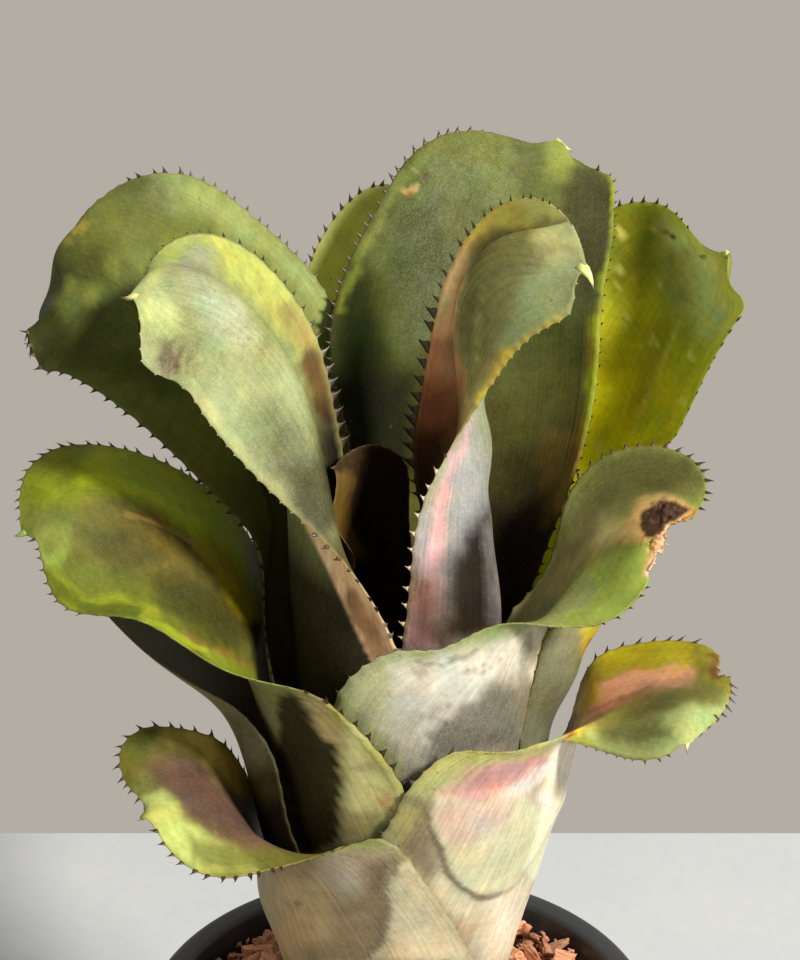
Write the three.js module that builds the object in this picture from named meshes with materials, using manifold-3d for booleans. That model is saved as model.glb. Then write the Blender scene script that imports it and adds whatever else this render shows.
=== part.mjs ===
// Potted tank bromeliad: an urn of spiny, recurving leaves growing from a
// nursery pot filled with coarse bark. Millimetres, +Z up. The origin is the
// centre of the underside of the pot, which stands on z = 0.
import * as THREE from 'three';
import { mergeVertices } from 'three/addons/utils/BufferGeometryUtils.js';
import Module from 'manifold-3d';

const wasm = await Module();
wasm.setup();

// ---- driving dimensions -------------------------------------------------
const POT_HEIGHT = 125;          // underside to top of the lip
const POT_LIP_RADIUS = 75;       // outside of the rolled lip (150 mm pot)
const POT_MOUTH_RADIUS = 66.9;   // inside of the lip
const POT_FOOT_RADIUS = 51.6;    // outside of the wall at the bottom
const POT_WALL = 1.6;
const POT_FLOOR = 2.4;
const LIP_DEPTH = 12.5;          // height of the rolled lip
const DRAIN_HOLES = 8;
const DRAIN_RADIUS = 4.5;
const DRAIN_PITCH_RADIUS = 36;
const BED_TOP = 115;             // surface of the bark bed
const CROWN_RADIUS = 31.5;       // top of the stem, where the leaves sit
const CROWN_TOP = 112.4;
const ROOT_RADIUS = 1.5;
const LEAF_THICKNESS = 1.0;
const GAP = 0.35;                // clearance between neighbouring pieces
const POT_SEGMENTS = 40;
const BED_SEGMENTS = 36;
const STEM_SEGMENTS = 24;

// ---- helpers --------------------------------------------------------------
function toSolid(geometry) {
  const g = geometry.clone();
  g.deleteAttribute('normal');
  g.deleteAttribute('uv');
  const m = mergeVertices(g, 1e-4);
  return new wasm.Manifold(new wasm.Mesh({
    numProp: 3,
    vertProperties: new Float32Array(m.attributes.position.array),
    triVerts: new Uint32Array(m.index.array),
  }));
}

function toGeometry(solid) {
  const m = solid.getMesh();
  const g = new THREE.BufferGeometry();
  const xyz = new Float32Array((m.vertProperties.length / m.numProp) * 3);
  for (let i = 0; i < xyz.length / 3; i++) {
    for (let k = 0; k < 3; k++) xyz[i * 3 + k] = m.vertProperties[i * m.numProp + k];
  }
  g.setAttribute('position', new THREE.BufferAttribute(xyz, 3));
  g.setIndex(new THREE.BufferAttribute(new Uint32Array(m.triVerts), 1));
  g.computeVertexNormals();
  return g;
}

function material(color, roughness, metalness = 0) {
  return new THREE.MeshStandardMaterial({ color, roughness, metalness });
}

// A body of revolution about +Z from [radius, z] points, axis to axis.
function turned(profile, segments) {
  const g = new THREE.LatheGeometry(profile.map(([r, z]) => new THREE.Vector2(r, z)), segments);
  g.rotateX(Math.PI / 2);
  return g;
}

const group = new THREE.Group();
function add(name, geometry, mat) {
  const mesh = new THREE.Mesh(geometry, mat);
  mesh.name = name;
  group.add(mesh);
  return mesh;
}

// ---- pot ------------------------------------------------------------------
const lipBottom = POT_HEIGHT - LIP_DEPTH;
const innerFoot = POT_FOOT_RADIUS - POT_WALL;
const innerAt = (z) => innerFoot + ((z - POT_FLOOR) / (POT_HEIGHT - 4 - POT_FLOOR)) * (POT_MOUTH_RADIUS - innerFoot);
const potProfile = [
  [0, 0],
  [POT_FOOT_RADIUS - 1.6, 0],
  [POT_FOOT_RADIUS - 0.2, 1.4],
  [innerAt(lipBottom) + POT_WALL, lipBottom],
  [POT_LIP_RADIUS - 1.4, lipBottom + 0.4],
  [POT_LIP_RADIUS - 0.3, lipBottom + 2.2],
  [POT_LIP_RADIUS, POT_HEIGHT - 2.6],
  [POT_LIP_RADIUS - 1.0, POT_HEIGHT - 0.6],
  [POT_LIP_RADIUS - 3.2, POT_HEIGHT],
  [POT_MOUTH_RADIUS + 2.2, POT_HEIGHT - 0.2],
  [POT_MOUTH_RADIUS + 0.5, POT_HEIGHT - 1.4],
  [POT_MOUTH_RADIUS, POT_HEIGHT - 4],
  [innerFoot, POT_FLOOR],
  [0, POT_FLOOR],
];
let pot = toSolid(turned(potProfile, POT_SEGMENTS));
for (let i = 0; i < DRAIN_HOLES; i++) {
  const a = (2 * Math.PI * (i + 0.5)) / DRAIN_HOLES;
  const hole = new THREE.CylinderGeometry(DRAIN_RADIUS, DRAIN_RADIUS, POT_FLOOR + 4, 12);
  hole.rotateX(Math.PI / 2);
  hole.translate(DRAIN_PITCH_RADIUS * Math.cos(a), DRAIN_PITCH_RADIUS * Math.sin(a), POT_FLOOR / 2);
  pot = pot.subtract(toSolid(hole));
}
add('pot', toGeometry(pot), material(0x1c1d1f, 0.45));

// ---- stem with its roots ----------------------------------------------------
// A short woody stem buried in the bed, flaring to the crown that carries the leaves.
const stemProfile = [
  [0, 62], [6.5, 62], [9, 66], [10, 80], [12, 94.5], [20, 103.5],
  [CROWN_RADIUS - 0.8, 107.3], [CROWN_RADIUS, 110.5], [CROWN_RADIUS - 1.5, CROWN_TOP], [0, CROWN_TOP],
];
const ROOTS = [
  [0.2, 92, 30, -26], [1.25, 84, 34, -30], [2.3, 90, 28, -34],
  [3.35, 80, 33, -24], [4.4, 93, 31, -30], [5.45, 86, 29, -22],
];
function hexagon(radius) {
  const section = new THREE.Shape();
  for (let i = 0; i < 6; i++) {
    const a = (i * Math.PI) / 3;
    if (i === 0) section.moveTo(radius, 0); else section.lineTo(radius * Math.cos(a), radius * Math.sin(a));
  }
  section.closePath();
  return section;
}
function rootPath([angle, z, reach, drop]) {
  const at = (r, dz) => new THREE.Vector3(r * Math.cos(angle), r * Math.sin(angle), z + dz);
  return new THREE.CatmullRomCurve3([at(5, 1), at(14, 0), at(14 + (reach - 14) * 0.6, drop * 0.35), at(reach, drop)]);
}
function rootTube(root, radius) {
  return new THREE.ExtrudeGeometry(hexagon(radius), { steps: 5, extrudePath: rootPath(root), bevelEnabled: false });
}
// The end of a root's hollow in the bed: a short stub that runs on past the root's tip.
function rootStub(root, radius, over) {
  const path = rootPath(root);
  const tip = path.getPoint(1);
  const along = path.getTangent(1);
  const line = new THREE.LineCurve3(tip.clone().addScaledVector(along, -over), tip.clone().addScaledVector(along, over));
  return new THREE.ExtrudeGeometry(hexagon(radius), { steps: 1, extrudePath: line, bevelEnabled: false });
}
let stem = toSolid(turned(stemProfile, STEM_SEGMENTS));
for (const r of ROOTS) stem = stem.add(toSolid(rootTube(r, ROOT_RADIUS)));
add('stem_with_roots', toGeometry(stem), material(0x5a4632, 0.9));

// ---- bark bed ---------------------------------------------------------------
// Fills the pot; its recess holds the stem and its roots with clearance.
const bedProfile = [
  [0, POT_FLOOR + 0.5],
  [innerFoot - 0.5, POT_FLOOR + 0.5],
  [innerAt(112) - 0.5, 112],
  [innerAt(114) - 0.7, 114],
  [58, BED_TOP + 0.5],
  [48, BED_TOP - 0.3],
  [40, BED_TOP + 0.6],
  [33.4, BED_TOP + 0.1],
  [33.4, 106.0],
  [CROWN_RADIUS - 0.1, 106.0],
  [20.6, 102.4],
  [12.9, 94.0],
  [10.9, 79.8],
  [9.9, 65.6],
  [7.2, 61.3],
  [0, 61.3],
];
let bed = toSolid(turned(bedProfile, BED_SEGMENTS));
for (const r of ROOTS) {
  bed = bed.subtract(toSolid(rootTube(r, ROOT_RADIUS + GAP * 1.5)));
  bed = bed.subtract(toSolid(rootStub(r, ROOT_RADIUS + GAP * 1.5, 0.8)));
}
add('bark_substrate', toGeometry(bed), material(0x7a4a30, 0.95));

// ---- loose bark chips on the bed --------------------------------------------
// [distance from the axis, bearing in degrees, length, width, thickness, turn, tilt]
const CHIPS = [
  [45, -22, 10, 6.5, 3.2, 20, 6], [56, -30, 8.5, 6, 3.0, 75, -8], [50, -48, 9.5, 5.5, 3.4, 130, 5],
  [59, -8, 9, 6, 2.8, 15, 7], [47, 5, 8, 5.5, 3.0, 100, -6], [44, -158, 9.5, 6.5, 3.2, 50, 6],
  [55, -166, 8, 5.5, 3.0, 160, -5], [50, -142, 9, 6, 3.4, 95, 7], [58, -150, 8.5, 5, 2.6, 20, -6],
  [52, 40, 9, 6, 3.2, 60, 5], [46, 75, 8.5, 6, 3.0, 140, 6], [56, 110, 9.5, 5.5, 3.2, 35, -7],
  [47, 140, 8.5, 6, 3.0, 85, 6], [52, -95, 9, 6, 3.2, 10, 5], [56, 172, 8, 5.5, 2.8, 120, -5],
];
const jitter = (n) => { const s = Math.sin(n * 12.9898) * 43758.5453; return s - Math.floor(s) - 0.5; };
CHIPS.forEach(([r, bearing, l, w, t, turn, tilt], n) => {
  const g0 = new THREE.BoxGeometry(l, w, t);
  g0.deleteAttribute('normal');
  g0.deleteAttribute('uv');
  const g = mergeVertices(g0);
  const p = g.attributes.position;
  for (let i = 0; i < p.count; i++) {
    p.setXYZ(i,
      p.getX(i) + l * 0.24 * jitter(n * 31 + i * 3 + 1),
      p.getY(i) + w * 0.3 * jitter(n * 31 + i * 3 + 2),
      p.getZ(i) + t * 0.35 * jitter(n * 31 + i * 3 + 3));
  }
  g.rotateX(THREE.MathUtils.degToRad(tilt));
  g.rotateZ(THREE.MathUtils.degToRad(turn));
  g.computeBoundingBox();
  const a = THREE.MathUtils.degToRad(bearing);
  g.translate(r * Math.cos(a), r * Math.sin(a), BED_TOP + 1.0 - g.boundingBox.min.z);
  g.computeVertexNormals();
  add('bark_chip_' + String(n + 1).padStart(2, '0'), g, material(0x96573a, 0.9));
});

// ---- leaves -------------------------------------------------------------------
// Each leaf is a sheet of even thickness on a net of points: rows run from the
// sheath at the crown to the tip, and each row crosses the leaf from margin to margin.
const LEAVES = [
  { name: 'leaf_front_left', colour: 0x7d7f52, net: [
    [27.6,-14.7,113,21.6,-22.5,113,13.4,-28.1,113,3.8,-30.9,113,-6.2,-30.4,113,-15.5,-26.9,113,-23.3,-20.5,113,-28.6,-11.9,113,-30.9,-2.1,113,-29.9,8,113,-25.7,17.3,113],
    [27.4,-17.1,128.3,20.7,-24.3,127,12.2,-29.2,125.9,2.6,-31.3,125.1,-7.2,-30.4,124.4,-16.2,-26.6,124.1,-23.6,-20.2,123.9,-28.8,-11.7,123.9,-31.1,-2.1,124.2,-30.3,7.9,124.7,-26.4,17.3,125.4],
    [25.4,-23.2,141.9,18,-28.6,139.5,9.4,-32,137.6,0.1,-32.9,136.2,-9.1,-31.3,135.1,-17.7,-27.1,134.5,-24.8,-20.6,134.2,-29.9,-12.2,134.4,-32.3,-2.4,135,-31.6,7.8,136.1,-27.7,17.6,137.5],
    [22.1,-30.2,154.5,14.4,-33.6,151.4,5.9,-35.3,148.8,-2.9,-35.1,146.8,-11.6,-32.8,145.4,-19.7,-28.3,144.5,-26.7,-21.7,144.2,-31.7,-13.2,144.5,-34.4,-3.3,145.4,-34,7.4,146.8,-30.4,17.9,148.8],
    [17.7,-35.9,166.9,10.2,-37.7,163.1,2.2,-38.1,159.9,-6.1,-37.1,157.4,-14.4,-34.3,155.6,-22.3,-29.5,154.5,-29.2,-22.7,154.1,-34.5,-14,154.3,-37.5,-3.5,155.2,-37.5,8.1,156.8,-33.8,19.9,159.1],
    [12.4,-41,179.6,5.5,-41.2,175.2,-1.9,-40.6,171.4,-9.7,-38.7,168.5,-17.6,-35.3,166.3,-25.2,-30.2,164.8,-31.9,-23,164.1,-37.3,-13.9,164.1,-40.3,-2.8,164.9,-40.1,9.6,166.4,-36,22.5,168.7],
    [6.4,-45.2,192,-0.7,-44.4,186.8,-7.8,-42.6,182.4,-14.9,-39.7,178.8,-21.8,-35.5,176.1,-28,-30.1,174.2,-33.4,-23.2,173.1,-37.6,-15.1,172.9,-40,-6,173.6,-40.4,4,175.1,-38.3,14.3,177.4],
    [-1.8,-46.9,202.9,-8.3,-45.4,197,-14.7,-42.8,192,-20.8,-39.3,187.9,-26.4,-34.8,184.8,-31.4,-29.3,182.7,-35.5,-23,181.6,-38.6,-16.1,181.5,-40.6,-8.5,182.3,-41.2,-0.6,184.2,-40.4,7.4,187],
    [-11.8,-45.8,202.1,-16.9,-44,198.2,-22,-41.3,195,-26.9,-37.7,192.5,-31.4,-33.3,190.7,-35.5,-28.3,189.8,-38.9,-22.6,189.8,-41.6,-16.5,190.7,-43.4,-10.2,192.4,-44.2,-3.8,194.9,-44.1,2.6,198.3],
    [-23.5,-43.8,195.9,-27,-41.4,195.4,-30.6,-38.6,195.2,-34.3,-35.3,195.3,-38,-31.5,195.8,-41.5,-27.2,196.7,-44.8,-22.5,198.2,-47.7,-17.3,200.3,-50.1,-11.7,203,-51.8,-5.8,206.3,-52.6,0.2,210.4],
    [-34.9,-49.7,195.7,-37.3,-45.4,196.6,-39.8,-41,197.7,-42.5,-36.5,199,-45.4,-31.9,200.5,-48.5,-27.1,202.2,-51.7,-22.3,204.2,-55.1,-17.3,206.4,-58.7,-12.2,208.8,-62.5,-7,211.5,-66.5,-1.8,214.4],
    [-46.2,-55.4,197.3,-46.8,-49.5,199.1,-48,-43.9,200.8,-49.9,-38.4,202.6,-52.4,-33.3,204.3,-55.4,-28.6,206,-58.9,-24.3,207.6,-62.8,-20.5,209.2,-67,-17.1,210.7,-71.6,-14.3,212,-76.4,-11.9,213.2],
    [-54.7,-54.2,200.4,-54,-49,202.3,-54.4,-43.9,204.1,-55.6,-39.1,205.6,-57.6,-34.9,206.7,-60.1,-31.2,207.7,-63,-28.2,208.3,-66.1,-25.7,208.7,-69.2,-23.8,208.9,-72.3,-22.3,208.9,-75.2,-21.3,208.8],
    [-60.9,-49.4,204.5,-60.2,-46,206,-60.3,-42.6,207,-61.1,-39.6,207.7,-62.4,-37,208.1,-63.8,-34.9,208.1,-65.3,-33.2,208,-66.8,-32,207.8,-68,-31.1,207.5,-69.1,-30.5,207.2,-69.9,-30.2,207],
    [-65.7,-43.1,207.5,-66.3,-42.6,207.6,-66.7,-41.9,207.6,-66.9,-41.3,207.5,-66.9,-40.8,207.3,-66.8,-40.4,207.2,-66.7,-40.1,207,-66.6,-39.8,206.9,-66.6,-39.7,206.9,-66.5,-39.7,206.8,-66.5,-39.7,206.9],
  ] },
  { name: 'leaf_front_right_lower', colour: 0xa9ab72, net: [
    [-24.9,-14.3,113,-18.1,-22.3,113,-8.9,-27.3,113,1.5,-28.7,113,11.7,-26.2,113,20.3,-20.3,113,26.2,-11.7,113,28.7,-1.5,113,27.3,8.9,113,22.3,18.1,113,14.4,24.9,113],
    [-24.3,-16.5,130,-17,-23.9,129,-7.7,-28.3,128.1,2.7,-29.3,127.5,12.8,-26.5,127.1,21.3,-20.4,126.9,27.1,-11.7,126.9,29.5,-1.4,127.1,28.2,9.1,127.4,23.2,18.5,128,15.2,25.6,128.8],
    [-24,-20.5,145.5,-15.8,-27.2,143.6,-5.9,-30.8,142,4.7,-31,140.8,14.8,-27.6,140,23.3,-21,139.6,29.1,-12,139.6,31.6,-1.4,139.9,30.4,9.5,140.7,25.5,19.5,141.8,17.4,27.3,143.3],
    [-23.3,-26.5,159.8,-13.8,-31.9,157.1,-3.1,-34.2,154.9,7.7,-33.2,153.2,17.7,-29,152.1,26,-21.9,151.6,31.7,-12.5,151.5,34.3,-1.6,152.1,33.4,9.7,153.1,28.8,20.4,154.8,20.8,29.2,156.9],
    [-20.3,-32.8,173.7,-10.1,-36.6,170.3,0.8,-37.4,167.6,11.4,-35.4,165.6,21.1,-30.4,164.3,29.2,-22.9,163.6,34.9,-13.3,163.6,37.6,-2.2,164.3,37.1,9.4,165.7,33.1,20.7,167.8,25.6,30.6,170.5],
    [-14.3,-38.7,187.6,-4,-40.6,184,6.4,-40,181,16.4,-36.9,178.8,25.4,-31.4,177.4,32.9,-23.7,176.6,38.3,-14.3,176.7,41.2,-3.6,177.4,41.3,7.7,178.9,38.4,19,181.2,32.4,29.4,184.2],
    [-6.2,-43.4,201,3.9,-43.5,197.5,13.6,-41.4,194.6,22.6,-37.3,192.3,30.3,-31.4,190.7,36.5,-24,189.7,41,-15.6,189.4,43.6,-6.5,189.7,44.3,2.9,190.7,43,12.2,192.3,39.9,21,194.6],
    [1.3,-46.3,216.6,11.6,-44.6,212.8,20.8,-40.9,209.6,28.8,-35.8,207,35.2,-29.5,205,40.3,-22.6,203.5,43.9,-15.3,202.5,46.3,-8,202.2,47.5,-0.7,202.3,47.7,6.2,203.1,47.2,12.8,204.4],
    [11.6,-46,227.3,21.1,-42.3,223.2,29.2,-37.1,219.9,36,-30.9,217.5,41.5,-24,215.9,45.6,-16.9,215.1,48.7,-9.8,215.1,50.7,-3,215.7,51.9,3.6,217,52.6,9.6,218.9,52.8,15.2,221.3],
    [25.5,-41.9,225.9,32.8,-36.4,223.6,39.3,-30.5,222.2,45,-24.3,221.7,50,-18.1,221.9,54.2,-11.9,222.7,57.7,-5.8,224,60.5,-0.1,225.7,62.7,5.3,227.7,64.3,10.3,229.9,65.6,14.9,232.1],
    [36.2,-33.5,224.1,42.8,-29.3,224.2,48.8,-25,224.7,54.3,-20.6,225.6,59.2,-16.2,226.8,63.5,-11.8,228.2,67.4,-7.6,229.7,70.8,-3.6,231.4,73.8,0.3,233.2,76.3,3.9,234.9,78.5,7.3,236.7],
    [46.8,-28.3,221.8,52.8,-25.8,224.4,58.3,-23.3,226.7,63.5,-21,228.8,68.2,-18.6,230.8,72.5,-16.3,232.5,76.3,-14.1,234,79.8,-12,235.3,82.8,-10,236.4,85.5,-8,237.3,87.7,-6.2,238],
    [56.5,-35.9,221.9,60.6,-33.4,226.2,65,-31.1,229.4,69.3,-28.9,231.7,73.4,-26.9,233.2,77.2,-25.3,234.1,80.6,-23.8,234.5,83.5,-22.6,234.6,85.8,-21.7,234.5,87.7,-21,234.3,89,-20.5,234.1],
    [64.8,-43.9,224.6,66.7,-41.5,228.3,69.4,-39.3,230.9,72.4,-37.4,232.4,75.3,-35.8,233.1,77.8,-34.7,233.2,80,-33.9,232.9,81.6,-33.3,232.5,82.8,-33,232.1,83.4,-32.8,231.8,83.7,-32.7,231.7],
    [72.1,-45.1,229.8,72.8,-44.4,229.8,73.4,-43.8,229.8,74,-43.3,229.8,74.5,-42.8,229.8,74.9,-42.5,229.8,75.2,-42.3,229.8,75.4,-42.2,229.7,75.5,-42.1,229.7,75.5,-42.1,229.7,75.5,-42.2,229.7],
  ] },
  { name: 'leaf_left_lower', colour: 0x5f6440, net: [
    [-6.9,-25.8,113,-14.1,-22.7,113,-20.1,-17.6,113,-24.3,-11,113,-26.5,-3.3,113,-26.3,4.6,113,-23.7,12.2,113,-19,18.7,113,-12.6,23.6,113,-4.9,26.3,113,3.3,26.5,113],
    [-8.3,-26,130.4,-15.2,-22.5,129.6,-20.9,-17.2,128.9,-24.8,-10.6,128.4,-26.8,-3,127.9,-26.5,4.7,127.5,-24,12.1,127.3,-19.5,18.5,127.1,-13.3,23.4,127.1,-6,26.3,127.2,2,26.9,127.4],
    [-11,-27.2,146.8,-17.8,-23.1,145.3,-23.2,-17.4,143.9,-26.9,-10.4,142.8,-28.7,-2.8,141.9,-28.3,5.1,141.2,-25.8,12.5,140.7,-21.4,19.1,140.5,-15.4,24.2,140.5,-8.2,27.5,140.7,-0.4,28.7,141.1],
    [-14.9,-29.5,162.2,-21.6,-24.4,160,-26.8,-18,158,-30.1,-10.5,156.4,-31.6,-2.5,155.1,-31,5.5,154.1,-28.5,13.1,153.4,-24.2,19.8,153.1,-18.3,25.3,153,-11.3,29.2,153.3,-3.6,31.2,153.9],
    [-20.2,-31.8,177.1,-26.4,-25.6,174.3,-31,-18.5,171.8,-33.8,-10.6,169.7,-34.9,-2.3,168.1,-34.1,5.8,166.8,-31.6,13.6,165.9,-27.4,20.6,165.4,-21.8,26.5,165.3,-15,31,165.7,-7.3,33.9,166.4],
    [-26.7,-32.8,192.3,-31.8,-25.9,188.9,-35.4,-18.3,185.9,-37.6,-10.4,183.5,-38.2,-2.2,181.4,-37.3,5.9,179.9,-34.9,13.6,178.8,-31,20.9,178.1,-25.8,27.3,177.9,-19.2,32.6,178.2,-11.5,36.6,178.9],
    [-30.8,-31.9,208.6,-35.2,-25.3,204.7,-38.5,-18.1,201.3,-40.6,-10.4,198.4,-41.3,-2.5,196,-40.7,5.6,194,-38.7,13.5,192.6,-35.2,21,191.7,-30.3,27.9,191.4,-24,34,191.5,-16.5,38.8,192.1],
    [-35.8,-27.4,222.7,-39.1,-22.1,218.6,-41.8,-16.1,215,-43.7,-9.5,211.9,-44.6,-2.4,209.3,-44.4,5.1,207.2,-42.9,12.7,205.6,-40,20.3,204.6,-35.6,27.4,204,-29.7,34,204,-22.4,39.4,204.5],
    [-45.5,-21.8,230.6,-47.1,-17.6,227.4,-48.4,-12.8,224.5,-49.2,-7.5,222.1,-49.5,-1.7,220,-49,4.6,218.4,-47.6,11.1,217.2,-45.2,17.8,216.4,-41.6,24.5,216.1,-36.8,30.8,216.2,-30.7,36.5,216.7],
    [-54.9,-25.5,238.1,-56.2,-19.8,235.5,-56.9,-14,233.4,-57.1,-8,231.6,-56.8,-1.9,230.3,-55.9,4.2,229.4,-54.5,10.3,229,-52.6,16.3,229.1,-50.2,22.1,229.6,-47.2,27.6,230.5,-43.8,32.9,231.9],
    [-64.1,-28.5,246.5,-64.5,-22.2,243.6,-64.6,-15.6,241.4,-64.5,-8.9,239.8,-64.2,-2.2,238.9,-63.6,4.5,238.6,-62.9,11.1,239,-61.9,17.6,240,-60.8,23.8,241.6,-59.5,29.8,243.8,-58.1,35.4,246.5],
    [-72.6,-26.2,253.9,-72.3,-20.5,250.8,-72,-14.5,248.4,-71.7,-8.3,246.9,-71.5,-2,246.3,-71.4,4.2,246.4,-71.3,10.4,247.4,-71.3,16.2,249.1,-71.3,21.8,251.6,-71.4,27,254.7,-71.6,31.7,258.4],
    [-78.9,-20.9,258.5,-78.2,-16.7,255.5,-77.7,-12,253.3,-77.4,-7.1,252,-77.4,-2.1,251.6,-77.6,2.8,252.1,-78,7.5,253.4,-78.5,11.8,255.4,-79.3,15.6,258.1,-80.1,18.9,261.3,-81.1,21.5,264.9],
    [-84.2,-14.5,261.4,-83.5,-12.2,259.2,-83,-9.3,257.6,-82.8,-6.2,256.7,-82.9,-3.1,256.6,-83.3,0,257.1,-83.8,2.8,258.2,-84.6,5.2,260,-85.4,7.1,262.1,-86.4,8.4,264.5,-87.4,9.1,267.2],
    [-88.9,-7.7,262.9,-88.7,-7.3,262.3,-88.5,-6.7,261.9,-88.5,-6,261.7,-88.5,-5.2,261.6,-88.6,-4.5,261.8,-88.9,-3.9,262.1,-89.1,-3.4,262.6,-89.4,-3.1,263.2,-89.7,-3,263.9,-90,-3.1,264.6],
  ] },
  { name: 'leaf_left', colour: 0x5c7a33, net: [
    [13.1,-21,113,3.9,-24.4,113,-5.9,-24,113,-14.7,-19.9,113,-21.2,-12.6,113,-24.5,-3.4,113,-23.9,6.3,113,-19.6,15,113,-12.4,21.4,113,-3.2,24.5,113,6.4,23.9,113],
    [13.1,-22.2,134.6,3.3,-25.4,133.2,-6.9,-24.6,132,-15.8,-20,131,-22.2,-12.4,130.2,-25.2,-3,129.7,-24.4,6.7,129.4,-20.2,15.3,129.3,-13.1,21.7,129.5,-4.2,25,129.9,5.2,24.9,130.6],
    [14.2,-26.6,153.6,2.3,-29.2,151.1,-9.1,-27.1,148.9,-18.5,-21.1,147.2,-24.6,-12.4,145.8,-27.2,-2.5,144.9,-26.2,7.3,144.3,-22,16,144.2,-15.3,22.6,144.4,-7,26.7,145.1,2,27.9,146.1],
    [13.9,-32.1,171.8,-0.2,-33.4,168.3,-12.6,-29.4,165.3,-22,-21.8,162.8,-27.7,-12.1,160.9,-29.6,-1.7,159.5,-28.3,8.2,158.6,-24.3,16.8,158.3,-18.2,23.7,158.5,-10.8,28.6,159.3,-2.5,31.4,160.6],
    [10.8,-37.8,190.1,-4.8,-36.7,185.7,-17.4,-30.5,181.9,-26.1,-21.2,178.7,-30.8,-10.7,176.2,-32,-0.2,174.3,-30.3,9.4,173.1,-26.6,17.8,172.5,-21.4,24.7,172.6,-15.2,30.1,173.3,-8.3,34.2,174.7],
    [5,-43,208.9,-11.5,-38.5,203.6,-23.4,-29.5,199.1,-30.5,-18.6,195.2,-33.5,-7.7,192.2,-33.5,2.4,189.8,-31.5,11.2,188.2,-28.2,18.6,187.4,-24.3,24.8,187.3,-20.1,30.2,188,-16,35,189.4],
    [-4.5,-45.5,228.2,-20.5,-36.9,222,-30.4,-25.2,216.7,-35,-13.1,212.3,-35.9,-2.3,208.7,-34.6,6.8,205.9,-32.3,14.2,204.1,-29.8,20.2,203.1,-27.6,25.1,202.9,-26.1,29.5,203.7,-25.8,33.4,205.2],
    [-20.5,-44,242.5,-32,-31.7,236.3,-37.8,-18.8,231,-39.5,-7.1,226.7,-38.6,2.9,223.4,-36.4,10.9,220.9,-33.8,17.1,219.4,-31.5,22.1,218.8,-29.8,26,219,-29.1,29.3,220.1,-29.7,32,222],
    [-37,-42,246.4,-40,-28.9,241.6,-41,-16.7,238.5,-40.7,-6,236.9,-39.7,3.2,236.4,-38.4,10.8,236.7,-37.1,17,237.5,-36.1,21.9,238.6,-35.4,25.7,239.9,-35.2,28.6,241.1,-35.6,30.5,242.2],
    [-51.6,-42.8,254,-48.4,-31.4,250.5,-46.1,-20.4,248.9,-44.7,-10.1,249.1,-44,-1,250.4,-43.9,6.9,252.4,-44.1,13.7,254.9,-44.5,19.2,257.6,-45,23.6,260.1,-45.5,26.9,262.2,-46,29.3,264],
    [-65.3,-43,262.9,-60.3,-33.5,261.2,-56.8,-23.9,260.9,-54.7,-14.6,261.8,-53.8,-6,263.5,-54,1.8,265.9,-54.9,8.7,268.7,-56.3,14.7,271.7,-58.1,19.7,274.7,-60.1,23.8,277.6,-62.1,27.2,280.4],
    [-79.9,-39.6,263.4,-73.9,-32.7,265,-69.6,-25.3,267.2,-66.9,-17.6,269.8,-65.9,-10,272.6,-66.2,-2.8,275.6,-67.7,3.8,278.6,-70.2,9.7,281.4,-73.4,14.8,284.2,-77.2,19.2,286.7,-81.4,22.7,288.9],
    [-89.1,-32.3,266.8,-84.1,-28.1,269.2,-80.3,-23.1,272,-78,-17.5,275,-77.1,-11.7,278,-77.7,-5.9,280.9,-79.5,-0.5,283.5,-82.6,4.5,285.8,-86.5,8.7,287.7,-91.2,12.1,289.1,-96.5,14.6,290],
    [-93,-23.8,272.8,-90.2,-21.5,274.5,-88.2,-18.7,276.3,-87,-15.4,278.3,-86.9,-12,280.1,-87.7,-8.5,281.8,-89.4,-5.3,283.2,-91.8,-2.5,284.3,-94.9,-0.3,284.9,-98.5,1.1,285.1,-102.2,1.9,284.8],
    [-97.1,-15.8,275.8,-96.7,-15.2,276.2,-96.5,-14.6,276.6,-96.5,-13.9,277,-96.7,-13.2,277.3,-97,-12.5,277.6,-97.5,-12,277.8,-98.1,-11.5,277.8,-98.8,-11.2,277.8,-99.6,-11.1,277.6,-100.2,-11.1,277.4],
  ] },
  { name: 'leaf_back_right', colour: 0x7f9127, net: [
    [10.7,-20,113,16.9,-15.1,113,21.1,-8.3,113,22.7,-0.5,113,21.4,7.5,113,17.4,14.6,113,11.1,19.8,113,3.3,22.5,113,-5,22.1,113,-12.6,18.9,113,-18.6,13,113],
    [12.9,-20.1,134.8,18.9,-14.8,135.1,22.7,-7.7,135.3,24,0.3,135.3,22.5,8.3,135.3,18.4,15.4,135.1,12.1,20.6,134.9,4.4,23.4,134.5,-3.8,23.5,134,-11.6,20.6,133.5,-17.9,15.3,132.8],
    [17.4,-21.6,154.9,23.4,-15.1,155.3,27.1,-7.1,155.6,28,1.8,155.7,26,10.4,155.6,21.4,18,155.3,14.7,23.6,154.8,6.6,26.8,154.2,-2,27.2,153.4,-10.2,25,152.4,-17.1,20.3,151.2],
    [22.9,-23.4,174.5,29.2,-15.9,175.1,32.9,-6.6,175.4,33.6,3.3,175.5,31.1,12.9,175.3,25.9,21.3,174.9,18.4,27.5,174.2,9.6,31.1,173.3,0.3,31.9,172.2,-8.5,29.8,170.8,-16,25.3,169.2],
    [28.6,-24.8,194.2,35.2,-16.5,195,39,-6.3,195.5,39.6,4.5,195.6,36.9,15.1,195.3,31.2,24.3,194.8,23.2,31.3,193.9,13.6,35.5,192.6,3.5,36.7,191.1,-6.2,34.7,189.2,-14.4,30.2,186.9],
    [33.4,-24.7,214.3,40.1,-16.3,215.3,44.1,-6,215.9,44.9,5.3,216,42.5,16.4,215.7,37,26.5,214.9,28.9,34.5,213.8,18.9,39.7,212.1,8.1,41.8,210,-2.5,40.7,207.5,-11.9,36.6,204.6],
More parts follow.
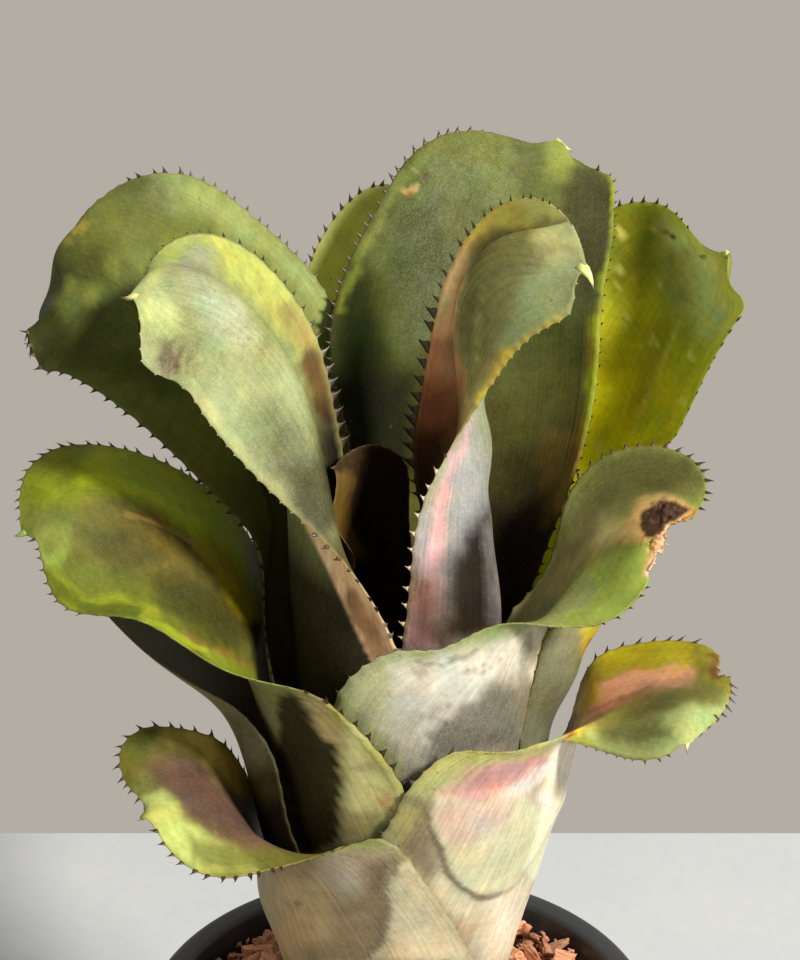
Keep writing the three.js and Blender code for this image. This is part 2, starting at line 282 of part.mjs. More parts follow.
    [38.3,-23.4,235.5,45,-15,235.7,49.1,-4.8,235.6,50.3,6.6,235.2,48.3,18,234.5,43.2,28.7,233.6,35.4,37.5,232.3,25.5,43.9,230.7,14.4,47.2,228.9,3.1,47.4,226.7,-7.4,44.4,224.3],
    [42.3,-16.1,251.5,48.9,-8.8,251.4,53.5,0.3,251.3,55.4,10.8,251.2,54.4,21.7,251,50.5,32.3,250.8,43.8,41.6,250.6,34.7,48.9,250.3,24,53.6,250,12.3,55.2,249.8,0.8,53.4,249.5],
    [50.3,1.1,257.9,54,6,258.7,57.1,12.2,259.8,59,19.6,261.2,59.4,27.9,262.9,57.5,36.9,264.8,53.1,45.8,266.9,45.9,53.8,268.9,36,59.8,270.8,23.8,62.8,272.2,10.6,61.6,272.8],
    [56.2,17.9,270.9,58.2,20.2,271.4,60.5,23.8,272.4,62.9,28.7,273.8,64.6,35.1,275.9,64.8,42.9,278.7,62.8,51.5,282.3,57.5,60,286.5,48.5,67,290.7,36.2,70.6,294.3,21.7,69.1,296.4],
    [69.3,23.5,285.5,70.4,26.4,285.8,71.6,30.6,286.5,72.6,35.9,287.6,72.8,42.4,289.5,71.9,49.8,292.2,69.1,57.5,296,64.2,65,300.9,56.6,71.3,306.8,46.4,74.9,313.3,34.1,74.8,319.6],
    [81.6,21.2,302.3,82.3,27,301.6,82.5,33.4,301.5,82.1,40.5,302.2,80.9,47.9,303.9,78.8,55.4,306.8,75.6,62.6,311,71.3,69,316.6,65.8,74,323.4,59.5,77.2,331.4,52.4,77.9,340.2],
    [89.5,22.5,319.1,89.3,29,317.1,88.7,35.9,316.2,87.7,42.8,316.5,86.2,49.6,318.1,84.4,56,320.9,82.2,61.8,324.8,79.8,66.8,329.9,77.3,70.6,335.9,74.6,73.1,342.7,72,74.1,349.9],
    [94.7,27.8,330.4,93.9,33.3,327.9,92.8,38.8,327,91.4,44,327.4,89.9,48.7,328.8,88.4,52.5,331,87,55.6,333.8,85.7,57.9,336.9,84.6,59.5,340,83.6,60.5,343.1,82.8,60.9,345.9],
    [92.1,37.8,338.5,93.2,39.5,338,93.6,41.4,337.8,93.3,43,337.9,92.7,44.3,338.3,91.9,45.1,338.6,91.1,45.6,339,90.5,45.9,339.3,90.1,46,339.5,89.9,46,339.6,89.9,46.1,339.6],
  ] },
  { name: 'leaf_front_right_upper', colour: 0x97a282, net: [
    [-17.9,-10.4,113,-13,-16.1,113,-6.4,-19.7,113,1.1,-20.7,113,8.4,-18.9,113,14.6,-14.6,113,18.9,-8.4,113,20.7,-1.1,113,19.7,6.4,113,16.1,13,113,10.3,17.9,113],
    [-17.9,-11.8,132.5,-12.5,-17.3,131.3,-5.6,-20.5,130.2,1.8,-21.1,129.4,8.9,-19.1,128.8,14.9,-14.9,128.5,19.1,-9.1,128.4,21.1,-2.2,128.5,20.7,4.9,128.9,18,11.5,129.5,13.4,16.8,130.4],
    [-18.7,-15.7,150.9,-12,-20.8,148.3,-4.2,-23.3,146.2,3.6,-23.1,144.6,10.7,-20.6,143.4,16.5,-16.1,142.7,20.6,-10.3,142.5,22.8,-3.8,142.7,23,3,143.5,21.4,9.4,144.7,18.2,15,146.4],
    [-18.9,-20.9,168.7,-10.7,-25.3,164.8,-2,-26.9,161.7,6.2,-25.8,159.3,13.3,-22.6,157.5,19,-17.8,156.5,23.1,-12.1,156.2,25.4,-5.8,156.6,26.3,0.6,157.7,25.7,6.7,159.5,24,12.4,162],
    [-17.6,-26.9,187,-8.2,-30.4,182,1.1,-30.9,177.8,9.6,-28.9,174.6,16.7,-25,172.4,22.2,-19.8,171.1,26.1,-13.9,170.7,28.3,-7.8,171.3,29.2,-1.8,172.8,29,3.8,175.2,28,8.9,178.6],
    [-15.5,-32.6,206.2,-5.2,-35.2,199.9,4.7,-34.8,194.7,13.4,-31.9,190.7,20.4,-27.3,188,25.6,-21.6,186.3,29.1,-15.5,185.9,30.9,-9.6,186.7,31.5,-4,188.6,31.1,0.9,191.8,30,5.1,196.1],
    [-17.1,-36.6,225.5,-4.9,-39.5,217.7,6.6,-38.6,211.4,16.2,-34.8,206.5,23.6,-29.2,203.1,28.7,-22.8,201.2,31.7,-16.3,200.7,33,-10.3,201.7,33,-5.2,204.2,32.1,-1,208.1,30.8,2.1,213.5],
    [-14.9,-39.4,243.2,-2.2,-42,234.3,9.6,-40.6,227,19.4,-36.2,221.6,26.6,-30.1,217.9,31.3,-23.3,215.9,33.7,-16.7,215.7,34.3,-10.7,217.3,33.5,-5.9,220.6,31.8,-2.2,225.7,29.4,0.3,232.5],
    [-0.1,-42.1,254.8,9.2,-41.6,247,17.6,-39,240.8,24.7,-34.6,236.1,30.2,-29.1,233.1,33.9,-23.1,231.7,35.9,-16.9,231.8,36.4,-11.1,233.5,35.6,-5.9,236.8,33.8,-1.6,241.6,31.1,1.8,247.9],
    [13.8,-42.4,256.8,19.2,-39.8,253,24.4,-36.2,250.1,29.2,-31.7,248,33.5,-26.6,247,37.2,-20.9,247,40.1,-14.7,248.1,42.2,-8.4,250.2,43.3,-2.1,253.2,43.4,4.1,257.3,42.5,9.8,262.1],
    [30.1,-39.5,260.8,32,-36.4,259.3,34.2,-32.6,258,36.8,-28,257,39.5,-22.6,256.7,42.4,-16.5,257.3,45.2,-9.8,259.2,47.8,-2.8,262.7,49.9,4.1,268,51.2,10.4,275.2,51.5,15.5,284.2],
    [46.7,-39.9,259.9,46.7,-35.3,260.3,46.9,-30.2,261.1,47.5,-24.7,262.3,48.7,-18.8,264.2,50.5,-12.7,266.8,53,-6.6,270.1,56.4,-0.7,274.3,60.7,4.6,279.5,65.8,9.1,285.5,71.8,12.3,292.3],
    [57.7,-40.8,265.2,55.6,-35,266,54.6,-29.1,267.4,54.8,-23.1,269.2,56.1,-17.4,271.5,58.5,-12.3,274,61.9,-7.8,276.7,66.2,-4.2,279.5,71.3,-1.6,282.3,76.8,-0.3,284.9,82.7,-0.1,287.3],
    [64,-35.9,271.8,61.2,-31.6,272.5,60,-26.9,273.6,60.4,-22.5,274.9,62,-18.7,276.3,64.4,-15.7,277.6,67.3,-13.7,278.7,70.5,-12.5,279.7,73.5,-12.1,280.4,76.3,-12.3,280.9,78.8,-12.9,281.2],
    [67.9,-28,276.4,66.8,-27.1,276.7,66.4,-25.9,277,66.7,-24.7,277.3,67.4,-23.9,277.5,68.2,-23.5,277.5,68.9,-23.4,277.5,69.5,-23.4,277.5,70,-23.6,277.5,70.3,-23.7,277.4,70.4,-23.8,277.4],
  ] },
  { name: 'leaf_back_small', colour: 0x8d9247, net: [
    [-9.4,-16.3,113,-15.5,-10.6,113,-18.6,-2.8,113,-18,5.5,113,-13.9,12.7,113,-7,17.4,113,1.1,18.8,113,9,16.5,113,15.1,11.1,113,18.4,3.6,113,18.1,-4.5,113],
    [-13.2,-14.4,133.3,-17.8,-8.2,132.7,-19.6,-0.7,132.2,-18.3,7.1,131.8,-14,13.7,131.5,-7.3,18.2,131.3,0.6,19.6,131.2,8.5,17.6,131.3,15,12.6,131.4,18.9,5.3,131.7,19.3,-3.1,132],
    [-19.6,-11.9,152,-22.3,-4.9,150.9,-22.4,2.8,149.9,-20,10.2,149.1,-15.1,16.3,148.6,-8.3,20.5,148.2,-0.3,21.9,148,7.7,20.3,148,14.7,15.8,148.2,19.6,8.9,148.6,21.4,0.6,149.1],
    [-25.8,-4,168.9,-26,2.2,167.8,-24.6,8.7,166.9,-21.3,14.8,166.2,-16.3,20.1,165.7,-9.7,23.9,165.3,-1.9,25.5,165.1,6.2,24.7,165.1,13.9,21,165.3,20.1,14.8,165.6,23.8,6.5,166.1],
    [-28.5,8.4,185.6,-27.3,12.3,184.9,-25.2,16.5,184.3,-21.9,20.8,183.8,-17.3,24.9,183.5,-11.4,28.1,183.2,-4.2,30,183.1,3.9,30,183.1,12.2,27.5,183.2,19.9,22.2,183.4,25.9,14.4,183.7],
    [-28.8,16.9,205.7,-27.7,19.6,204.7,-25.7,22.7,203.8,-22.8,26.1,203,-18.6,29.6,202.4,-13.1,32.6,201.9,-6.3,34.7,201.7,1.6,35.3,201.5,10.3,33.8,201.5,19,29.7,201.7,26.7,22.7,202.1],
    [-28.8,25.3,225.7,-28,26.8,224.3,-26.3,29,223.2,-23.7,31.5,222.2,-19.9,34.3,221.4,-14.9,36.9,220.8,-8.5,39,220.4,-0.9,39.9,220.2,7.8,39.2,220.1,16.9,36.1,220.2,25.8,30.2,220.6],
    [-27.4,35.6,243.8,-27.7,35.8,242.6,-26.9,36.7,241.5,-25,38.2,240.5,-21.8,40.1,239.8,-17.3,42.2,239.1,-11.3,44.1,238.6,-3.8,45.2,238.3,4.9,44.8,238.1,14.5,42.3,238,24.2,37,238.2],
    [-28.9,43.7,262.9,-29.1,44,262,-28.2,44.9,261,-26.4,46.3,259.8,-23.3,48.1,258.5,-19,50,257.2,-13.2,51.6,256,-6.1,52.5,255,2.3,52,254.5,11.6,49.6,254.8,20.9,44.8,256],
    [-31.5,51.3,282.6,-30.4,52.4,281.5,-28.8,53.9,280.1,-26.4,55.6,278.3,-23.1,57.5,276.4,-18.7,59.2,274.4,-13.2,60.5,272.6,-6.6,61,271.3,0.9,60.3,270.8,9,57.9,271.6,16.8,53.7,273.9],
    [-32,61.2,301.6,-30.5,62.6,299.8,-28.3,64.2,297.8,-25.5,65.9,295.5,-21.9,67.4,293.3,-17.5,68.6,291.2,-12.2,69.4,289.4,-6.1,69.4,288.3,0.6,68.4,288,7.6,66.3,288.8,14.4,63,291.1],
    [-30.2,72,319.3,-28.6,73.2,317.3,-26.4,74.4,315.1,-23.6,75.6,312.8,-20.2,76.6,310.5,-16,77.4,308.4,-11.2,77.7,306.6,-5.7,77.5,305.4,0.3,76.6,304.9,6.6,74.8,305.5,12.9,72.1,307.3],
    [-25.1,81.9,335,-23.8,82.7,333.3,-22.1,83.5,331.3,-19.8,84.3,329.3,-17,84.9,327.1,-13.6,85.4,325.1,-9.5,85.5,323.2,-4.8,85.3,321.9,0.4,84.5,321.2,5.9,83,321.3,11.6,80.8,322.6],
    [-15.3,89.9,347.6,-14.8,90.3,346.4,-14,90.9,345,-12.9,91.5,343.2,-11.3,92,341.4,-9.1,92.4,339.4,-6.3,92.6,337.6,-2.9,92.4,336.1,1.1,91.8,335.2,5.5,90.6,335.2,9.9,88.7,336.4],
    [-2.8,94.3,351.6,-2.8,94.4,351.2,-2.8,94.7,350.7,-2.7,95,350,-2.4,95.3,349.2,-1.9,95.6,348.2,-1,95.8,347.3,0.2,95.7,346.5,1.8,95.4,346.1,3.5,94.8,346.1,5.1,93.9,346.9],
  ] },
  { name: 'leaf_back_left', colour: 0x4f6b3c, net: [
    [4.3,-16,113,-3.4,-16.3,113,-10.4,-13,113,-15.1,-6.9,113,-16.6,0.5,113,-14.7,7.8,113,-9.7,13.4,113,-2.9,16.3,113,4.6,16,113,11.1,12.3,113,15.4,6.2,113],
    [0.1,-17.8,136.3,-7,-16.3,136.1,-12.9,-12.2,135.9,-16.8,-6,135.9,-17.8,1.3,135.9,-15.8,8.4,135.9,-11,14.1,135.8,-4.3,17.4,135.7,3.2,17.7,135.7,10.1,14.8,135.9,15.2,9.4,136.1],
    [-6.7,-20.5,157.4,-13.2,-16.9,157.1,-18,-11.2,156.8,-20.7,-4.5,156.8,-21.1,2.9,157,-18.8,10,157.1,-14,16.2,157.1,-7.1,20.2,157,0.8,21.4,157,8.5,19.7,157.1,15,15.3,157.3],
    [-15,-21.1,178.2,-20.4,-15.8,177.8,-24,-9.2,177.6,-25.6,-2.1,177.7,-25.3,5.1,178.1,-22.8,12.3,178.4,-17.8,18.8,178.4,-10.7,23.5,178.2,-2.5,25.8,178.1,6.1,25.5,178.1,14.1,22.4,178.2],
    [-24,-17.5,199.7,-27.3,-11.6,199.6,-29.3,-5.3,199.6,-29.9,1.3,199.9,-29.2,8.1,200.4,-26.6,15,200.7,-21.8,21.6,200.6,-14.8,27.1,200.3,-6.5,30.5,200,2.6,31.5,199.9,11.6,30,199.8],
    [-32.2,-9.9,222.1,-33.6,-4.6,222.5,-34.1,0.8,222.9,-33.8,6.2,223.5,-32.7,11.7,224.2,-30.3,17.8,224.5,-25.9,24.5,224.1,-19.3,30.6,223.5,-11.3,35,223,-2.6,37.3,222.8,6.4,37.4,222.7],
    [-37,-0,243.1,-37.6,4.5,243,-37.8,8.8,243.2,-38,12.6,244.1,-37.8,16.4,245.5,-36.4,21.4,246.5,-32.3,28,246.6,-25.6,34.5,246.2,-17.5,39.4,245.8,-9.3,42.3,245.6,-0.9,43.4,245.6],
    [-38.6,8.9,260.8,-37.1,15,260.6,-36.4,20,260.9,-38.1,23.1,262.6,-41.4,24.8,265.2,-42.7,27.7,267.9,-38.8,33.3,269.7,-31.2,39.6,270.8,-22.8,44.4,271.6,-15.2,47.3,272.4,-8,49.1,273.1],
    [-47.7,10,274.6,-43.6,18.1,275,-41,25.1,276.1,-41.5,30,278.5,-43.9,33.3,282.1,-44.4,36.5,286.3,-40,40.8,290.5,-32.7,45.5,294.2,-25.3,49.3,297.2,-18.9,51.9,299.6,-13.2,53.9,301.6],
    [-60.5,11.6,288.1,-56.2,18.4,289.9,-53,25.2,292,-51.6,31.8,295.1,-51.5,38,299.4,-49.9,43.5,304.9,-45.2,48,311.3,-38.7,51.4,317.7,-32.6,54.2,322.6,-27.5,56.5,325.9,-23.1,58.4,328.4],
    [-74.7,13.2,301.2,-69.4,19.1,304,-65.4,25.4,307.3,-63.9,32.6,311.5,-64.2,40.2,317,-63.6,47.1,323.5,-60,52.1,330.7,-54.8,55.7,337.6,-50.2,58.3,342.9,-47,60.5,346.5,-44.5,62.5,349.1],
    [-89.5,14.2,311.3,-83.5,20.9,315.2,-79.2,27.9,319.6,-78,35.6,325.1,-79.3,43.6,331.4,-80.5,50.5,337.9,-79.5,55.2,343.8,-77,58.1,349,-74.3,59.5,353.3,-71.9,60,356.9,-69.8,60.1,360.2],
    [-101.7,19.3,319.6,-97,26.5,323.3,-93.8,33.6,327,-93.4,40.6,331,-95.3,47.1,334.9,-97,52.2,338.4,-96.8,55.4,341.1,-95.1,57.3,343.1,-93.4,58.4,345,-92.1,59.3,346.9,-91,60.1,348.7],
    [-103.1,29.5,314.1,-102.2,34.8,317.7,-101.7,39.9,320.7,-102.2,44.4,322.4,-103.2,48.2,323,-104,51,323.3,-104,52.7,324.2,-103.3,53.6,325.4,-102.5,54.4,326.5,-101.9,55.2,327.5,-101.3,56,328.4],
    [-104.8,40.8,305.3,-104.4,42.1,305.9,-104.1,43.3,306.4,-103.9,44.4,306.5,-104,45.4,306.3,-104.2,46.1,306.2,-104.5,46.4,306.5,-104.6,46.6,306.9,-104.6,46.7,307.3,-104.3,46.6,307.5,-103.9,46.6,307.7],
  ] },
  { name: 'leaf_back_center', colour: 0x5f7a4b, net: [
    [-12.9,-6.8,113,-14.6,0,113,-12.9,6.9,113,-8.2,12.1,113,-1.5,14.5,113,5.5,13.5,113,11.2,9.4,113,14.3,3,113,14,-4,113,10.5,-10.1,113,4.5,-13.9,113],
    [-14.6,-6.1,134.9,-15.7,1.4,134.9,-13.3,8.4,134.8,-8,13.5,134.8,-1.1,15.7,134.8,6,14.6,134.8,11.8,10.5,134.9,15.2,4.4,135,15.6,-2.5,135,13.1,-8.9,135.2,8.3,-13.6,135.3],
    [-18.8,-4.2,155.1,-18.6,4.4,155,-14.9,12,154.9,-8.4,17.1,154.9,-0.6,19,155,7.1,17.6,155,13.5,13.4,155.1,17.6,7.1,155.2,19,-0.1,155.4,17.7,-7.2,155.5,13.9,-13.1,155.8],
    [-23.1,-0.3,174.4,-21.3,9.2,174.4,-15.9,17,174.5,-8.2,21.9,174.5,0.4,23.4,174.6,8.7,21.7,174.6,15.5,17.5,174.6,20.4,11.5,174.7,22.8,4.5,174.7,23.1,-2.4,174.7,21.3,-8.8,174.7],
    [-25.8,6.6,194.2,-21.9,16,194.5,-15.1,23.1,194.8,-6.6,27.2,194.9,2.3,28.1,195,10.5,26.3,195,17.4,22.4,194.9,22.6,17.1,194.7,25.9,11.2,194.4,27.4,5.3,194,27.6,-0.3,193.5],
    [-26.9,14.6,215,-21.1,23.3,215.7,-13.1,29.3,216.3,-4.2,32.4,216.7,4.6,32.7,216.9,12.6,30.8,216.9,19.2,27.2,216.7,24.2,22.8,216.4,27.6,18,215.8,29.7,13.3,215.1,30.7,9.1,214.2],
    [-26.4,23,235.9,-19.5,30.4,236.8,-11.1,35.4,237.5,-2.1,37.7,238,6.6,37.8,238.3,14.5,35.9,238.4,21.3,32.6,238.3,26.6,28.5,238.1,30.6,23.9,237.7,33.3,19.3,237.1,34.9,14.9,236.3],
    [-21.1,31,259.8,-15.1,37,259.8,-7.8,41.3,259.7,0.2,43.8,259.6,8.4,44.4,259.5,16.4,43.2,259.3,23.8,40.4,259.1,30.1,36.3,258.9,35.3,31.2,258.6,39.1,25.4,258.4,41.6,19.3,258.1],
    [-14.5,38,284.8,-9.6,42.5,283.7,-3.7,46.1,282.5,3.1,48.6,281.4,10.4,49.7,280.3,18,49.4,279.3,25.7,47.4,278.4,33.1,43.8,277.7,39.7,38.5,277.3,45.1,31.8,277.1,49,23.8,277.3],
    [-19.9,45.3,307.5,-13.1,49.4,305.2,-5.6,52.4,303.1,2.5,54.1,301,10.8,54.5,299.2,19.2,53.6,297.6,27.5,51.2,296.3,35.4,47.4,295.4,42.6,42.4,294.8,49,36.1,294.7,54.4,28.9,295],
    [-16.2,55.9,331.3,-9.9,58.6,328.1,-3,60.3,325,4.4,61.2,322.1,12.2,61,319.5,20.2,59.8,317.3,28.2,57.4,315.6,36.1,53.9,314.4,43.7,49.2,313.9,50.8,43.4,313.9,57.1,36.6,314.7],
    [-5.3,66.5,351.6,-1.5,68,348.3,3.1,69.2,344.9,8.5,69.9,341.5,14.6,69.9,338.2,21.4,69,335.2,28.8,67.1,332.7,36.6,64,331,44.6,59.5,330.2,52.3,53.6,330.6,59.4,46.4,332.4],
    [8.8,74.3,367.6,10.5,75.4,365.1,12.8,76.5,362,16,77.5,358.5,20.2,78,354.8,25.5,77.9,351,31.9,76.8,347.6,39.2,74.4,345,47.2,70.5,343.7,55.2,65,344.3,62.5,57.9,347.2],
    [27.9,77.6,369.2,27.9,77.7,369.1,28.3,78.4,368.3,29.2,79.6,366.8,30.8,81.1,364.6,33.5,82.5,361.9,37.5,83.4,358.9,42.9,83,356.1,49.3,80.7,354.2,55.8,75.9,354.3,60.7,68.9,357.1],
    [45,79.3,365.1,45.1,80,365.4,45.3,80.5,365.6,45.5,80.9,365.7,45.5,81.3,365.8,45.5,81.6,365.9,45.9,81.6,365.7,46.9,81.1,365.3,48.9,80,364.7,51.3,78.6,364,52.8,77.9,363.8],
  ] },
  { name: 'leaf_inner_left', colour: 0x93a377, net: [
    [6.3,-11,113,1.6,-12.6,113,-3.4,-12.3,113,-7.6,-10.2,113,-10.7,-6.9,113,-12.3,-3,113,-12.6,1.2,113,-11.5,5.4,113,-8.9,9.1,113,-5,11.7,113,-0.4,12.7,113],
    [6.2,-12.3,133.7,1.1,-13.6,133.9,-4.1,-13,134.2,-8.5,-10.7,134.3,-11.6,-7.2,134.4,-13.4,-3.1,134.3,-13.7,1.4,134.2,-12.5,5.7,134.2,-9.8,9.6,134.2,-5.9,12.3,134.2,-1.2,13.6,134.2],
    [5.7,-15.8,152.9,-0.4,-17,153.4,-6.4,-15.9,153.7,-11.4,-12.8,154,-14.8,-8.5,154,-16.5,-3.5,154,-16.6,1.6,153.9,-15.2,6.6,153.9,-12.3,11.2,153.9,-7.9,14.6,153.9,-2.6,16.5,154],
    [5,-20.4,171.5,-2.3,-21.2,172.1,-9.4,-19.4,172.5,-15.2,-15.3,172.9,-18.8,-9.9,173.1,-20.4,-4,173.1,-20.3,1.9,173,-18.7,7.6,173,-15.5,12.9,173.1,-10.8,17.3,173.1,-4.8,20,173.2],
    [4.3,-25.1,190,-4.6,-25.2,190.8,-12.7,-22.4,191.5,-19,-17.2,192,-22.7,-10.8,192.3,-24.2,-4.2,192.4,-23.9,2.2,192.4,-22.1,8.4,192.4,-18.8,14.3,192.4,-14,19.3,192.5,-7.8,22.9,192.5],
    [3.5,-29.2,209.1,-6.9,-28.1,210.3,-15.7,-23.8,211.3,-21.9,-17.4,212.1,-25.3,-10.6,212.5,-26.6,-4,212.6,-26.4,2.4,212.5,-24.9,8.7,212.4,-21.8,14.9,212.3,-17.1,20.4,212.2,-10.9,24.6,212.2],
    [2.6,-32.7,229.8,-8.8,-29.7,231.1,-17.6,-23.6,232.3,-23.1,-16.4,233.1,-26.2,-9.6,233.5,-27.7,-3.5,233.5,-28,2.5,233.3,-26.9,8.7,233.1,-24,15,233.1,-19.3,20.6,233.1,-13.1,24.8,233.2],
    [0.2,-35.4,249.6,-9,-30,251.6,-16.3,-23.5,253.3,-21.6,-16.8,254.6,-25.5,-10.4,255,-28.3,-4.1,255,-29.5,2.4,255,-28.3,8.9,255.3,-24.8,14.8,256.2,-19.6,19.6,257.4,-13.5,23.2,258.8],
    [-8.9,-34.2,267.7,-11.9,-29.1,270,-15.2,-23.7,272,-18.9,-17.8,273.4,-23.2,-11.1,274.1,-27.3,-4,274.2,-29.9,2.8,274.6,-29.6,8.7,275.9,-26.4,13.6,278.2,-21.1,17.8,281.2,-14.9,21.6,284.6],
    [-21.3,-32.4,282,-19.5,-27.5,286.1,-18.5,-22.4,289.6,-19.2,-16.7,292,-22.3,-10.4,293,-26.7,-3.6,293.1,-30.4,3,293.6,-31.5,8.9,295.6,-29.3,14,299.4,-25.1,18.4,304.4,-19.7,22.6,310.1],
    [-34.2,-31.6,294.8,-29,-26.4,300.9,-24.9,-21,306.1,-23.3,-15.3,309.9,-25,-9.3,311.5,-29,-3.1,311.9,-33,3.1,312.4,-35.1,9.2,314.6,-34.6,15.1,318.8,-32.2,20.9,324.5,-29,26.6,330.8],
    [-46.2,-32.2,310,-40.1,-25.6,316.3,-35.1,-19.1,322,-32.4,-13,326.3,-32.9,-7.4,328.6,-35.9,-2.1,329.6,-39.9,3.2,330.6,-43.3,8.9,332.8,-45.4,15.1,336.6,-46.8,21.6,341.5,-47.8,28.3,346.9],
    [-54.6,-31.9,321.2,-49.9,-23.9,326.8,-46,-16.5,332,-43.9,-10.1,336.1,-44.4,-5.3,338.9,-47,-1.7,340.6,-50.6,1.4,341.7,-54.2,4.8,342.8,-57.3,8.6,344,-60.1,12.8,345.3,-62.7,17.2,346.7],
    [-63.8,-28.8,328.7,-60.1,-21.9,333.2,-57.1,-15.6,337.4,-55.5,-10.6,340.8,-55.8,-7.6,343,-57.7,-6.1,344.2,-60.1,-5.4,344.6,-62.3,-4.6,344.4,-63.8,-3.4,343.8,-64.9,-1.9,343,-65.8,-0.3,342],
    [-65.4,-22.3,339.4,-65.1,-20.4,340.1,-64.9,-18.6,340.7,-64.9,-17.3,341.1,-65.2,-16.7,341.5,-65.6,-16.5,341.7,-66,-16.6,341.7,-66.2,-16.7,341.6,-66.2,-16.6,341.3,-66.1,-16.5,340.9,-65.9,-16.3,340.5],
  ] },
  { name: 'leaf_inner_right', colour: 0x8fa06a, net: [
    [-5,-9.4,113,-1.9,-10.5,113,1.4,-10.6,113,4.6,-9.7,113,7.4,-7.8,113,9.4,-5.1,113,10.6,-1.8,113,10.5,1.9,113,9.2,5.5,113,6.5,8.5,113,2.8,10.3,113],
    [-4.8,-11,135.1,-1.5,-11.8,134.4,2,-11.6,133.8,5.3,-10.4,133.4,8.2,-8.3,133.2,10.3,-5.3,133.3,11.4,-1.7,133.5,11.3,2.2,133.6,9.9,6,133.6,7.1,9.1,133.5,3.3,11.1,133.4],
    [-4.4,-14.6,155.9,-0.4,-15,154.3,3.5,-14.3,153,7.3,-12.7,152.1,10.6,-9.9,151.8,13.2,-6.2,152,14.5,-1.6,152.3,14.4,3.2,152.6,12.6,7.7,152.7,9.4,11.5,152.6,5.1,13.9,152.5],
    [-3.7,-19.2,175.8,1,-19.1,173.5,5.6,-17.8,171.6,10,-15.5,170.3,14,-12,169.9,17.1,-7.2,170.2,18.6,-1.4,170.7,18.3,4.5,171.1,16,10,171.2,12.2,14.4,171.1,7.3,17.4,171],
    [-2.8,-23.8,195.8,2.8,-23.2,193,8.1,-21.3,190.5,13.1,-18.3,188.8,17.6,-13.8,188.3,21.1,-8,188.7,22.7,-1.1,189.4,22,5.8,189.9,19.1,12.1,190.1,14.6,17,189.9,9,20.2,189.7],
    [-1.6,-27.3,217.4,4.7,-26.3,213.6,10.7,-23.9,210.2,16.2,-20.1,208,20.9,-14.8,207.2,24.2,-8.1,207.7,25.5,-0.6,208.6,24.4,6.9,209.3,21.1,13.5,209.5,16.1,18.7,209.3,9.9,22.2,209],
    [-0.3,-28.8,240.7,6.7,-27.7,235.6,13.2,-25,231.2,18.9,-20.6,228.2,23.5,-14.6,227.2,26.3,-7.4,227.8,27,0.3,229,25.5,7.9,229.9,21.8,14.6,230.1,16.5,19.8,229.8,10,23.2,229.4],
    [1.6,-27.9,258.8,8.7,-27.1,255.2,15.6,-24.5,252.1,21.5,-20,250,25.8,-13.5,249.2,27.9,-5.8,249.6,27.7,2.2,250.5,25.2,9.5,251.4,20.9,15.6,252.1,15.2,20.2,252.5,8.7,23.2,252.8],
    [3.4,-23.3,274,10.6,-22.2,272.3,17.3,-20.2,270.7,22.8,-16.5,269.6,26.3,-10.3,269.1,27.7,-2.6,269.2,26.8,5.3,269.8,23.6,11.7,270.9,18.4,16.3,272.4,11.9,19.6,274.2,4.7,22.2,276.1],
    [7.5,-16.8,288.7,12.7,-14.7,288,17.5,-12.1,287.5,21.5,-8.5,287.3,24.3,-3.3,287.6,25.7,2.8,288.3,25.1,8.9,289.7,22.4,13.8,291.5,17.6,17.3,293.8,11.4,19.9,296.4,4.5,22,299.2],
    [15.7,-11.4,302.1,15.8,-8.7,303.5,16.4,-5.7,304.9,17.6,-2.2,306.2,19.9,2,307.4,22.4,6.7,308.7,23.8,11.4,310.4,23,15.4,312.8,19.7,18.7,315.9,14.6,21.4,319.5,8.7,23.9,323.3],
    [24.2,-11.7,315.7,19.5,-8.1,319.9,15.9,-4.4,323.8,14.7,-0.5,326.7,16.8,3.7,328.4,21.1,8,329.3,25.1,12,330.5,26.6,15.4,332.7,25,18.1,336.4,21.3,20.3,340.9,16.5,22.3,345.9],
    [32.2,-18.1,328.3,26.1,-12.9,335.2,21.4,-7.9,341.1,19.7,-3.4,345.4,22,0.3,347.3,27.1,3.3,347.6,32.5,5.6,347.6,35.5,7.3,348.9,35.5,8.6,351.8,33.4,9.6,355.8,30.2,10.5,360.4],
    [42.3,-22.4,336.3,37.6,-18.3,341.9,33.8,-14.6,347,31.9,-11.5,351,32.8,-9.4,353.6,35.6,-8.1,354.9,38.9,-7.3,355.6,41.3,-6.8,356.2,42.1,-6.3,357.1,42,-5.8,358.2,41.4,-5.3,359.3],
    [44.8,-20.9,346.2,44.3,-20,346.6,43.9,-19.2,347.1,43.8,-18.5,347.7,44,-18.1,348.5,44.4,-18,349.4,44.9,-17.9,350.2,45.3,-17.9,350.6,45.7,-17.8,350.6,46,-17.7,350.4,46.2,-17.6,350],
  ] },
  { name: 'leaf_innermost', colour: 0x5a4f30, net: [
    [-4.6,-6.5,113,-7.1,-3.7,113,-8,-0,113,-7.1,3.6,113,-4.8,6.4,113,-1.4,7.9,113,2.3,7.7,113,5.4,5.9,113,7.5,2.9,113,8,-0.6,113,6.9,-4,113],
    [-5.1,-7.1,128.3,-7.8,-4,127.7,-8.7,-0.1,127.2,-7.8,3.8,126.9,-5.2,6.9,126.8,-1.7,8.5,126.7,2.2,8.3,126.8,5.6,6.5,127.1,7.9,3.3,127.4,8.5,-0.4,127.9,7.5,-4.1,128.6],
    [-6.8,-8.3,142.5,-9.6,-4.3,141.4,-10.3,0.4,140.6,-9,4.8,140,-6,8.2,139.7,-1.9,9.9,139.6,2.6,9.8,139.8,6.6,7.8,140.3,9.4,4.4,141,10.5,0,142,9.7,-4.4,143.2],
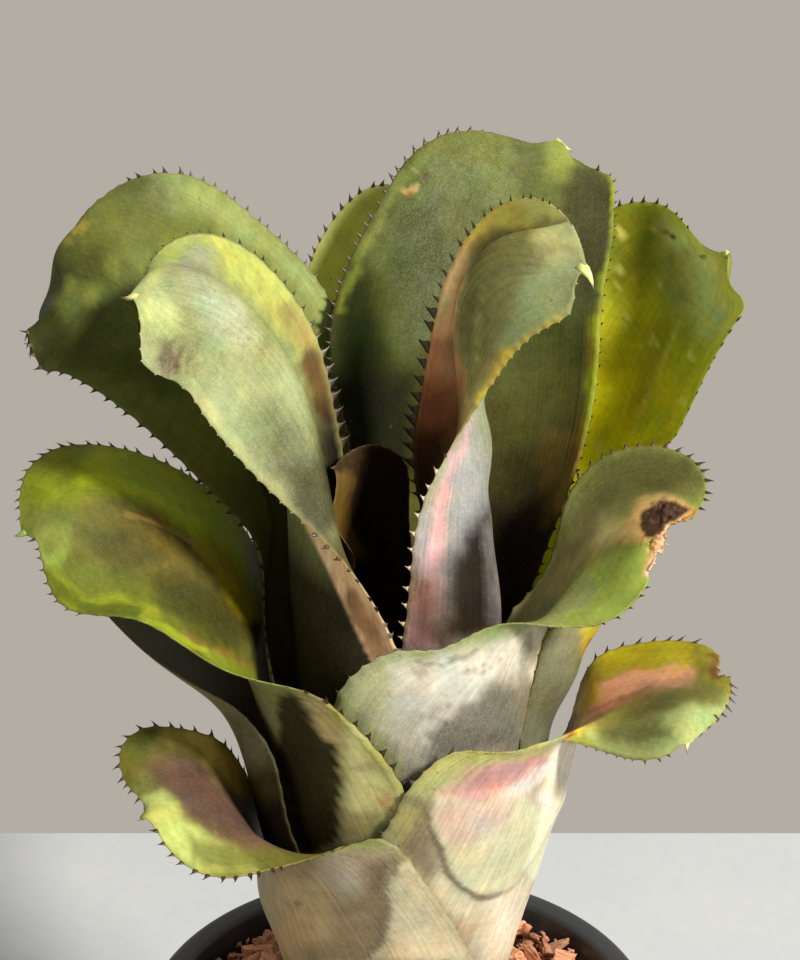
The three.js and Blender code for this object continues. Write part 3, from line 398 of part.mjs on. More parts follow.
    [-9.2,-9.3,156.1,-12,-4.2,154.6,-12.3,1.3,153.4,-10.5,6.3,152.5,-6.8,10,152.1,-2.1,11.9,152,3,11.8,152.3,7.6,9.7,153,11,6,154,12.8,1.3,155.4,12.7,-3.9,157.2],
    [-11.9,-9.7,169.6,-14.5,-3.7,167.6,-14.4,2.6,166,-11.9,8.2,165,-7.6,12.1,164.4,-2.3,14.1,164.3,3.3,14,164.6,8.3,12,165.5,12.3,8.3,166.8,14.8,3.4,168.6,15.6,-1.9,170.9],
    [-14.6,-9.4,183.3,-16.9,-2.5,180.8,-16.2,4.3,178.9,-13.2,10.1,177.6,-8.4,14.3,176.8,-2.7,16.3,176.7,3.2,16.3,177.1,8.6,14.4,178.2,13,10.9,179.8,16.1,6.4,182,17.7,1.3,184.7],
    [-17.1,-8,197.6,-18.8,-0.8,194.6,-17.6,6.2,192.4,-14.1,12.1,190.8,-9.1,16.2,189.9,-3.2,18.3,189.7,2.7,18.4,190.1,8.1,16.8,191.3,12.6,13.8,193.1,16,9.9,195.7,18.2,5.5,198.9],
    [-19.1,-5.7,212.8,-19.9,1.5,209.3,-18.2,8.2,206.7,-14.5,13.7,204.8,-9.6,17.4,203.7,-4.1,19.4,203.4,1.3,19.8,203.9,6.3,18.7,205.1,10.6,16.6,207.1,13.9,13.8,210,16.3,10.6,213.5],
    [-20.5,-3.1,227.5,-20.3,3.7,223.8,-18,9.6,220.9,-14.4,14.3,218.9,-10.1,17.5,217.7,-5.4,19.4,217.3,-0.9,20,217.7,3.3,19.7,219,6.9,18.7,221.1,9.9,17.3,224.1,12.4,15.7,227.9],
    [-19.9,-0.8,240.8,-19.6,5.1,237.5,-17.7,10.4,234.9,-14.7,14.6,233,-11.1,17.8,232,-7.3,19.9,231.7,-3.5,21.1,232.1,0.1,21.5,233.3,3.2,21.5,235.3,5.8,21,238.1,7.9,20.4,241.6],
    [-16,0.9,252.1,-16.9,6.2,249.7,-16.1,11.6,247.9,-13.8,16.3,246.8,-10.7,20,246.4,-7.2,22.6,246.6,-3.8,24.2,247.3,-0.8,25,248.6,1.6,25.2,250.4,3.3,25,252.7,4.3,24.6,255.4],
    [-11.9,1.9,261.7,-13.5,7.9,258.8,-13,14.3,257.8,-10.9,19.9,258.4,-8,23.9,260,-4.9,26.5,262.2,-2.1,27.8,264.5,0.1,28.1,266.7,1.7,27.9,268.6,2.6,27.4,270.2,2.9,26.9,271.4],
    [-16.7,3.2,270.7,-16.1,9.7,268.2,-14.2,15.9,268.2,-11.6,20.7,270,-8.9,24,272.8,-6.4,25.8,276,-4.4,26.5,279.1,-2.8,26.4,281.8,-1.7,26,284,-1,25.4,285.5,-0.6,25,286.5],
    [-17.8,5.1,278.6,-16.1,9.2,277.2,-14.4,12.9,277.6,-12.9,15.8,279.1,-11.8,17.9,281.3,-11,19,283.6,-10.5,19.6,285.8,-10.3,19.7,287.5,-10.2,19.7,288.9,-10.1,19.5,289.7,-10.1,19.5,290.1],
    [-17.4,8.2,285.5,-17.1,8.7,285.6,-16.9,9.3,285.8,-16.7,9.7,286.1,-16.7,10.1,286.4,-16.7,10.4,286.7,-16.7,10.7,287,-16.8,10.8,287.2,-16.9,10.9,287.4,-16.9,11,287.6,-17,11.1,287.7],
  ] },
];

function leafGeometry(net, thickness) {
  const nu = net.length;
  const nv = net[0].length / 3;
  const at = (i, j) => new THREE.Vector3(net[i][j * 3], net[i][j * 3 + 1], net[i][j * 3 + 2]);
  const top = [];
  const bottom = [];
  for (let i = 0; i < nu; i++) {
    for (let j = 0; j < nv; j++) {
      const i0 = Math.max(i - 1, 0), i1 = Math.min(i + 1, nu - 1);
      const j0 = Math.max(j - 1, 0), j1 = Math.min(j + 1, nv - 1);
      const du = at(i1, j).sub(at(i0, j)).divideScalar(i1 - i0);
      const dv = at(i, j1).sub(at(i, j0)).divideScalar(j1 - j0);
      const n = du.cross(dv).normalize().multiplyScalar(thickness / 2);
      top.push(at(i, j).add(n));
      bottom.push(at(i, j).sub(n));
    }
  }
  const count = nu * nv;
  const position = new Float32Array(count * 2 * 3);
  top.concat(bottom).forEach((v, k) => v.toArray(position, k * 3));
  const index = [];
  const id = (i, j) => i * nv + j;
  for (let i = 0; i < nu - 1; i++) {
    for (let j = 0; j < nv - 1; j++) {
      const a = id(i, j), b = id(i + 1, j), c = id(i + 1, j + 1), d = id(i, j + 1);
      index.push(a, b, c, a, c, d);
      index.push(count + a, count + c, count + b, count + a, count + d, count + c);
    }
  }
  const loop = [];
  for (let j = 0; j < nv; j++) loop.push(id(0, j));
  for (let i = 1; i < nu; i++) loop.push(id(i, nv - 1));
  for (let j = nv - 2; j >= 0; j--) loop.push(id(nu - 1, j));
  for (let i = nu - 2; i > 0; i--) loop.push(id(i, 0));
  for (let k = 0; k < loop.length; k++) {
    const a = loop[k], b = loop[(k + 1) % loop.length];
    index.push(a, b, count + b, a, count + b, count + a);
  }
  const volume = (order) => {
    let sum = 0;
    for (let t = 0; t < order.length; t += 3) {
      const [a, b, c] = [0, 1, 2].map((k) => new THREE.Vector3().fromArray(position, order[t + k] * 3));
      sum += a.dot(b.cross(c));
    }
    return sum / 6;
  };
  if (volume(index) < 0) {
    for (let t = 0; t < index.length; t += 3) [index[t + 1], index[t + 2]] = [index[t + 2], index[t + 1]];
  }
  const g = new THREE.BufferGeometry();
  g.setAttribute('position', new THREE.BufferAttribute(position, 3));
  g.setIndex(index);
  g.computeVertexNormals();
  return g;
}

for (const leaf of LEAVES) add(leaf.name, leafGeometry(leaf.net, LEAF_THICKNESS), material(leaf.colour, 0.5));

export default group;
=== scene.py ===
# Potted tank bromeliad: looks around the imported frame. Metres, +Z up.
import bpy
import math
import numpy as np
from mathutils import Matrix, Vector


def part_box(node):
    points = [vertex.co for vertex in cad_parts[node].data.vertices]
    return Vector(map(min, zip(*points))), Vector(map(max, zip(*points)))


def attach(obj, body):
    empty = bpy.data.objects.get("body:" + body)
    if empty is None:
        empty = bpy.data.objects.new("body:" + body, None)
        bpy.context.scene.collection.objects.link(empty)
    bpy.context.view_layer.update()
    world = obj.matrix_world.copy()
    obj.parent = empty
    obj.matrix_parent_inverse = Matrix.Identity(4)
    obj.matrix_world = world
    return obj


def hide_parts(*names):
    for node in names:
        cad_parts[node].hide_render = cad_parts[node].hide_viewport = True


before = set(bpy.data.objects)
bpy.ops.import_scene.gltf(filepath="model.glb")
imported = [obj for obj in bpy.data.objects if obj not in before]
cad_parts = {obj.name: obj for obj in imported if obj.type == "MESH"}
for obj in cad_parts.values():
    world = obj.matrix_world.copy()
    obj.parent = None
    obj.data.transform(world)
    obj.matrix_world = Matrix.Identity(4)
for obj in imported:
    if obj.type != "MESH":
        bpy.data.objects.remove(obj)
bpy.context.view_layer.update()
rng = np.random.default_rng(7)
MM = 0.001

# ---------------------------------------------------------------- camera
CAM = np.array([0.2825, -461.6545, 433.4466])   # mm
PITCH = 0.308759
FOCAL = 1800.0                                   # in pixels of an 800 x 960 frame
cam_data = bpy.data.cameras.new("camera")
cam_data.lens = FOCAL / 960.0 * 36.0
cam_data.sensor_width = 36.0
cam_data.clip_start = 0.01
cam_data.clip_end = 20.0
cam = bpy.data.objects.new("camera", cam_data)
bpy.context.scene.collection.objects.link(cam)
cam.location = CAM * MM
cam.rotation_euler = (math.pi / 2 - PITCH, 0, 0)
bpy.context.scene.camera = cam
CT, ST = math.cos(PITCH), math.sin(PITCH)


def front(p):
    """Where a point in mm falls on the fixed drawing plane that the leaf markings are laid out on."""
    x, y, z = p[..., 0] - CAM[0], p[..., 1] - CAM[1], p[..., 2] - CAM[2]
    d = y * CT - z * ST
    v = y * ST + z * CT
    return np.stack([400 + FOCAL * x / d, 480 - FOCAL * v / d], -1)


# ---------------------------------------------------------------- small tools
def link(o):
    bpy.context.scene.collection.objects.link(o)
    return o


def sines(p, scale, seed, n=7):
    """Smooth noise from summed sines, about -1 to 1, at points p in mm. scale is the size of its features."""
    r = np.random.default_rng(seed)
    out = np.zeros(len(p))
    for k in range(n):
        d = r.normal(size=3)
        d /= np.linalg.norm(d)
        f = 2 * math.pi / (scale * r.uniform(0.7, 1.6))
        out += np.sin(p @ d * f + r.uniform(0, 6.28))
    return out / math.sqrt(n)


def lin(c):
    """sRGB 0-255 to linear."""
    c = np.array(c, float) / 255.0
    return np.where(c <= 0.04045, c / 12.92, ((c + 0.055) / 1.055) ** 2.4)


def smooth(x):
    x = np.clip(x, 0, 1)
    return x * x * (3 - 2 * x)


def spline_matrix(n, t):
    a = np.eye(n)
    r = np.zeros((n, n))
    for i in range(1, n - 1):
        a[i, i - 1:i + 2] = (1, 4, 1)
        r[i, i - 1:i + 2] = (6, -12, 6)
    m = np.linalg.solve(a, r)
    i = np.clip(t.astype(int), 0, n - 2)
    f = t - i
    w = np.zeros((len(t), n))
    k = np.arange(len(t))
    w[k, i] += 1 - f
    w[k, i + 1] += f
    return w + (((1 - f) ** 3 - (1 - f))[:, None] * m[i] + (f ** 3 - f)[:, None] * m[i + 1]) / 6


def mesh_object(name, verts_mm, faces, smooth_shade=True):
    me = bpy.data.meshes.new(name)
    verts = np.asarray(verts_mm, float) * MM
    me.vertices.add(len(verts))
    me.vertices.foreach_set("co", verts.astype(np.float32).ravel())
    sizes = np.array([len(f) for f in faces], np.int32)
    me.loops.add(int(sizes.sum()))
    me.loops.foreach_set("vertex_index", np.concatenate([np.asarray(f, np.int32) for f in faces]) if len(set(sizes)) > 1 else np.asarray(faces, np.int32).ravel())
    me.polygons.add(len(sizes))
    me.polygons.foreach_set("loop_start", np.concatenate([[0], np.cumsum(sizes)[:-1]]).astype(np.int32))
    me.polygons.foreach_set("use_smooth", np.full(len(sizes), smooth_shade))
    me.update(calc_edges=True)
    me.validate()
    return link(bpy.data.objects.new(name, me))


def set_colours(o, name, rgb):
    at = o.data.color_attributes.new(name, "FLOAT_COLOR", "POINT")
    c = np.ones((len(rgb), 4), np.float32)
    c[:, :3] = rgb
    at.data.foreach_set("color", c.ravel())


def set_uv(o, uv):
    layer = o.data.uv_layers.new(name="UVMap")
    idx = np.zeros(len(o.data.loops), np.int32)
    o.data.loops.foreach_get("vertex_index", idx)
    layer.data.foreach_set("uv", np.asarray(uv, np.float32)[idx].ravel())


def node_tree(name):
    m = bpy.data.materials.new(name)
    m.use_nodes = True
    nt = m.node_tree
    nt.nodes.clear()
    out = nt.nodes.new("ShaderNodeOutputMaterial")
    return m, nt, out


class Graph:
    """A short way to write a node tree."""

    def __init__(self, nt):
        self.nt = nt

    def put(self, socket, value):
        if isinstance(value, bpy.types.NodeSocket):
            self.nt.links.new(value, socket)
        elif value is not None:
            if socket.type == "RGBA" and len(value) == 3:
                value = (*value, 1)
            socket.default_value = value

    def node(self, kind, **inputs):
        n = self.nt.nodes.new(kind)
        for k, v in inputs.items():
            self.put(n.inputs[k.replace("_", " ")], v)
        return n

    def noise(self, vector, scale, detail=2.0, rough=0.5, distortion=0.0):
        n = self.node("ShaderNodeTexNoise", Vector=vector, Scale=scale, Detail=detail, Roughness=rough, Distortion=distortion)
        return n.outputs["Fac"]

    def ramp(self, fac, stops):
        n = self.nt.nodes.new("ShaderNodeValToRGB")
        self.put(n.inputs["Fac"], fac)
        els = n.color_ramp.elements
        while len(els) < len(stops):
            els.new(0.5)
        for e, (pos, col) in zip(els, stops):
            e.position = pos
            e.color = (*col, 1) if not np.isscalar(col) else (col, col, col, 1)
        return n.outputs["Color"]

    def mix(self, fac, a, b, how="MIX"):
        n = self.nt.nodes.new("ShaderNodeMix")
        n.data_type = "RGBA"
        n.blend_type = how
        n.clamp_result = False
        self.put(n.inputs["Factor"], fac)
        self.put([s for s in n.inputs if s.name == "A" and s.type == "RGBA"][0], a)
        self.put([s for s in n.inputs if s.name == "B" and s.type == "RGBA"][0], b)
        return [s for s in n.outputs if s.type == "RGBA"][0]

    def math(self, how, a, b=None, c=None, clamp=False):
        n = self.nt.nodes.new("ShaderNodeMath")
        n.operation = how
        n.use_clamp = clamp
        for s, v in zip(n.inputs, (a, b, c)):
            self.put(s, v)
        return n.outputs[0]

    def scaled(self, vector, s):
        n = self.nt.nodes.new("ShaderNodeMapping")
        self.put(n.inputs["Vector"], vector)
        n.inputs["Scale"].default_value = s
        return n.outputs[0]

    def coords(self, kind="Object"):
        return self.nt.nodes.new("ShaderNodeTexCoord").outputs[kind]

    def attribute(self, name):
        n = self.nt.nodes.new("ShaderNodeAttribute")
        n.attribute_name = name
        return n

    def split(self, colour):
        n = self.nt.nodes.new("ShaderNodeSeparateColor")
        self.put(n.inputs[0], colour)
        return n.outputs

    def bump(self, height, strength, distance=0.001, normal=None):
        n = self.node("ShaderNodeBump", Height=height, Strength=strength, Distance=distance)
        if normal is not None:
            self.put(n.inputs["Normal"], normal)
        return n.outputs[0]


# ---------------------------------------------------------------- leaf skin
def leaf_material(name, rough=0.42, translucent=0.16, specular=0.13):
    m, nt, out = node_tree(name)
    g = Graph(nt)
    paint = g.attribute("paint").outputs["Color"]
    mask = g.split(g.attribute("mask").outputs["Color"])
    scurf, streak, gloss = mask[0], mask[1], mask[2]
    uv = g.coords("UV")
    ob = g.coords("Object")
    veins = g.noise(g.scaled(uv, (2.2, 95, 1)), 1.0, 3.0, 0.55)
    fine = g.noise(g.scaled(uv, (9.0, 260, 1)), 1.0, 2.0, 0.6)
    cells = g.noise(ob, 2600.0, 2.0, 0.6)
    blotch = g.noise(ob, 62.0, 4.0, 0.6)
    broad = g.noise(ob, 24.0, 2.0, 0.5)
    grain = g.noise(ob, 700.0, 3.0, 0.65)
    # veins: lighter and darker lines that follow the leaf
    vein_amount = g.math("MULTIPLY", g.math("SUBTRACT", veins, 0.5), g.math("MULTIPLY_ADD", streak, 0.9, 0.28))
    fine_amount = g.math("MULTIPLY", g.math("SUBTRACT", fine, 0.5), 0.22)
    blotch_amount = g.math("MULTIPLY", g.math("SUBTRACT", blotch, 0.5), 0.62)
    grain_amount = g.math("MULTIPLY", g.math("SUBTRACT", grain, 0.5), 0.34)
    level = g.math("ADD", g.math("ADD", vein_amount, fine_amount), g.math("ADD", g.math("ADD", blotch_amount, grain_amount), 1.0))
    base = g.mix(1.0, paint, g.node("ShaderNodeCombineColor", Red=level, Green=level, Blue=level).outputs[0], "MULTIPLY")
    # hue drift: yellower in some patches, cooler in others
    drift = g.ramp(broad, [(0.3, (0.90, 1.00, 0.98)), (0.5, (1.0, 1.0, 1.0)), (0.72, (1.10, 1.03, 0.86))])
    base = g.mix(0.7, base, g.mix(1.0, base, drift, "MULTIPLY"))
    # silvery scurf: a dusting of pale scales, thicker where the mask says
    dust = g.math("MULTIPLY", g.ramp(cells, [(0.42, 0.0), (0.62, 1.0)]), g.ramp(grain, [(0.3, 0.35), (0.7, 1.0)]))
    under = g.math("MULTIPLY_ADD", scurf, -0.34, 1.0)
    base = g.mix(1.0, base, g.node("ShaderNodeCombineColor", Red=under, Green=under, Blue=under).outputs[0], "MULTIPLY")
    dust = g.math("MULTIPLY", dust, g.math("MULTIPLY_ADD", scurf, 0.46, 0.012), clamp=True)
    film = g.math("MULTIPLY", g.math("MULTIPLY", scurf, 0.30), g.ramp(blotch, [(0.35, 0.0), (0.68, 1.0)]), clamp=True)
    base = g.mix(film, base, (0.50, 0.52, 0.44))
    base = g.mix(dust, base, (0.66, 0.68, 0.58))
    # tiny dark flecks
    vor = g.node("ShaderNodeTexVoronoi", Vector=ob, Scale=150.0)
    fleck = g.ramp(vor.outputs["Distance"], [(0.035, 1.0), (0.075, 0.0)])
    base = g.mix(g.math("MULTIPLY", fleck, 0.45), base, (0.10, 0.075, 0.03))
    r = g.math("ADD", g.math("MULTIPLY_ADD", scurf, 0.24, rough), g.math("MULTIPLY", g.math("SUBTRACT", grain, 0.5), 0.22))
    r = g.math("SUBTRACT", r, g.math("MULTIPLY", gloss, 0.16), clamp=True)
    height = g.math("ADD", g.math("MULTIPLY", veins, 0.5), g.math("ADD", g.math("MULTIPLY", grain, 0.16), g.math("MULTIPLY", cells, 0.05)))
    normal = g.bump(height, 0.34, 0.0006)
    p = g.node("ShaderNodeBsdfPrincipled", Base_Color=base, Roughness=r, Normal=normal)
    p.inputs["Specular IOR Level"].default_value = specular
    p.inputs["Coat Weight"].default_value = 0.0
    t = g.node("ShaderNodeBsdfTranslucent", Normal=normal)
    glow = g.mix(1.0, base, (1.15, 1.1, 0.55), "MULTIPLY")
    g.put(t.inputs["Color"], glow)
    mix = g.nt.nodes.new("ShaderNodeMixShader")
    mix.inputs[0].default_value = translucent
    nt.links.new(p.outputs[0], mix.inputs[1])
    nt.links.new(t.outputs[0], mix.inputs[2])
    nt.links.new(mix.outputs[0], out.inputs["Surface"])
    return m


def spine_material():
    m, nt, out = node_tree("spine_horn")
    g = Graph(nt)
    ob = g.coords("Object")
    paint = g.attribute("paint").outputs["Color"]
    n = g.noise(ob, 900.0, 2.0)
    level = g.math("MULTIPLY_ADD", n, 0.8, 0.6)
    base = g.mix(1.0, paint, g.node("ShaderNodeCombineColor", Red=level, Green=level, Blue=level).outputs[0], "MULTIPLY")
    p = g.node("ShaderNodeBsdfPrincipled", Base_Color=base, Roughness=g.math("MULTIPLY_ADD", n, 0.2, 0.32))
    nt.links.new(p.outputs[0], out.inputs["Surface"])
    return m


# ---------------------------------------------------------------- leaf shapes
# Each leaf's middle surface as a net of points in units of 0.05 mm: rows run
# from the sheath to the tip, and each row crosses the leaf from margin to margin.
NETS = {
    "leaf_front_left": {"rows": 46, "cols": 13, "u": [0,21,42.1,63.1,84.1,104.9,125.7,146.4,167.1,187.9,208.9,230,251.3,272.5,293.5,315.2,336.8,357.4,377.8,398.7,420.4,443.6,469.1,497,525.1,552.2,579,606.9,636.7,666.2,694.6,722.3,750.5,779.7,810.5,841.5,871.3,900,921.8,937.7,951,962.9,973.8,983.6,992.4,1000], "p": [
553,-294,2260,455,-428,2260,326,-531,2260,174,-598,2260,10,-621,2260,-156,-601,2260,-310,-537,2260,-442,-434,2260,-542,-299,2260,-603,-142,2260,-619,26,2260,-589,194,2260,-514,347,2260,
556,-296,2354,456,-430,2347,324,-533,2341,171,-598,2336,6,-620,2332,-159,-598,2329,-312,-533,2327,-443,-430,2326,-542,-296,2325,-602,-140,2326,-618,26,2327,-590,192,2330,-518,345,2333,
555,-310,2447,451,-441,2433,318,-541,2421,164,-602,2412,-1,-621,2404,-164,-597,2398,-316,-531,2393,-445,-428,2391,-543,-294,2391,-602,-140,2392,-619,26,2396,-592,191,2401,-522,345,2408,
551,-333,2536,443,-459,2517,307,-553,2500,153,-609,2485,-10,-625,2474,-172,-598,2465,-321,-531,2460,-449,-427,2457,-546,-294,2456,-605,-140,2459,-622,26,2464,-596,191,2473,-526,345,2484,
543,-364,2624,431,-482,2598,294,-569,2576,140,-619,2558,-22,-630,2543,-181,-601,2532,-329,-532,2525,-454,-428,2522,-550,-295,2522,-609,-141,2526,-627,25,2533,-601,191,2545,-532,347,2560,
532,-400,2709,415,-509,2678,277,-588,2651,124,-632,2629,-36,-638,2612,-192,-605,2599,-337,-535,2590,-461,-431,2586,-556,-298,2587,-616,-143,2592,-634,23,2602,-608,191,2617,-539,349,2636,
518,-441,2793,397,-540,2757,258,-610,2725,106,-646,2700,-51,-647,2679,-205,-612,2664,-347,-540,2655,-470,-435,2651,-564,-301,2652,-624,-147,2658,-642,21,2671,-618,191,2688,-548,352,2711,
500,-485,2875,377,-573,2834,238,-633,2799,87,-663,2769,-67,-658,2746,-219,-619,2730,-359,-546,2719,-480,-440,2715,-574,-306,2716,-633,-151,2724,-653,18,2738,-629,190,2759,-560,354,2785,
481,-530,2957,355,-607,2910,215,-658,2871,67,-680,2839,-85,-670,2813,-234,-628,2795,-371,-553,2783,-491,-446,2778,-584,-312,2781,-645,-156,2790,-666,14,2806,-643,188,2829,-575,356,2858,
458,-575,3037,331,-641,2987,192,-683,2944,45,-698,2908,-104,-683,2880,-250,-637,2860,-385,-560,2847,-503,-453,2842,-597,-319,2845,-658,-163,2855,-681,9,2872,-660,186,2897,-593,358,2930,
433,-618,3118,305,-674,3063,167,-707,3016,23,-715,2978,-124,-696,2948,-267,-647,2926,-400,-569,2912,-517,-461,2906,-610,-327,2909,-673,-170,2919,-698,2,2938,-680,182,2965,-616,359,3000,
406,-659,3198,278,-704,3140,142,-730,3090,0,-732,3049,-144,-708,3016,-284,-657,2992,-416,-577,2977,-532,-469,2971,-626,-334,2973,-690,-177,2984,-718,-2,3003,-703,181,3031,-640,363,3068,
377,-695,3279,250,-731,3217,116,-749,3164,-23,-746,3120,-164,-719,3085,-302,-666,3059,-433,-585,3043,-549,-476,3035,-644,-340,3037,-710,-180,3048,-740,-2,3068,-726,188,3097,-663,377,3135,
345,-727,3360,223,-755,3294,92,-767,3238,-44,-759,3191,-182,-729,3154,-320,-674,3126,-450,-592,3108,-568,-481,3100,-665,-342,3101,-734,-177,3111,-764,9,3131,-749,208,3160,-680,408,3199,
313,-758,3439,195,-777,3370,68,-783,3311,-64,-771,3262,-200,-739,3222,-337,-682,3193,-468,-598,3173,-588,-484,3163,-688,-340,3163,-758,-168,3173,-789,27,3192,-771,238,3222,-693,450,3261,
279,-791,3522,163,-802,3450,40,-801,3387,-89,-784,3335,-223,-748,3293,-357,-688,3261,-487,-602,3240,-606,-486,3228,-706,-340,3227,-777,-165,3236,-808,35,3255,-788,251,3284,-707,469,3323,
243,-824,3605,128,-828,3529,6,-821,3463,-121,-798,3408,-251,-756,3364,-381,-693,3330,-506,-604,3306,-620,-488,3293,-715,-343,3290,-783,-172,3298,-813,22,3316,-796,231,3345,-722,444,3384,
206,-855,3684,90,-853,3605,-31,-840,3536,-156,-811,3478,-282,-763,3431,-406,-695,3394,-525,-604,3369,-631,-489,3354,-719,-349,3350,-782,-185,3356,-811,-2,3373,-799,194,3401,-738,393,3440,
167,-882,3764,50,-875,3680,-70,-855,3608,-193,-820,3546,-314,-768,3496,-433,-696,3457,-543,-603,3429,-642,-489,3412,-723,-355,3407,-780,-200,3412,-809,-30,3429,-801,151,3457,-753,335,3496,
124,-905,3847,7,-893,3758,-112,-867,3680,-231,-826,3615,-348,-769,3561,-459,-694,3519,-562,-601,3488,-653,-489,3469,-727,-360,3463,-780,-215,3467,-807,-56,3484,-804,111,3512,-766,281,3553,
76,-922,3930,-40,-905,3835,-157,-873,3752,-271,-828,3682,-382,-767,3624,-487,-690,3579,-583,-597,3546,-666,-488,3526,-734,-365,3518,-783,-228,3523,-808,-80,3540,-808,75,3570,-779,232,3612,
20,-934,4007,-93,-912,3907,-205,-876,3820,-315,-827,3747,-419,-763,3686,-517,-685,3638,-605,-592,3604,-681,-486,3583,-743,-368,3575,-788,-239,3581,-812,-101,3599,-815,41,3631,-793,186,3676,
-45,-939,4064,-153,-914,3964,-259,-875,3877,-362,-823,3803,-460,-757,3743,-550,-677,3696,-631,-586,3662,-700,-482,3642,-756,-369,3636,-797,-248,3644,-821,-120,3665,-826,11,3700,-811,143,3749,
-119,-936,4082,-219,-910,3991,-318,-869,3911,-413,-815,3844,-503,-748,3789,-586,-668,3747,-660,-578,3719,-723,-478,3704,-775,-370,3703,-812,-255,3716,-836,-137,3741,-843,-17,3780,-835,102,3831,
-194,-925,4062,-286,-897,3986,-376,-856,3921,-463,-802,3866,-546,-735,3822,-623,-657,3790,-691,-569,3771,-751,-473,3764,-799,-371,3770,-836,-263,3789,-859,-153,3820,-869,-42,3863,-864,68,3918,
-268,-909,4023,-350,-879,3966,-431,-837,3917,-511,-783,3877,-588,-719,3847,-659,-645,3826,-724,-562,3817,-782,-471,3820,-829,-373,3834,-866,-272,3860,-890,-168,3897,-901,-63,3946,-899,39,4006,
-340,-889,3979,-412,-856,3942,-485,-814,3910,-558,-763,3885,-629,-702,3868,-697,-632,3860,-760,-555,3861,-816,-469,3872,-864,-377,3894,-903,-281,3927,-929,-181,3971,-943,-81,4026,-942,17,4092,
-414,-875,3939,-478,-839,3920,-543,-796,3905,-609,-745,3894,-674,-687,3890,-738,-621,3893,-799,-548,3904,-855,-468,3923,-904,-381,3952,-945,-288,3990,-976,-192,4039,-994,-94,4099,-998,5,4168,
-492,-879,3912,-548,-839,3907,-607,-792,3906,-666,-739,3908,-726,-680,3916,-786,-615,3928,-844,-543,3946,-898,-465,3971,-949,-380,4004,-993,-290,4044,-1031,-195,4093,-1059,-96,4151,-1076,6,4217,
-569,-910,3905,-619,-861,3910,-672,-807,3918,-726,-748,3930,-780,-684,3944,-835,-614,3963,-890,-540,3986,-943,-461,4013,-995,-376,4047,-1044,-286,4085,-1090,-192,4130,-1132,-93,4182,-1168,10,4240,
-642,-955,3909,-688,-894,3919,-735,-830,3932,-784,-763,3949,-833,-692,3969,-883,-618,3993,-935,-540,4020,-987,-459,4051,-1041,-375,4086,-1095,-288,4125,-1149,-197,4168,-1205,-103,4215,-1261,-7,4266,
-714,-1004,3916,-752,-930,3931,-792,-855,3949,-834,-779,3971,-880,-701,3994,-928,-623,4021,-980,-543,4051,-1034,-462,4084,-1091,-381,4120,-1151,-298,4159,-1214,-215,4201,-1280,-131,4246,-1349,-46,4294,
-788,-1051,3923,-817,-967,3944,-850,-882,3967,-887,-798,3992,-929,-714,4019,-975,-631,4048,-1026,-550,4079,-1081,-470,4112,-1141,-391,4147,-1206,-315,4184,-1276,-242,4223,-1351,-172,4264,-1431,-105,4307,
-865,-1090,3935,-882,-996,3960,-907,-904,3987,-938,-814,4015,-977,-726,4044,-1021,-642,4074,-1072,-561,4104,-1130,-484,4135,-1193,-412,4166,-1262,-345,4197,-1336,-284,4229,-1415,-228,4260,-1498,-178,4290,
-947,-1112,3953,-952,-1013,3982,-967,-917,4012,-993,-825,4042,-1027,-737,4071,-1070,-654,4099,-1121,-578,4126,-1178,-508,4151,-1241,-444,4175,-1309,-388,4198,-1381,-339,4218,-1456,-297,4237,-1533,-263,4254,
-1030,-1107,3980,-1023,-1011,4012,-1030,-918,4043,-1050,-829,4072,-1080,-746,4098,-1120,-670,4122,-1167,-601,4143,-1221,-540,4161,-1279,-487,4176,-1340,-442,4188,-1403,-405,4198,-1466,-375,4205,-1530,-352,4210,
-1107,-1079,4014,-1092,-993,4047,-1093,-908,4076,-1108,-828,4102,-1133,-755,4124,-1168,-688,4141,-1210,-630,4155,-1256,-580,4164,-1304,-538,4171,-1354,-504,4174,-1404,-477,4175,-1452,-456,4174,-1498,-441,4171,
-1173,-1034,4053,-1156,-963,4084,-1154,-892,4109,-1165,-825,4130,-1186,-764,4145,-1214,-710,4155,-1247,-664,4161,-1283,-626,4164,-1320,-595,4163,-1355,-571,4161,-1389,-553,4157,-1420,-539,4152,-1447,-529,4148,
-1215,-993,4086,-1201,-934,4112,-1200,-875,4133,-1209,-821,4147,-1226,-772,4157,-1249,-730,4161,-1274,-694,4163,-1300,-666,4161,-1325,-643,4158,-1349,-626,4153,-1370,-613,4149,-1388,-603,4144,-1402,-597,4140,
-1241,-959,4112,-1232,-910,4133,-1234,-863,4148,-1242,-819,4157,-1256,-780,4162,-1273,-747,4163,-1292,-719,4161,-1310,-697,4158,-1327,-680,4154,-1343,-667,4149,-1355,-657,4145,-1365,-651,4141,-1372,-647,4139,
-1260,-930,4132,-1258,-891,4147,-1262,-853,4157,-1271,-819,4162,-1281,-789,4163,-1293,-763,4162,-1306,-742,4158,-1317,-725,4154,-1328,-712,4150,-1337,-702,4146,-1344,-695,4142,-1348,-690,4140,-1350,-688,4139,
-1277,-905,4145,-1282,-875,4155,-1289,-847,4161,-1296,-821,4163,-1304,-799,4161,-1311,-780,4159,-1317,-764,4155,-1323,-751,4150,-1328,-740,4146,-1332,-733,4143,-1334,-728,4140,-1336,-725,4139,-1336,-725,4139,
-1294,-883,4152,-1304,-863,4157,-1312,-844,4159,-1319,-826,4159,-1323,-810,4157,-1326,-796,4154,-1327,-785,4150,-1328,-775,4146,-1329,-768,4143,-1329,-763,4140,-1329,-760,4139,-1329,-758,4138,-1329,-759,4138,
-1312,-865,4151,-1323,-855,4153,-1331,-843,4153,-1335,-832,4152,-1337,-821,4150,-1337,-812,4147,-1336,-805,4145,-1334,-799,4142,-1332,-794,4140,-1331,-791,4138,-1330,-790,4137,-1329,-789,4137,-1330,-790,4137,
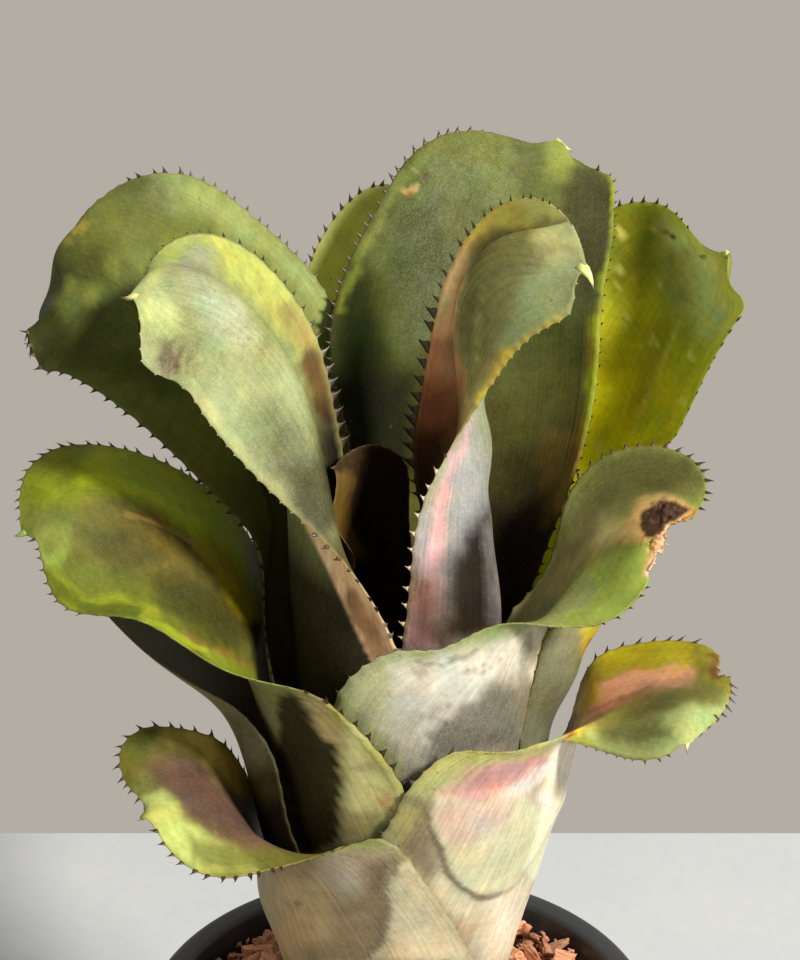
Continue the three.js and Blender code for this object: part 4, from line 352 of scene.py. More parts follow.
-1330,-851,4145,-1337,-847,4145,-1342,-842,4145,-1344,-837,4143,-1345,-831,4142,-1344,-827,4140,-1343,-823,4139,-1341,-821,4138,-1339,-819,4137,-1338,-817,4136,-1337,-817,4136,-1336,-817,4136,-1337,-817,4136,
-1348,-840,4133,-1348,-840,4133,-1348,-840,4133,-1349,-840,4133,-1349,-840,4133,-1349,-840,4133,-1349,-840,4133,-1349,-840,4133,-1349,-840,4133,-1349,-840,4133,-1349,-840,4133,-1348,-840,4133,-1348,-840,4133]},
    "leaf_front_right_lower": {"rows": 46, "cols": 13, "u": [0,19.6,39.3,59.2,79.2,99.2,119.2,139.1,159,178.9,198.7,218.6,238.5,258.3,278.2,298.1,318,337.6,357.1,376.7,397,418.6,444.3,471.6,499.1,528.5,560.1,591.2,621.2,650.4,679,707.9,738.1,770.3,801.9,831.7,860.5,889.1,915.1,933.3,948.1,960.8,971.9,982.2,991.9,1000], "p": [
-497,-287,2260,-388,-423,2260,-243,-520,2260,-75,-569,2260,100,-565,2260,265,-509,2260,406,-406,2260,509,-265,2260,565,-100,2260,569,75,2260,520,243,2260,423,388,2260,287,497,2260,
-494,-300,2366,-382,-433,2360,-236,-526,2356,-68,-572,2352,105,-566,2350,269,-509,2348,409,-405,2347,511,-264,2347,567,-99,2347,571,75,2349,522,243,2351,425,388,2355,289,498,2359,
-490,-312,2472,-376,-442,2461,-229,-533,2452,-61,-577,2445,112,-569,2439,276,-510,2436,415,-405,2433,517,-264,2433,572,-99,2434,576,76,2438,527,245,2442,431,391,2449,294,503,2457,
-486,-326,2578,-370,-454,2562,-221,-542,2548,-53,-583,2537,121,-574,2529,284,-513,2523,423,-407,2520,525,-265,2519,581,-98,2521,585,78,2526,536,248,2533,439,397,2543,303,510,2555,
-483,-344,2683,-363,-469,2661,-212,-555,2643,-43,-593,2629,132,-581,2618,295,-518,2610,434,-410,2606,536,-266,2605,592,-98,2608,596,80,2614,548,252,2624,451,403,2637,314,520,2653,
-481,-370,2787,-356,-491,2760,-202,-572,2738,-30,-606,2720,145,-590,2706,309,-525,2696,447,-415,2691,549,-269,2690,605,-99,2694,610,81,2701,563,256,2713,466,410,2730,328,531,2751,
-481,-403,2890,-348,-519,2858,-189,-594,2831,-15,-623,2810,161,-602,2793,324,-532,2782,463,-420,2776,564,-272,2774,620,-100,2779,626,82,2788,579,259,2802,484,418,2822,345,543,2847,
-479,-441,2992,-338,-551,2955,-174,-620,2924,3,-642,2899,179,-615,2880,342,-541,2866,480,-425,2859,581,-275,2858,637,-102,2863,644,82,2874,599,263,2891,504,425,2914,365,557,2943,
-474,-484,3092,-326,-586,3050,-157,-647,3015,22,-662,2987,199,-629,2965,362,-550,2951,498,-431,2943,599,-279,2942,656,-104,2947,663,82,2960,620,265,2979,526,433,3005,389,570,3038,
-466,-528,3190,-310,-622,3144,-136,-675,3105,44,-682,3074,221,-643,3051,383,-560,3034,518,-438,3026,618,-284,3025,675,-107,3031,684,81,3045,643,267,3067,552,439,3096,415,583,3133,
-452,-572,3287,-290,-657,3237,-113,-701,3195,69,-701,3161,245,-656,3135,405,-569,3118,539,-444,3109,639,-289,3108,697,-111,3115,707,79,3131,668,269,3155,579,445,3187,445,595,3227,
-432,-615,3383,-265,-691,3329,-87,-727,3284,95,-719,3247,270,-669,3220,428,-578,3201,561,-451,3192,660,-294,3191,719,-115,3199,731,76,3216,695,268,3242,610,449,3277,478,606,3321,
-406,-657,3477,-236,-724,3420,-57,-750,3372,124,-736,3333,297,-680,3304,453,-586,3285,584,-458,3275,683,-300,3274,742,-120,3283,756,72,3302,723,265,3330,642,449,3367,514,612,3414,
-373,-698,3569,-202,-754,3509,-23,-772,3459,156,-751,3419,326,-691,3389,479,-594,3369,608,-464,3359,705,-306,3358,765,-127,3368,782,65,3387,753,259,3416,676,446,3456,554,613,3505,
-334,-736,3659,-162,-782,3597,15,-791,3546,190,-763,3505,356,-699,3474,506,-600,3453,632,-469,3442,728,-312,3442,788,-135,3452,807,55,3472,782,249,3502,713,436,3543,598,607,3594,
-288,-773,3747,-118,-808,3684,56,-809,3632,227,-774,3591,389,-705,3559,534,-604,3538,656,-474,3527,749,-319,3526,809,-145,3536,831,41,3556,811,232,3586,749,418,3627,645,590,3678,
-238,-806,3833,-69,-831,3771,102,-824,3719,268,-783,3677,424,-710,3645,563,-607,3623,680,-478,3612,770,-326,3610,828,-158,3619,851,22,3638,837,205,3667,784,386,3706,694,555,3755,
-186,-836,3919,-17,-852,3857,150,-836,3806,312,-789,3764,461,-712,3731,593,-608,3709,703,-480,3696,788,-334,3693,843,-173,3699,867,-3,3715,858,169,3741,817,339,3777,742,499,3822,
-133,-863,4005,35,-870,3944,200,-846,3893,356,-792,3851,499,-710,3818,623,-606,3794,726,-481,3779,805,-340,3774,857,-189,3777,881,-31,3790,878,128,3811,847,284,3842,790,432,3882,
-83,-886,4094,86,-884,4034,249,-851,3983,401,-790,3940,537,-705,3906,653,-600,3880,749,-478,3863,822,-345,3854,870,-203,3854,896,-58,3862,898,87,3879,878,229,3904,837,363,3938,
-36,-906,4191,135,-894,4130,296,-852,4077,443,-785,4033,573,-696,3996,682,-591,3968,771,-472,3947,839,-345,3935,885,-213,3931,911,-79,3935,918,53,3947,908,181,3967,882,303,3995,
8,-921,4295,180,-900,4231,340,-850,4176,483,-776,4128,607,-683,4089,711,-577,4057,795,-460,4033,858,-338,4018,903,-213,4010,930,-88,4010,942,33,4018,940,151,4034,926,262,4058,
55,-932,4377,228,-900,4316,386,-840,4262,525,-760,4216,645,-662,4177,744,-554,4146,823,-437,4123,883,-317,4107,927,-196,4098,955,-77,4097,970,39,4104,975,151,4118,970,257,4140,
113,-934,4448,284,-891,4387,438,-822,4333,572,-735,4288,685,-633,4251,779,-521,4221,854,-404,4200,911,-285,4187,952,-166,4182,980,-49,4185,997,64,4196,1004,172,4215,1004,274,4241,
182,-927,4514,347,-874,4447,494,-798,4391,622,-704,4344,729,-598,4308,818,-484,4282,888,-366,4265,941,-247,4258,980,-130,4260,1007,-16,4271,1023,93,4290,1031,196,4318,1033,293,4353,
263,-914,4558,418,-851,4486,556,-767,4428,676,-667,4383,778,-558,4351,862,-442,4331,928,-323,4322,980,-205,4324,1017,-91,4336,1043,20,4357,1060,123,4385,1068,220,4422,1072,310,4465,
356,-895,4560,497,-820,4493,624,-728,4441,736,-625,4404,833,-513,4382,913,-398,4372,979,-282,4374,1031,-167,4387,1071,-57,4408,1100,48,4437,1120,146,4472,1133,236,4512,1140,319,4556,
448,-867,4535,577,-780,4482,694,-683,4445,799,-579,4421,891,-470,4411,971,-360,4411,1038,-251,4422,1094,-144,4441,1139,-41,4467,1175,57,4499,1203,149,4534,1223,235,4573,1237,313,4613,
535,-823,4512,655,-733,4477,765,-637,4455,865,-537,4444,955,-436,4443,1034,-334,4451,1103,-234,4467,1163,-136,4489,1214,-41,4516,1256,49,4547,1291,134,4581,1319,214,4617,1341,288,4653,
616,-766,4499,731,-680,4479,837,-591,4470,934,-500,4469,1022,-409,4476,1101,-318,4490,1172,-228,4509,1234,-141,4533,1289,-56,4560,1337,25,4590,1377,101,4622,1412,174,4655,1441,241,4689,
692,-700,4488,803,-625,4483,907,-547,4485,1002,-468,4494,1090,-388,4507,1169,-310,4526,1241,-232,4548,1306,-156,4573,1364,-83,4601,1415,-13,4630,1460,54,4660,1499,118,4691,1534,178,4721,
766,-633,4473,875,-570,4483,977,-506,4497,1071,-441,4515,1158,-375,4536,1237,-310,4559,1310,-246,4584,1376,-183,4610,1435,-122,4637,1489,-63,4665,1537,-6,4693,1580,48,4721,1617,100,4748,
843,-577,4454,948,-527,4481,1047,-477,4508,1140,-425,4535,1225,-374,4562,1305,-323,4590,1377,-273,4617,1444,-223,4643,1505,-174,4669,1559,-127,4695,1608,-81,4719,1652,-37,4743,1690,5,4766,
924,-562,4438,1025,-521,4479,1120,-479,4518,1209,-438,4553,1292,-397,4587,1369,-357,4617,1441,-318,4645,1506,-280,4671,1566,-243,4694,1620,-207,4715,1668,-172,4733,1710,-138,4749,1747,-106,4763,
1004,-600,4430,1098,-561,4484,1187,-523,4532,1271,-485,4573,1350,-449,4609,1423,-414,4640,1491,-380,4666,1554,-348,4688,1610,-319,4706,1661,-291,4719,1706,-265,4729,1746,-242,4735,1780,-221,4739,
1079,-665,4431,1159,-626,4500,1238,-587,4556,1316,-550,4600,1391,-514,4634,1462,-481,4660,1527,-451,4679,1587,-424,4691,1640,-399,4699,1687,-378,4704,1728,-360,4706,1761,-345,4707,1788,-333,4706,
1150,-740,4441,1214,-698,4516,1283,-657,4575,1353,-619,4619,1423,-585,4650,1489,-554,4671,1550,-527,4683,1605,-504,4688,1653,-485,4689,1694,-469,4686,1728,-457,4682,1755,-447,4678,1774,-441,4674,
1220,-813,4459,1267,-770,4534,1324,-729,4592,1385,-691,4632,1447,-658,4659,1506,-630,4673,1560,-606,4679,1608,-588,4678,1649,-573,4673,1682,-562,4666,1708,-554,4659,1726,-548,4653,1737,-545,4649,
1283,-868,4485,1316,-827,4552,1362,-788,4602,1413,-753,4636,1465,-723,4657,1514,-698,4666,1559,-678,4667,1597,-663,4663,1629,-652,4657,1654,-645,4649,1671,-640,4643,1682,-637,4638,1686,-636,4637,
1325,-895,4508,1352,-858,4564,1389,-823,4606,1431,-791,4634,1474,-765,4649,1515,-744,4655,1551,-727,4655,1582,-715,4650,1606,-707,4644,1624,-701,4638,1636,-698,4633,1643,-696,4630,1643,-696,4630,
1359,-909,4530,1381,-876,4575,1411,-846,4607,1445,-819,4628,1480,-796,4639,1512,-779,4642,1541,-765,4641,1564,-756,4637,1583,-749,4632,1596,-745,4628,1604,-742,4624,1607,-741,4623,1605,-742,4624,
1388,-914,4553,1406,-886,4584,1431,-861,4607,1457,-839,4620,1483,-821,4627,1508,-807,4629,1529,-796,4628,1546,-789,4625,1559,-784,4621,1568,-780,4618,1574,-779,4616,1575,-778,4616,1572,-779,4617,
1413,-912,4576,1429,-890,4593,1447,-870,4605,1466,-854,4611,1485,-840,4615,1501,-830,4615,1516,-822,4614,1527,-817,4612,1536,-813,4610,1542,-811,4608,1545,-809,4607,1545,-809,4607,1543,-810,4608,
1435,-905,4594,1449,-891,4596,1462,-878,4598,1474,-867,4599,1485,-858,4599,1494,-851,4600,1502,-845,4600,1508,-840,4600,1513,-837,4599,1516,-835,4599,1518,-835,4598,1518,-835,4598,1516,-837,4598,
1456,-894,4595,1463,-887,4592,1469,-881,4590,1474,-876,4588,1479,-871,4587,1483,-868,4586,1487,-865,4585,1489,-862,4584,1491,-861,4584,1493,-860,4584,1493,-860,4584,1493,-860,4584,1492,-861,4585,
1473,-880,4572,1473,-880,4572,1473,-880,4572,1473,-880,4572,1473,-880,4572,1473,-880,4572,1473,-880,4572,1473,-880,4572,1473,-880,4572,1473,-880,4572,1473,-880,4572,1473,-880,4572,1473,-880,4572]},
    "leaf_left_lower": {"rows": 46, "cols": 13, "u": [0,20.9,42,63.3,84.7,106.1,127.5,149,170.4,191.7,213,234.2,255.4,276.4,297.4,318.4,339.5,360.8,382.1,403.4,425.1,447.1,469.4,492.4,517.8,545.4,573.8,602.6,631.5,660.4,689.6,719.4,749.9,780.5,810.8,840.4,869.6,898.5,921.3,937.7,951.2,962.9,973.4,983,991.8,1000], "p": [
-138,-516,2260,-259,-467,2260,-365,-390,2260,-449,-289,2260,-506,-170,2260,-533,-40,2260,-526,93,2260,-487,220,2260,-416,334,2260,-320,428,2260,-202,494,2260,-71,529,2260,65,530,2260,
-144,-516,2367,-264,-465,2363,-367,-387,2359,-449,-286,2356,-505,-167,2353,-530,-39,2351,-523,92,2349,-484,218,2348,-415,331,2347,-320,424,2347,-204,491,2347,-75,527,2347,60,529,2348,
-153,-517,2474,-271,-464,2466,-373,-385,2459,-453,-283,2452,-507,-165,2447,-531,-37,2442,-524,93,2439,-485,218,2436,-417,330,2434,-323,422,2433,-209,490,2434,-81,527,2435,53,532,2437,
-164,-519,2581,-280,-464,2569,-381,-383,2558,-460,-281,2548,-512,-163,2540,-536,-36,2533,-528,94,2528,-489,218,2524,-422,330,2521,-329,423,2520,-217,491,2520,-90,530,2522,42,537,2525,
-177,-523,2688,-293,-466,2671,-392,-383,2656,-470,-280,2643,-521,-161,2632,-544,-34,2623,-536,96,2616,-497,220,2611,-430,332,2608,-339,425,2606,-227,495,2607,-102,535,2609,30,545,2613,
-193,-530,2793,-309,-469,2772,-407,-385,2754,-483,-280,2738,-533,-160,2724,-555,-32,2713,-546,98,2704,-508,223,2698,-442,335,2694,-351,429,2692,-241,500,2693,-116,543,2696,15,556,2701,
-212,-539,2898,-327,-475,2873,-425,-387,2851,-500,-280,2832,-549,-159,2816,-569,-30,2802,-560,101,2792,-521,226,2784,-456,339,2779,-366,434,2777,-256,507,2778,-133,553,2782,-2,569,2789,
-234,-551,3002,-349,-483,2973,-445,-391,2948,-519,-281,2926,-566,-158,2907,-586,-28,2891,-576,104,2879,-537,229,2870,-471,343,2864,-382,440,2862,-274,515,2863,-151,563,2868,-21,584,2876,
-259,-566,3106,-374,-493,3073,-469,-397,3044,-541,-283,3018,-587,-158,2997,-604,-26,2979,-593,106,2965,-554,233,2955,-489,348,2949,-401,446,2947,-293,523,2948,-172,575,2953,-41,600,2962,
-288,-583,3208,-401,-503,3171,-495,-403,3139,-565,-286,3111,-608,-158,3087,-625,-24,3067,-613,109,3052,-573,237,3040,-508,353,3033,-421,453,3031,-314,532,3032,-194,588,3038,-63,617,3048,
-319,-600,3310,-431,-514,3269,-523,-409,3234,-590,-288,3203,-632,-158,3176,-646,-23,3155,-633,112,3137,-593,240,3125,-529,358,3117,-442,459,3114,-337,542,3116,-217,601,3122,-87,636,3133,
-354,-617,3411,-464,-524,3367,-552,-414,3328,-617,-290,3294,-656,-157,3266,-668,-21,3242,-654,114,3223,-614,243,3210,-550,362,3201,-465,466,3197,-361,551,3199,-242,615,3206,-112,654,3217,
-391,-631,3511,-498,-533,3464,-583,-418,3422,-644,-291,3386,-680,-157,3355,-691,-20,3329,-676,116,3309,-636,246,3294,-573,366,3284,-488,471,3281,-385,560,3282,-267,628,3289,-138,673,3301,
-433,-643,3611,-534,-539,3561,-615,-420,3516,-672,-291,3477,-705,-156,3444,-713,-19,3416,-697,117,3394,-658,247,3378,-595,368,3368,-513,476,3363,-411,568,3365,-294,641,3371,-164,691,3384,
-477,-651,3711,-572,-542,3657,-647,-420,3610,-699,-290,3568,-729,-155,3533,-735,-18,3503,-718,118,3480,-679,248,3463,-618,370,3451,-537,480,3446,-438,575,3447,-321,653,3454,-192,709,3466,
-520,-655,3810,-608,-542,3754,-677,-419,3704,-725,-288,3660,-751,-154,3623,-756,-17,3591,-739,118,3566,-701,248,3548,-642,371,3535,-562,483,3529,-464,582,3529,-349,664,3536,-220,726,3549,
-558,-655,3910,-640,-540,3851,-704,-417,3799,-748,-287,3753,-772,-153,3713,-776,-18,3680,-760,117,3654,-723,247,3633,-665,371,3620,-588,485,3613,-492,588,3612,-378,674,3618,-248,743,3631,
-588,-651,4011,-665,-537,3950,-726,-415,3895,-768,-286,3846,-792,-153,3805,-796,-19,3770,-780,115,3742,-745,246,3720,-690,371,3705,-614,488,3697,-520,593,3696,-408,684,3701,-278,757,3713,
-607,-644,4113,-683,-532,4049,-742,-412,3991,-785,-286,3941,-809,-155,3897,-815,-21,3860,-802,113,3830,-768,244,3807,-715,371,3791,-642,490,3782,-550,599,3779,-438,693,3784,-310,770,3795,
-624,-633,4216,-698,-525,4149,-757,-409,4089,-800,-285,4035,-827,-156,3989,-835,-24,3950,-824,110,3919,-793,242,3894,-742,370,3876,-671,491,3866,-581,602,3862,-471,700,3866,-344,781,3876,
-646,-613,4316,-716,-511,4246,-774,-400,4184,-818,-281,4129,-845,-155,4081,-855,-26,4040,-847,107,4006,-819,239,3980,-771,368,3961,-703,490,3949,-614,604,3945,-506,704,3948,-380,788,3958,
-682,-579,4407,-745,-485,4336,-799,-382,4273,-840,-270,4217,-867,-150,4168,-878,-25,4127,-872,103,4093,-847,233,4066,-802,361,4046,-737,485,4033,-652,600,4028,-546,703,4030,-421,790,4039,
-740,-526,4480,-791,-443,4412,-835,-350,4351,-870,-248,4296,-893,-139,4249,-904,-22,4208,-899,100,4175,-876,225,4148,-835,350,4129,-774,473,4116,-692,589,4110,-589,695,4112,-466,785,4120,
-810,-470,4539,-848,-397,4475,-881,-315,4418,-908,-224,4367,-926,-125,4322,-934,-17,4284,-928,96,4253,-907,215,4228,-869,335,4210,-812,455,4198,-735,570,4193,-636,677,4194,-518,771,4202,
-880,-439,4590,-908,-370,4532,-934,-293,4480,-953,-208,4434,-966,-115,4394,-970,-14,4359,-962,93,4331,-941,205,4309,-905,319,4293,-852,434,4283,-780,546,4279,-689,651,4282,-579,745,4290,
-942,-441,4635,-967,-369,4584,-988,-290,4539,-1004,-204,4498,-1012,-112,4463,-1012,-14,4433,-1001,89,4408,-979,196,4389,-944,305,4376,-894,413,4369,-829,519,4368,-749,620,4373,-652,712,4384,
-1000,-464,4679,-1025,-384,4634,-1044,-298,4594,-1056,-208,4558,-1061,-113,4527,-1057,-15,4501,-1044,87,4480,-1020,190,4465,-986,293,4456,-941,396,4452,-883,496,4455,-814,591,4464,-733,681,4480,
-1059,-491,4728,-1082,-402,4685,-1099,-310,4647,-1108,-214,4614,-1110,-116,4586,-1103,-16,4564,-1088,85,4547,-1065,186,4536,-1033,287,4532,-992,386,4533,-943,481,4541,-885,573,4555,-818,660,4576,
-1118,-519,4780,-1139,-423,4736,-1152,-325,4699,-1159,-223,4667,-1158,-121,4642,-1150,-18,4623,-1135,85,4610,-1113,187,4604,-1084,288,4605,-1049,386,4612,-1008,481,4625,-960,573,4645,-907,660,4671,
-1178,-544,4834,-1193,-443,4788,-1203,-340,4750,-1207,-234,4719,-1205,-127,4695,-1197,-20,4679,-1183,86,4670,-1164,192,4669,-1140,295,4675,-1111,396,4688,-1077,493,4708,-1039,587,4734,-997,676,4766,
-1237,-563,4889,-1248,-459,4841,-1253,-352,4801,-1255,-242,4770,-1252,-132,4748,-1244,-22,4734,-1233,88,4729,-1218,197,4732,-1199,304,4743,-1176,408,4761,-1150,508,4787,-1122,605,4820,-1090,697,4860,
-1298,-571,4944,-1303,-466,4894,-1305,-357,4853,-1304,-246,4822,-1300,-134,4801,-1294,-22,4789,-1285,90,4786,-1274,201,4793,-1260,309,4808,-1244,415,4833,-1226,517,4865,-1206,616,4905,-1185,709,4953,
-1359,-565,4999,-1359,-461,4947,-1358,-354,4905,-1355,-244,4874,-1351,-133,4853,-1346,-21,4843,-1340,90,4843,-1332,200,4853,-1324,308,4873,-1314,413,4902,-1304,513,4941,-1293,609,4987,-1282,700,5042,
-1419,-543,5051,-1415,-445,4997,-1411,-342,4955,-1407,-236,4924,-1403,-128,4904,-1399,-20,4895,-1395,88,4898,-1392,194,4911,-1388,297,4935,-1385,397,4969,-1382,492,5012,-1380,582,5064,-1378,666,5124,
-1478,-508,5098,-1470,-417,5044,-1464,-322,5002,-1458,-223,4971,-1455,-122,4952,-1452,-20,4946,-1451,81,4951,-1451,180,4967,-1453,276,4995,-1455,367,5032,-1459,452,5079,-1464,532,5134,-1470,603,5198,
-1533,-463,5139,-1523,-383,5086,-1515,-297,5045,-1509,-207,5015,-1505,-114,4998,-1504,-22,4994,-1506,70,5001,-1509,159,5020,-1515,243,5050,-1523,323,5090,-1533,395,5138,-1544,460,5195,-1556,517,5258,
-1587,-410,5175,-1574,-342,5125,-1565,-268,5085,-1559,-189,5058,-1556,-108,5043,-1556,-27,5040,-1560,53,5050,-1567,130,5070,-1576,201,5101,-1587,266,5141,-1601,324,5189,-1616,373,5244,-1633,413,5304,
-1638,-351,5206,-1624,-298,5160,-1615,-237,5124,-1609,-172,5100,-1607,-104,5088,-1608,-36,5087,-1614,30,5097,-1622,92,5118,-1634,149,5147,-1648,199,5185,-1663,241,5230,-1681,274,5280,-1699,298,5334,
-1677,-301,5225,-1664,-260,5186,-1655,-212,5155,-1649,-159,5135,-1648,-103,5124,-1650,-48,5124,-1656,6,5134,-1665,56,5153,-1677,100,5180,-1691,138,5214,-1707,168,5254,-1724,190,5297,-1741,203,5343,
-1704,-264,5237,-1692,-232,5203,-1684,-193,5177,-1679,-150,5160,-1678,-104,5151,-1681,-58,5151,-1686,-14,5160,-1695,26,5177,-1706,62,5201,-1720,91,5231,-1734,113,5265,-1750,127,5303,-1765,133,5341,
-1726,-233,5245,-1716,-208,5217,-1709,-177,5196,-1704,-143,5181,-1704,-106,5174,-1706,-69,5174,-1711,-33,5182,-1719,-1,5197,-1729,27,5217,-1741,49,5242,-1754,65,5271,-1768,74,5302,-1781,75,5334,
-1744,-206,5250,-1736,-187,5229,-1730,-164,5212,-1727,-137,5200,-1726,-108,5194,-1728,-79,5194,-1733,-52,5201,-1740,-26,5213,-1748,-5,5229,-1758,11,5250,-1769,22,5273,-1780,27,5298,-1791,26,5323,
-1760,-181,5254,-1754,-168,5238,-1750,-151,5226,-1747,-132,5217,-1747,-111,5213,-1748,-90,5213,-1752,-69,5218,-1757,-51,5227,-1764,-36,5239,-1772,-24,5255,-1781,-17,5273,-1789,-14,5291,-1798,-17,5310,
-1775,-159,5257,-1771,-151,5247,-1768,-140,5238,-1766,-127,5232,-1766,-114,5229,-1767,-100,5230,-1769,-86,5233,-1773,-74,5239,-1778,-65,5248,-1783,-57,5258,-1789,-53,5270,-1795,-52,5283,-1801,-55,5295,
-1788,-139,5259,-1786,-135,5254,-1784,-130,5250,-1784,-123,5247,-1783,-117,5245,-1784,-110,5245,-1785,-103,5247,-1787,-97,5250,-1790,-93,5254,-1793,-89,5260,-1796,-87,5266,-1799,-87,5272,-1801,-89,5278,
-1800,-120,5260,-1800,-120,5260,-1800,-120,5260,-1800,-120,5260,-1800,-120,5260,-1800,-120,5260,-1800,-120,5260,-1800,-120,5260,-1800,-120,5260,-1800,-120,5260,-1800,-120,5260,-1800,-120,5260,-1800,-120,5260]},
    "leaf_left": {"rows": 46, "cols": 13, "u": [0,21,42.2,63.4,84.6,105.8,127,148.1,169.3,190.4,211.5,232.7,253.9,275,296.1,317.1,338.1,359.2,380.4,402.3,425.5,450.6,477.6,505.9,534.8,564,593,621.4,649.5,677.4,705.5,733.6,761.3,789,817.2,846.3,875.8,904.5,925.4,941,954,965.3,975.3,984.4,992.5,1000], "p": [
262,-419,2260,111,-482,2260,-53,-491,2260,-210,-447,2260,-344,-355,2260,-440,-224,2260,-489,-69,2260,-485,93,2260,-429,245,2260,-327,371,2260,-190,456,2260,-33,493,2260,128,477,2260,
255,-416,2399,106,-478,2391,-56,-487,2384,-212,-443,2377,-346,-351,2372,-441,-220,2368,-489,-66,2366,-485,96,2364,-428,247,2363,-326,372,2364,-189,456,2365,-33,493,2368,126,477,2372,
255,-423,2537,103,-484,2521,-62,-492,2507,-219,-446,2495,-352,-351,2485,-447,-219,2477,-494,-63,2472,-488,99,2468,-431,250,2467,-329,374,2468,-194,459,2471,-39,496,2477,119,483,2484,
261,-440,2673,100,-500,2649,-69,-504,2629,-229,-453,2612,-363,-354,2597,-457,-218,2586,-502,-60,2578,-495,102,2573,-438,253,2571,-337,377,2573,-203,463,2577,-50,504,2585,106,495,2595,
268,-465,2807,98,-523,2777,-80,-522,2750,-244,-464,2728,-378,-358,2709,-471,-218,2695,-514,-58,2684,-505,106,2678,-447,257,2675,-348,381,2677,-216,469,2682,-67,514,2692,89,513,2705,
277,-496,2940,93,-551,2903,-93,-543,2871,-261,-477,2844,-397,-364,2821,-487,-218,2803,-528,-54,2791,-517,110,2782,-459,261,2779,-361,386,2781,-233,477,2787,-87,527,2798,67,534,2814,
284,-531,3071,86,-582,3028,-110,-565,2991,-282,-490,2959,-418,-369,2932,-506,-217,2912,-544,-51,2896,-531,115,2887,-473,266,2882,-377,392,2884,-253,485,2891,-110,541,2903,40,558,2921,
287,-570,3202,75,-614,3153,-130,-588,3110,-306,-503,3074,-441,-373,3044,-526,-215,3020,-561,-46,3002,-546,120,2990,-489,271,2985,-395,398,2986,-275,494,2993,-136,556,3007,11,583,3027,
284,-610,3333,58,-647,3278,-154,-610,3230,-333,-513,3189,-466,-375,3155,-548,-211,3128,-579,-40,3107,-562,127,3094,-505,278,3087,-414,405,3088,-298,504,3095,-165,572,3110,-23,608,3131,
275,-651,3464,36,-677,3403,-182,-628,3350,-361,-521,3304,-492,-374,3266,-569,-206,3236,-597,-32,3213,-578,134,3197,-521,284,3189,-434,412,3189,-323,514,3196,-196,587,3211,-59,633,3233,
258,-692,3595,9,-706,3528,-214,-644,3470,-392,-525,3420,-518,-370,3378,-591,-198,3344,-614,-23,3318,-594,142,3300,-537,291,3291,-453,419,3290,-348,522,3297,-228,601,3312,-98,656,3335,
234,-733,3725,-25,-732,3653,-250,-655,3590,-425,-525,3535,-545,-362,3489,-612,-187,3452,-630,-12,3423,-608,152,3404,-552,299,3392,-472,425,3390,-373,530,3396,-261,613,3411,-140,675,3435,
202,-772,3855,-64,-755,3777,-289,-662,3709,-459,-520,3650,-572,-350,3600,-632,-172,3560,-645,2,3529,-620,162,3506,-566,306,3494,-489,430,3490,-398,535,3496,-295,621,3510,-185,690,3534,
164,-810,3983,-109,-773,3900,-332,-664,3827,-495,-510,3764,-599,-334,3711,-650,-154,3667,-657,18,3633,-629,174,3609,-576,313,3595,-505,434,3590,-422,537,3595,-330,624,3609,-234,699,3633,
123,-844,4109,-155,-787,4022,-375,-661,3945,-531,-495,3878,-624,-313,3821,-666,-132,3775,-666,36,3738,-636,188,3712,-584,320,3696,-519,436,3690,-445,536,3694,-367,623,3708,-287,701,3732,
80,-873,4233,-203,-796,4142,-419,-652,4061,-565,-474,3990,-648,-286,3930,-679,-106,3881,-672,58,3842,-639,203,3814,-590,328,3796,-532,437,3789,-469,533,3793,-407,618,3807,-347,697,3831,
31,-894,4355,-255,-797,4259,-465,-635,4174,-600,-446,4101,-670,-255,4038,-691,-76,3986,-678,83,3945,-643,220,3915,-596,338,3896,-545,440,3888,-495,530,3891,-450,611,3905,-412,688,3930,
-31,-907,4475,-314,-788,4375,-514,-610,4286,-636,-412,4208,-693,-218,4142,-704,-42,4088,-685,112,4045,-648,242,4014,-604,352,3994,-560,447,3985,-521,530,3988,-491,605,4003,-474,676,4029,
-111,-911,4592,-384,-768,4487,-569,-576,4394,-675,-371,4313,-720,-176,4244,-721,-3,4187,-695,144,4142,-657,268,4110,-614,371,4089,-576,458,4081,-545,534,4085,-528,602,4101,-527,664,4129,
-207,-905,4702,-462,-740,4593,-628,-537,4497,-717,-328,4413,-747,-134,4342,-739,35,4284,-708,177,4239,-667,294,4206,-625,391,4186,-590,471,4179,-564,540,4184,-554,601,4202,-562,654,4233,
-317,-893,4797,-545,-706,4687,-686,-494,4591,-756,-285,4508,-773,-95,4438,-756,67,4381,-720,203,4337,-676,313,4306,-634,404,4287,-600,480,4282,-576,543,4290,-568,598,4310,-579,646,4343,
-433,-876,4860,-625,-671,4756,-737,-455,4665,-787,-249,4589,-792,-65,4526,-768,91,4476,-730,220,4438,-687,326,4413,-647,412,4400,-614,484,4399,-593,544,4409,-587,595,4430,-598,637,4463,
-548,-858,4890,-695,-642,4795,-777,-425,4715,-807,-225,4652,-803,-48,4603,-777,102,4566,-741,227,4542,-702,330,4529,-667,415,4525,-639,484,4530,-622,542,4543,-617,589,4564,-628,628,4592,
-655,-845,4908,-753,-624,4821,-802,-411,4754,-817,-217,4706,-807,-45,4674,-783,101,4655,-753,225,4647,-723,328,4648,-696,413,4655,-675,483,4668,-662,539,4685,-660,584,4705,-670,618,4727,
-756,-840,4932,-801,-622,4850,-820,-415,4794,-820,-226,4760,-809,-58,4744,-791,88,4742,-771,213,4750,-751,319,4765,-734,406,4785,-722,478,4807,-714,535,4828,-713,578,4849,-720,609,4867,
-851,-842,4966,-848,-632,4889,-840,-433,4842,-829,-249,4820,-817,-82,4817,-806,66,4829,-795,194,4851,-787,303,4879,-780,395,4909,-775,469,4939,-773,528,4967,-773,572,4990,-776,601,5007,
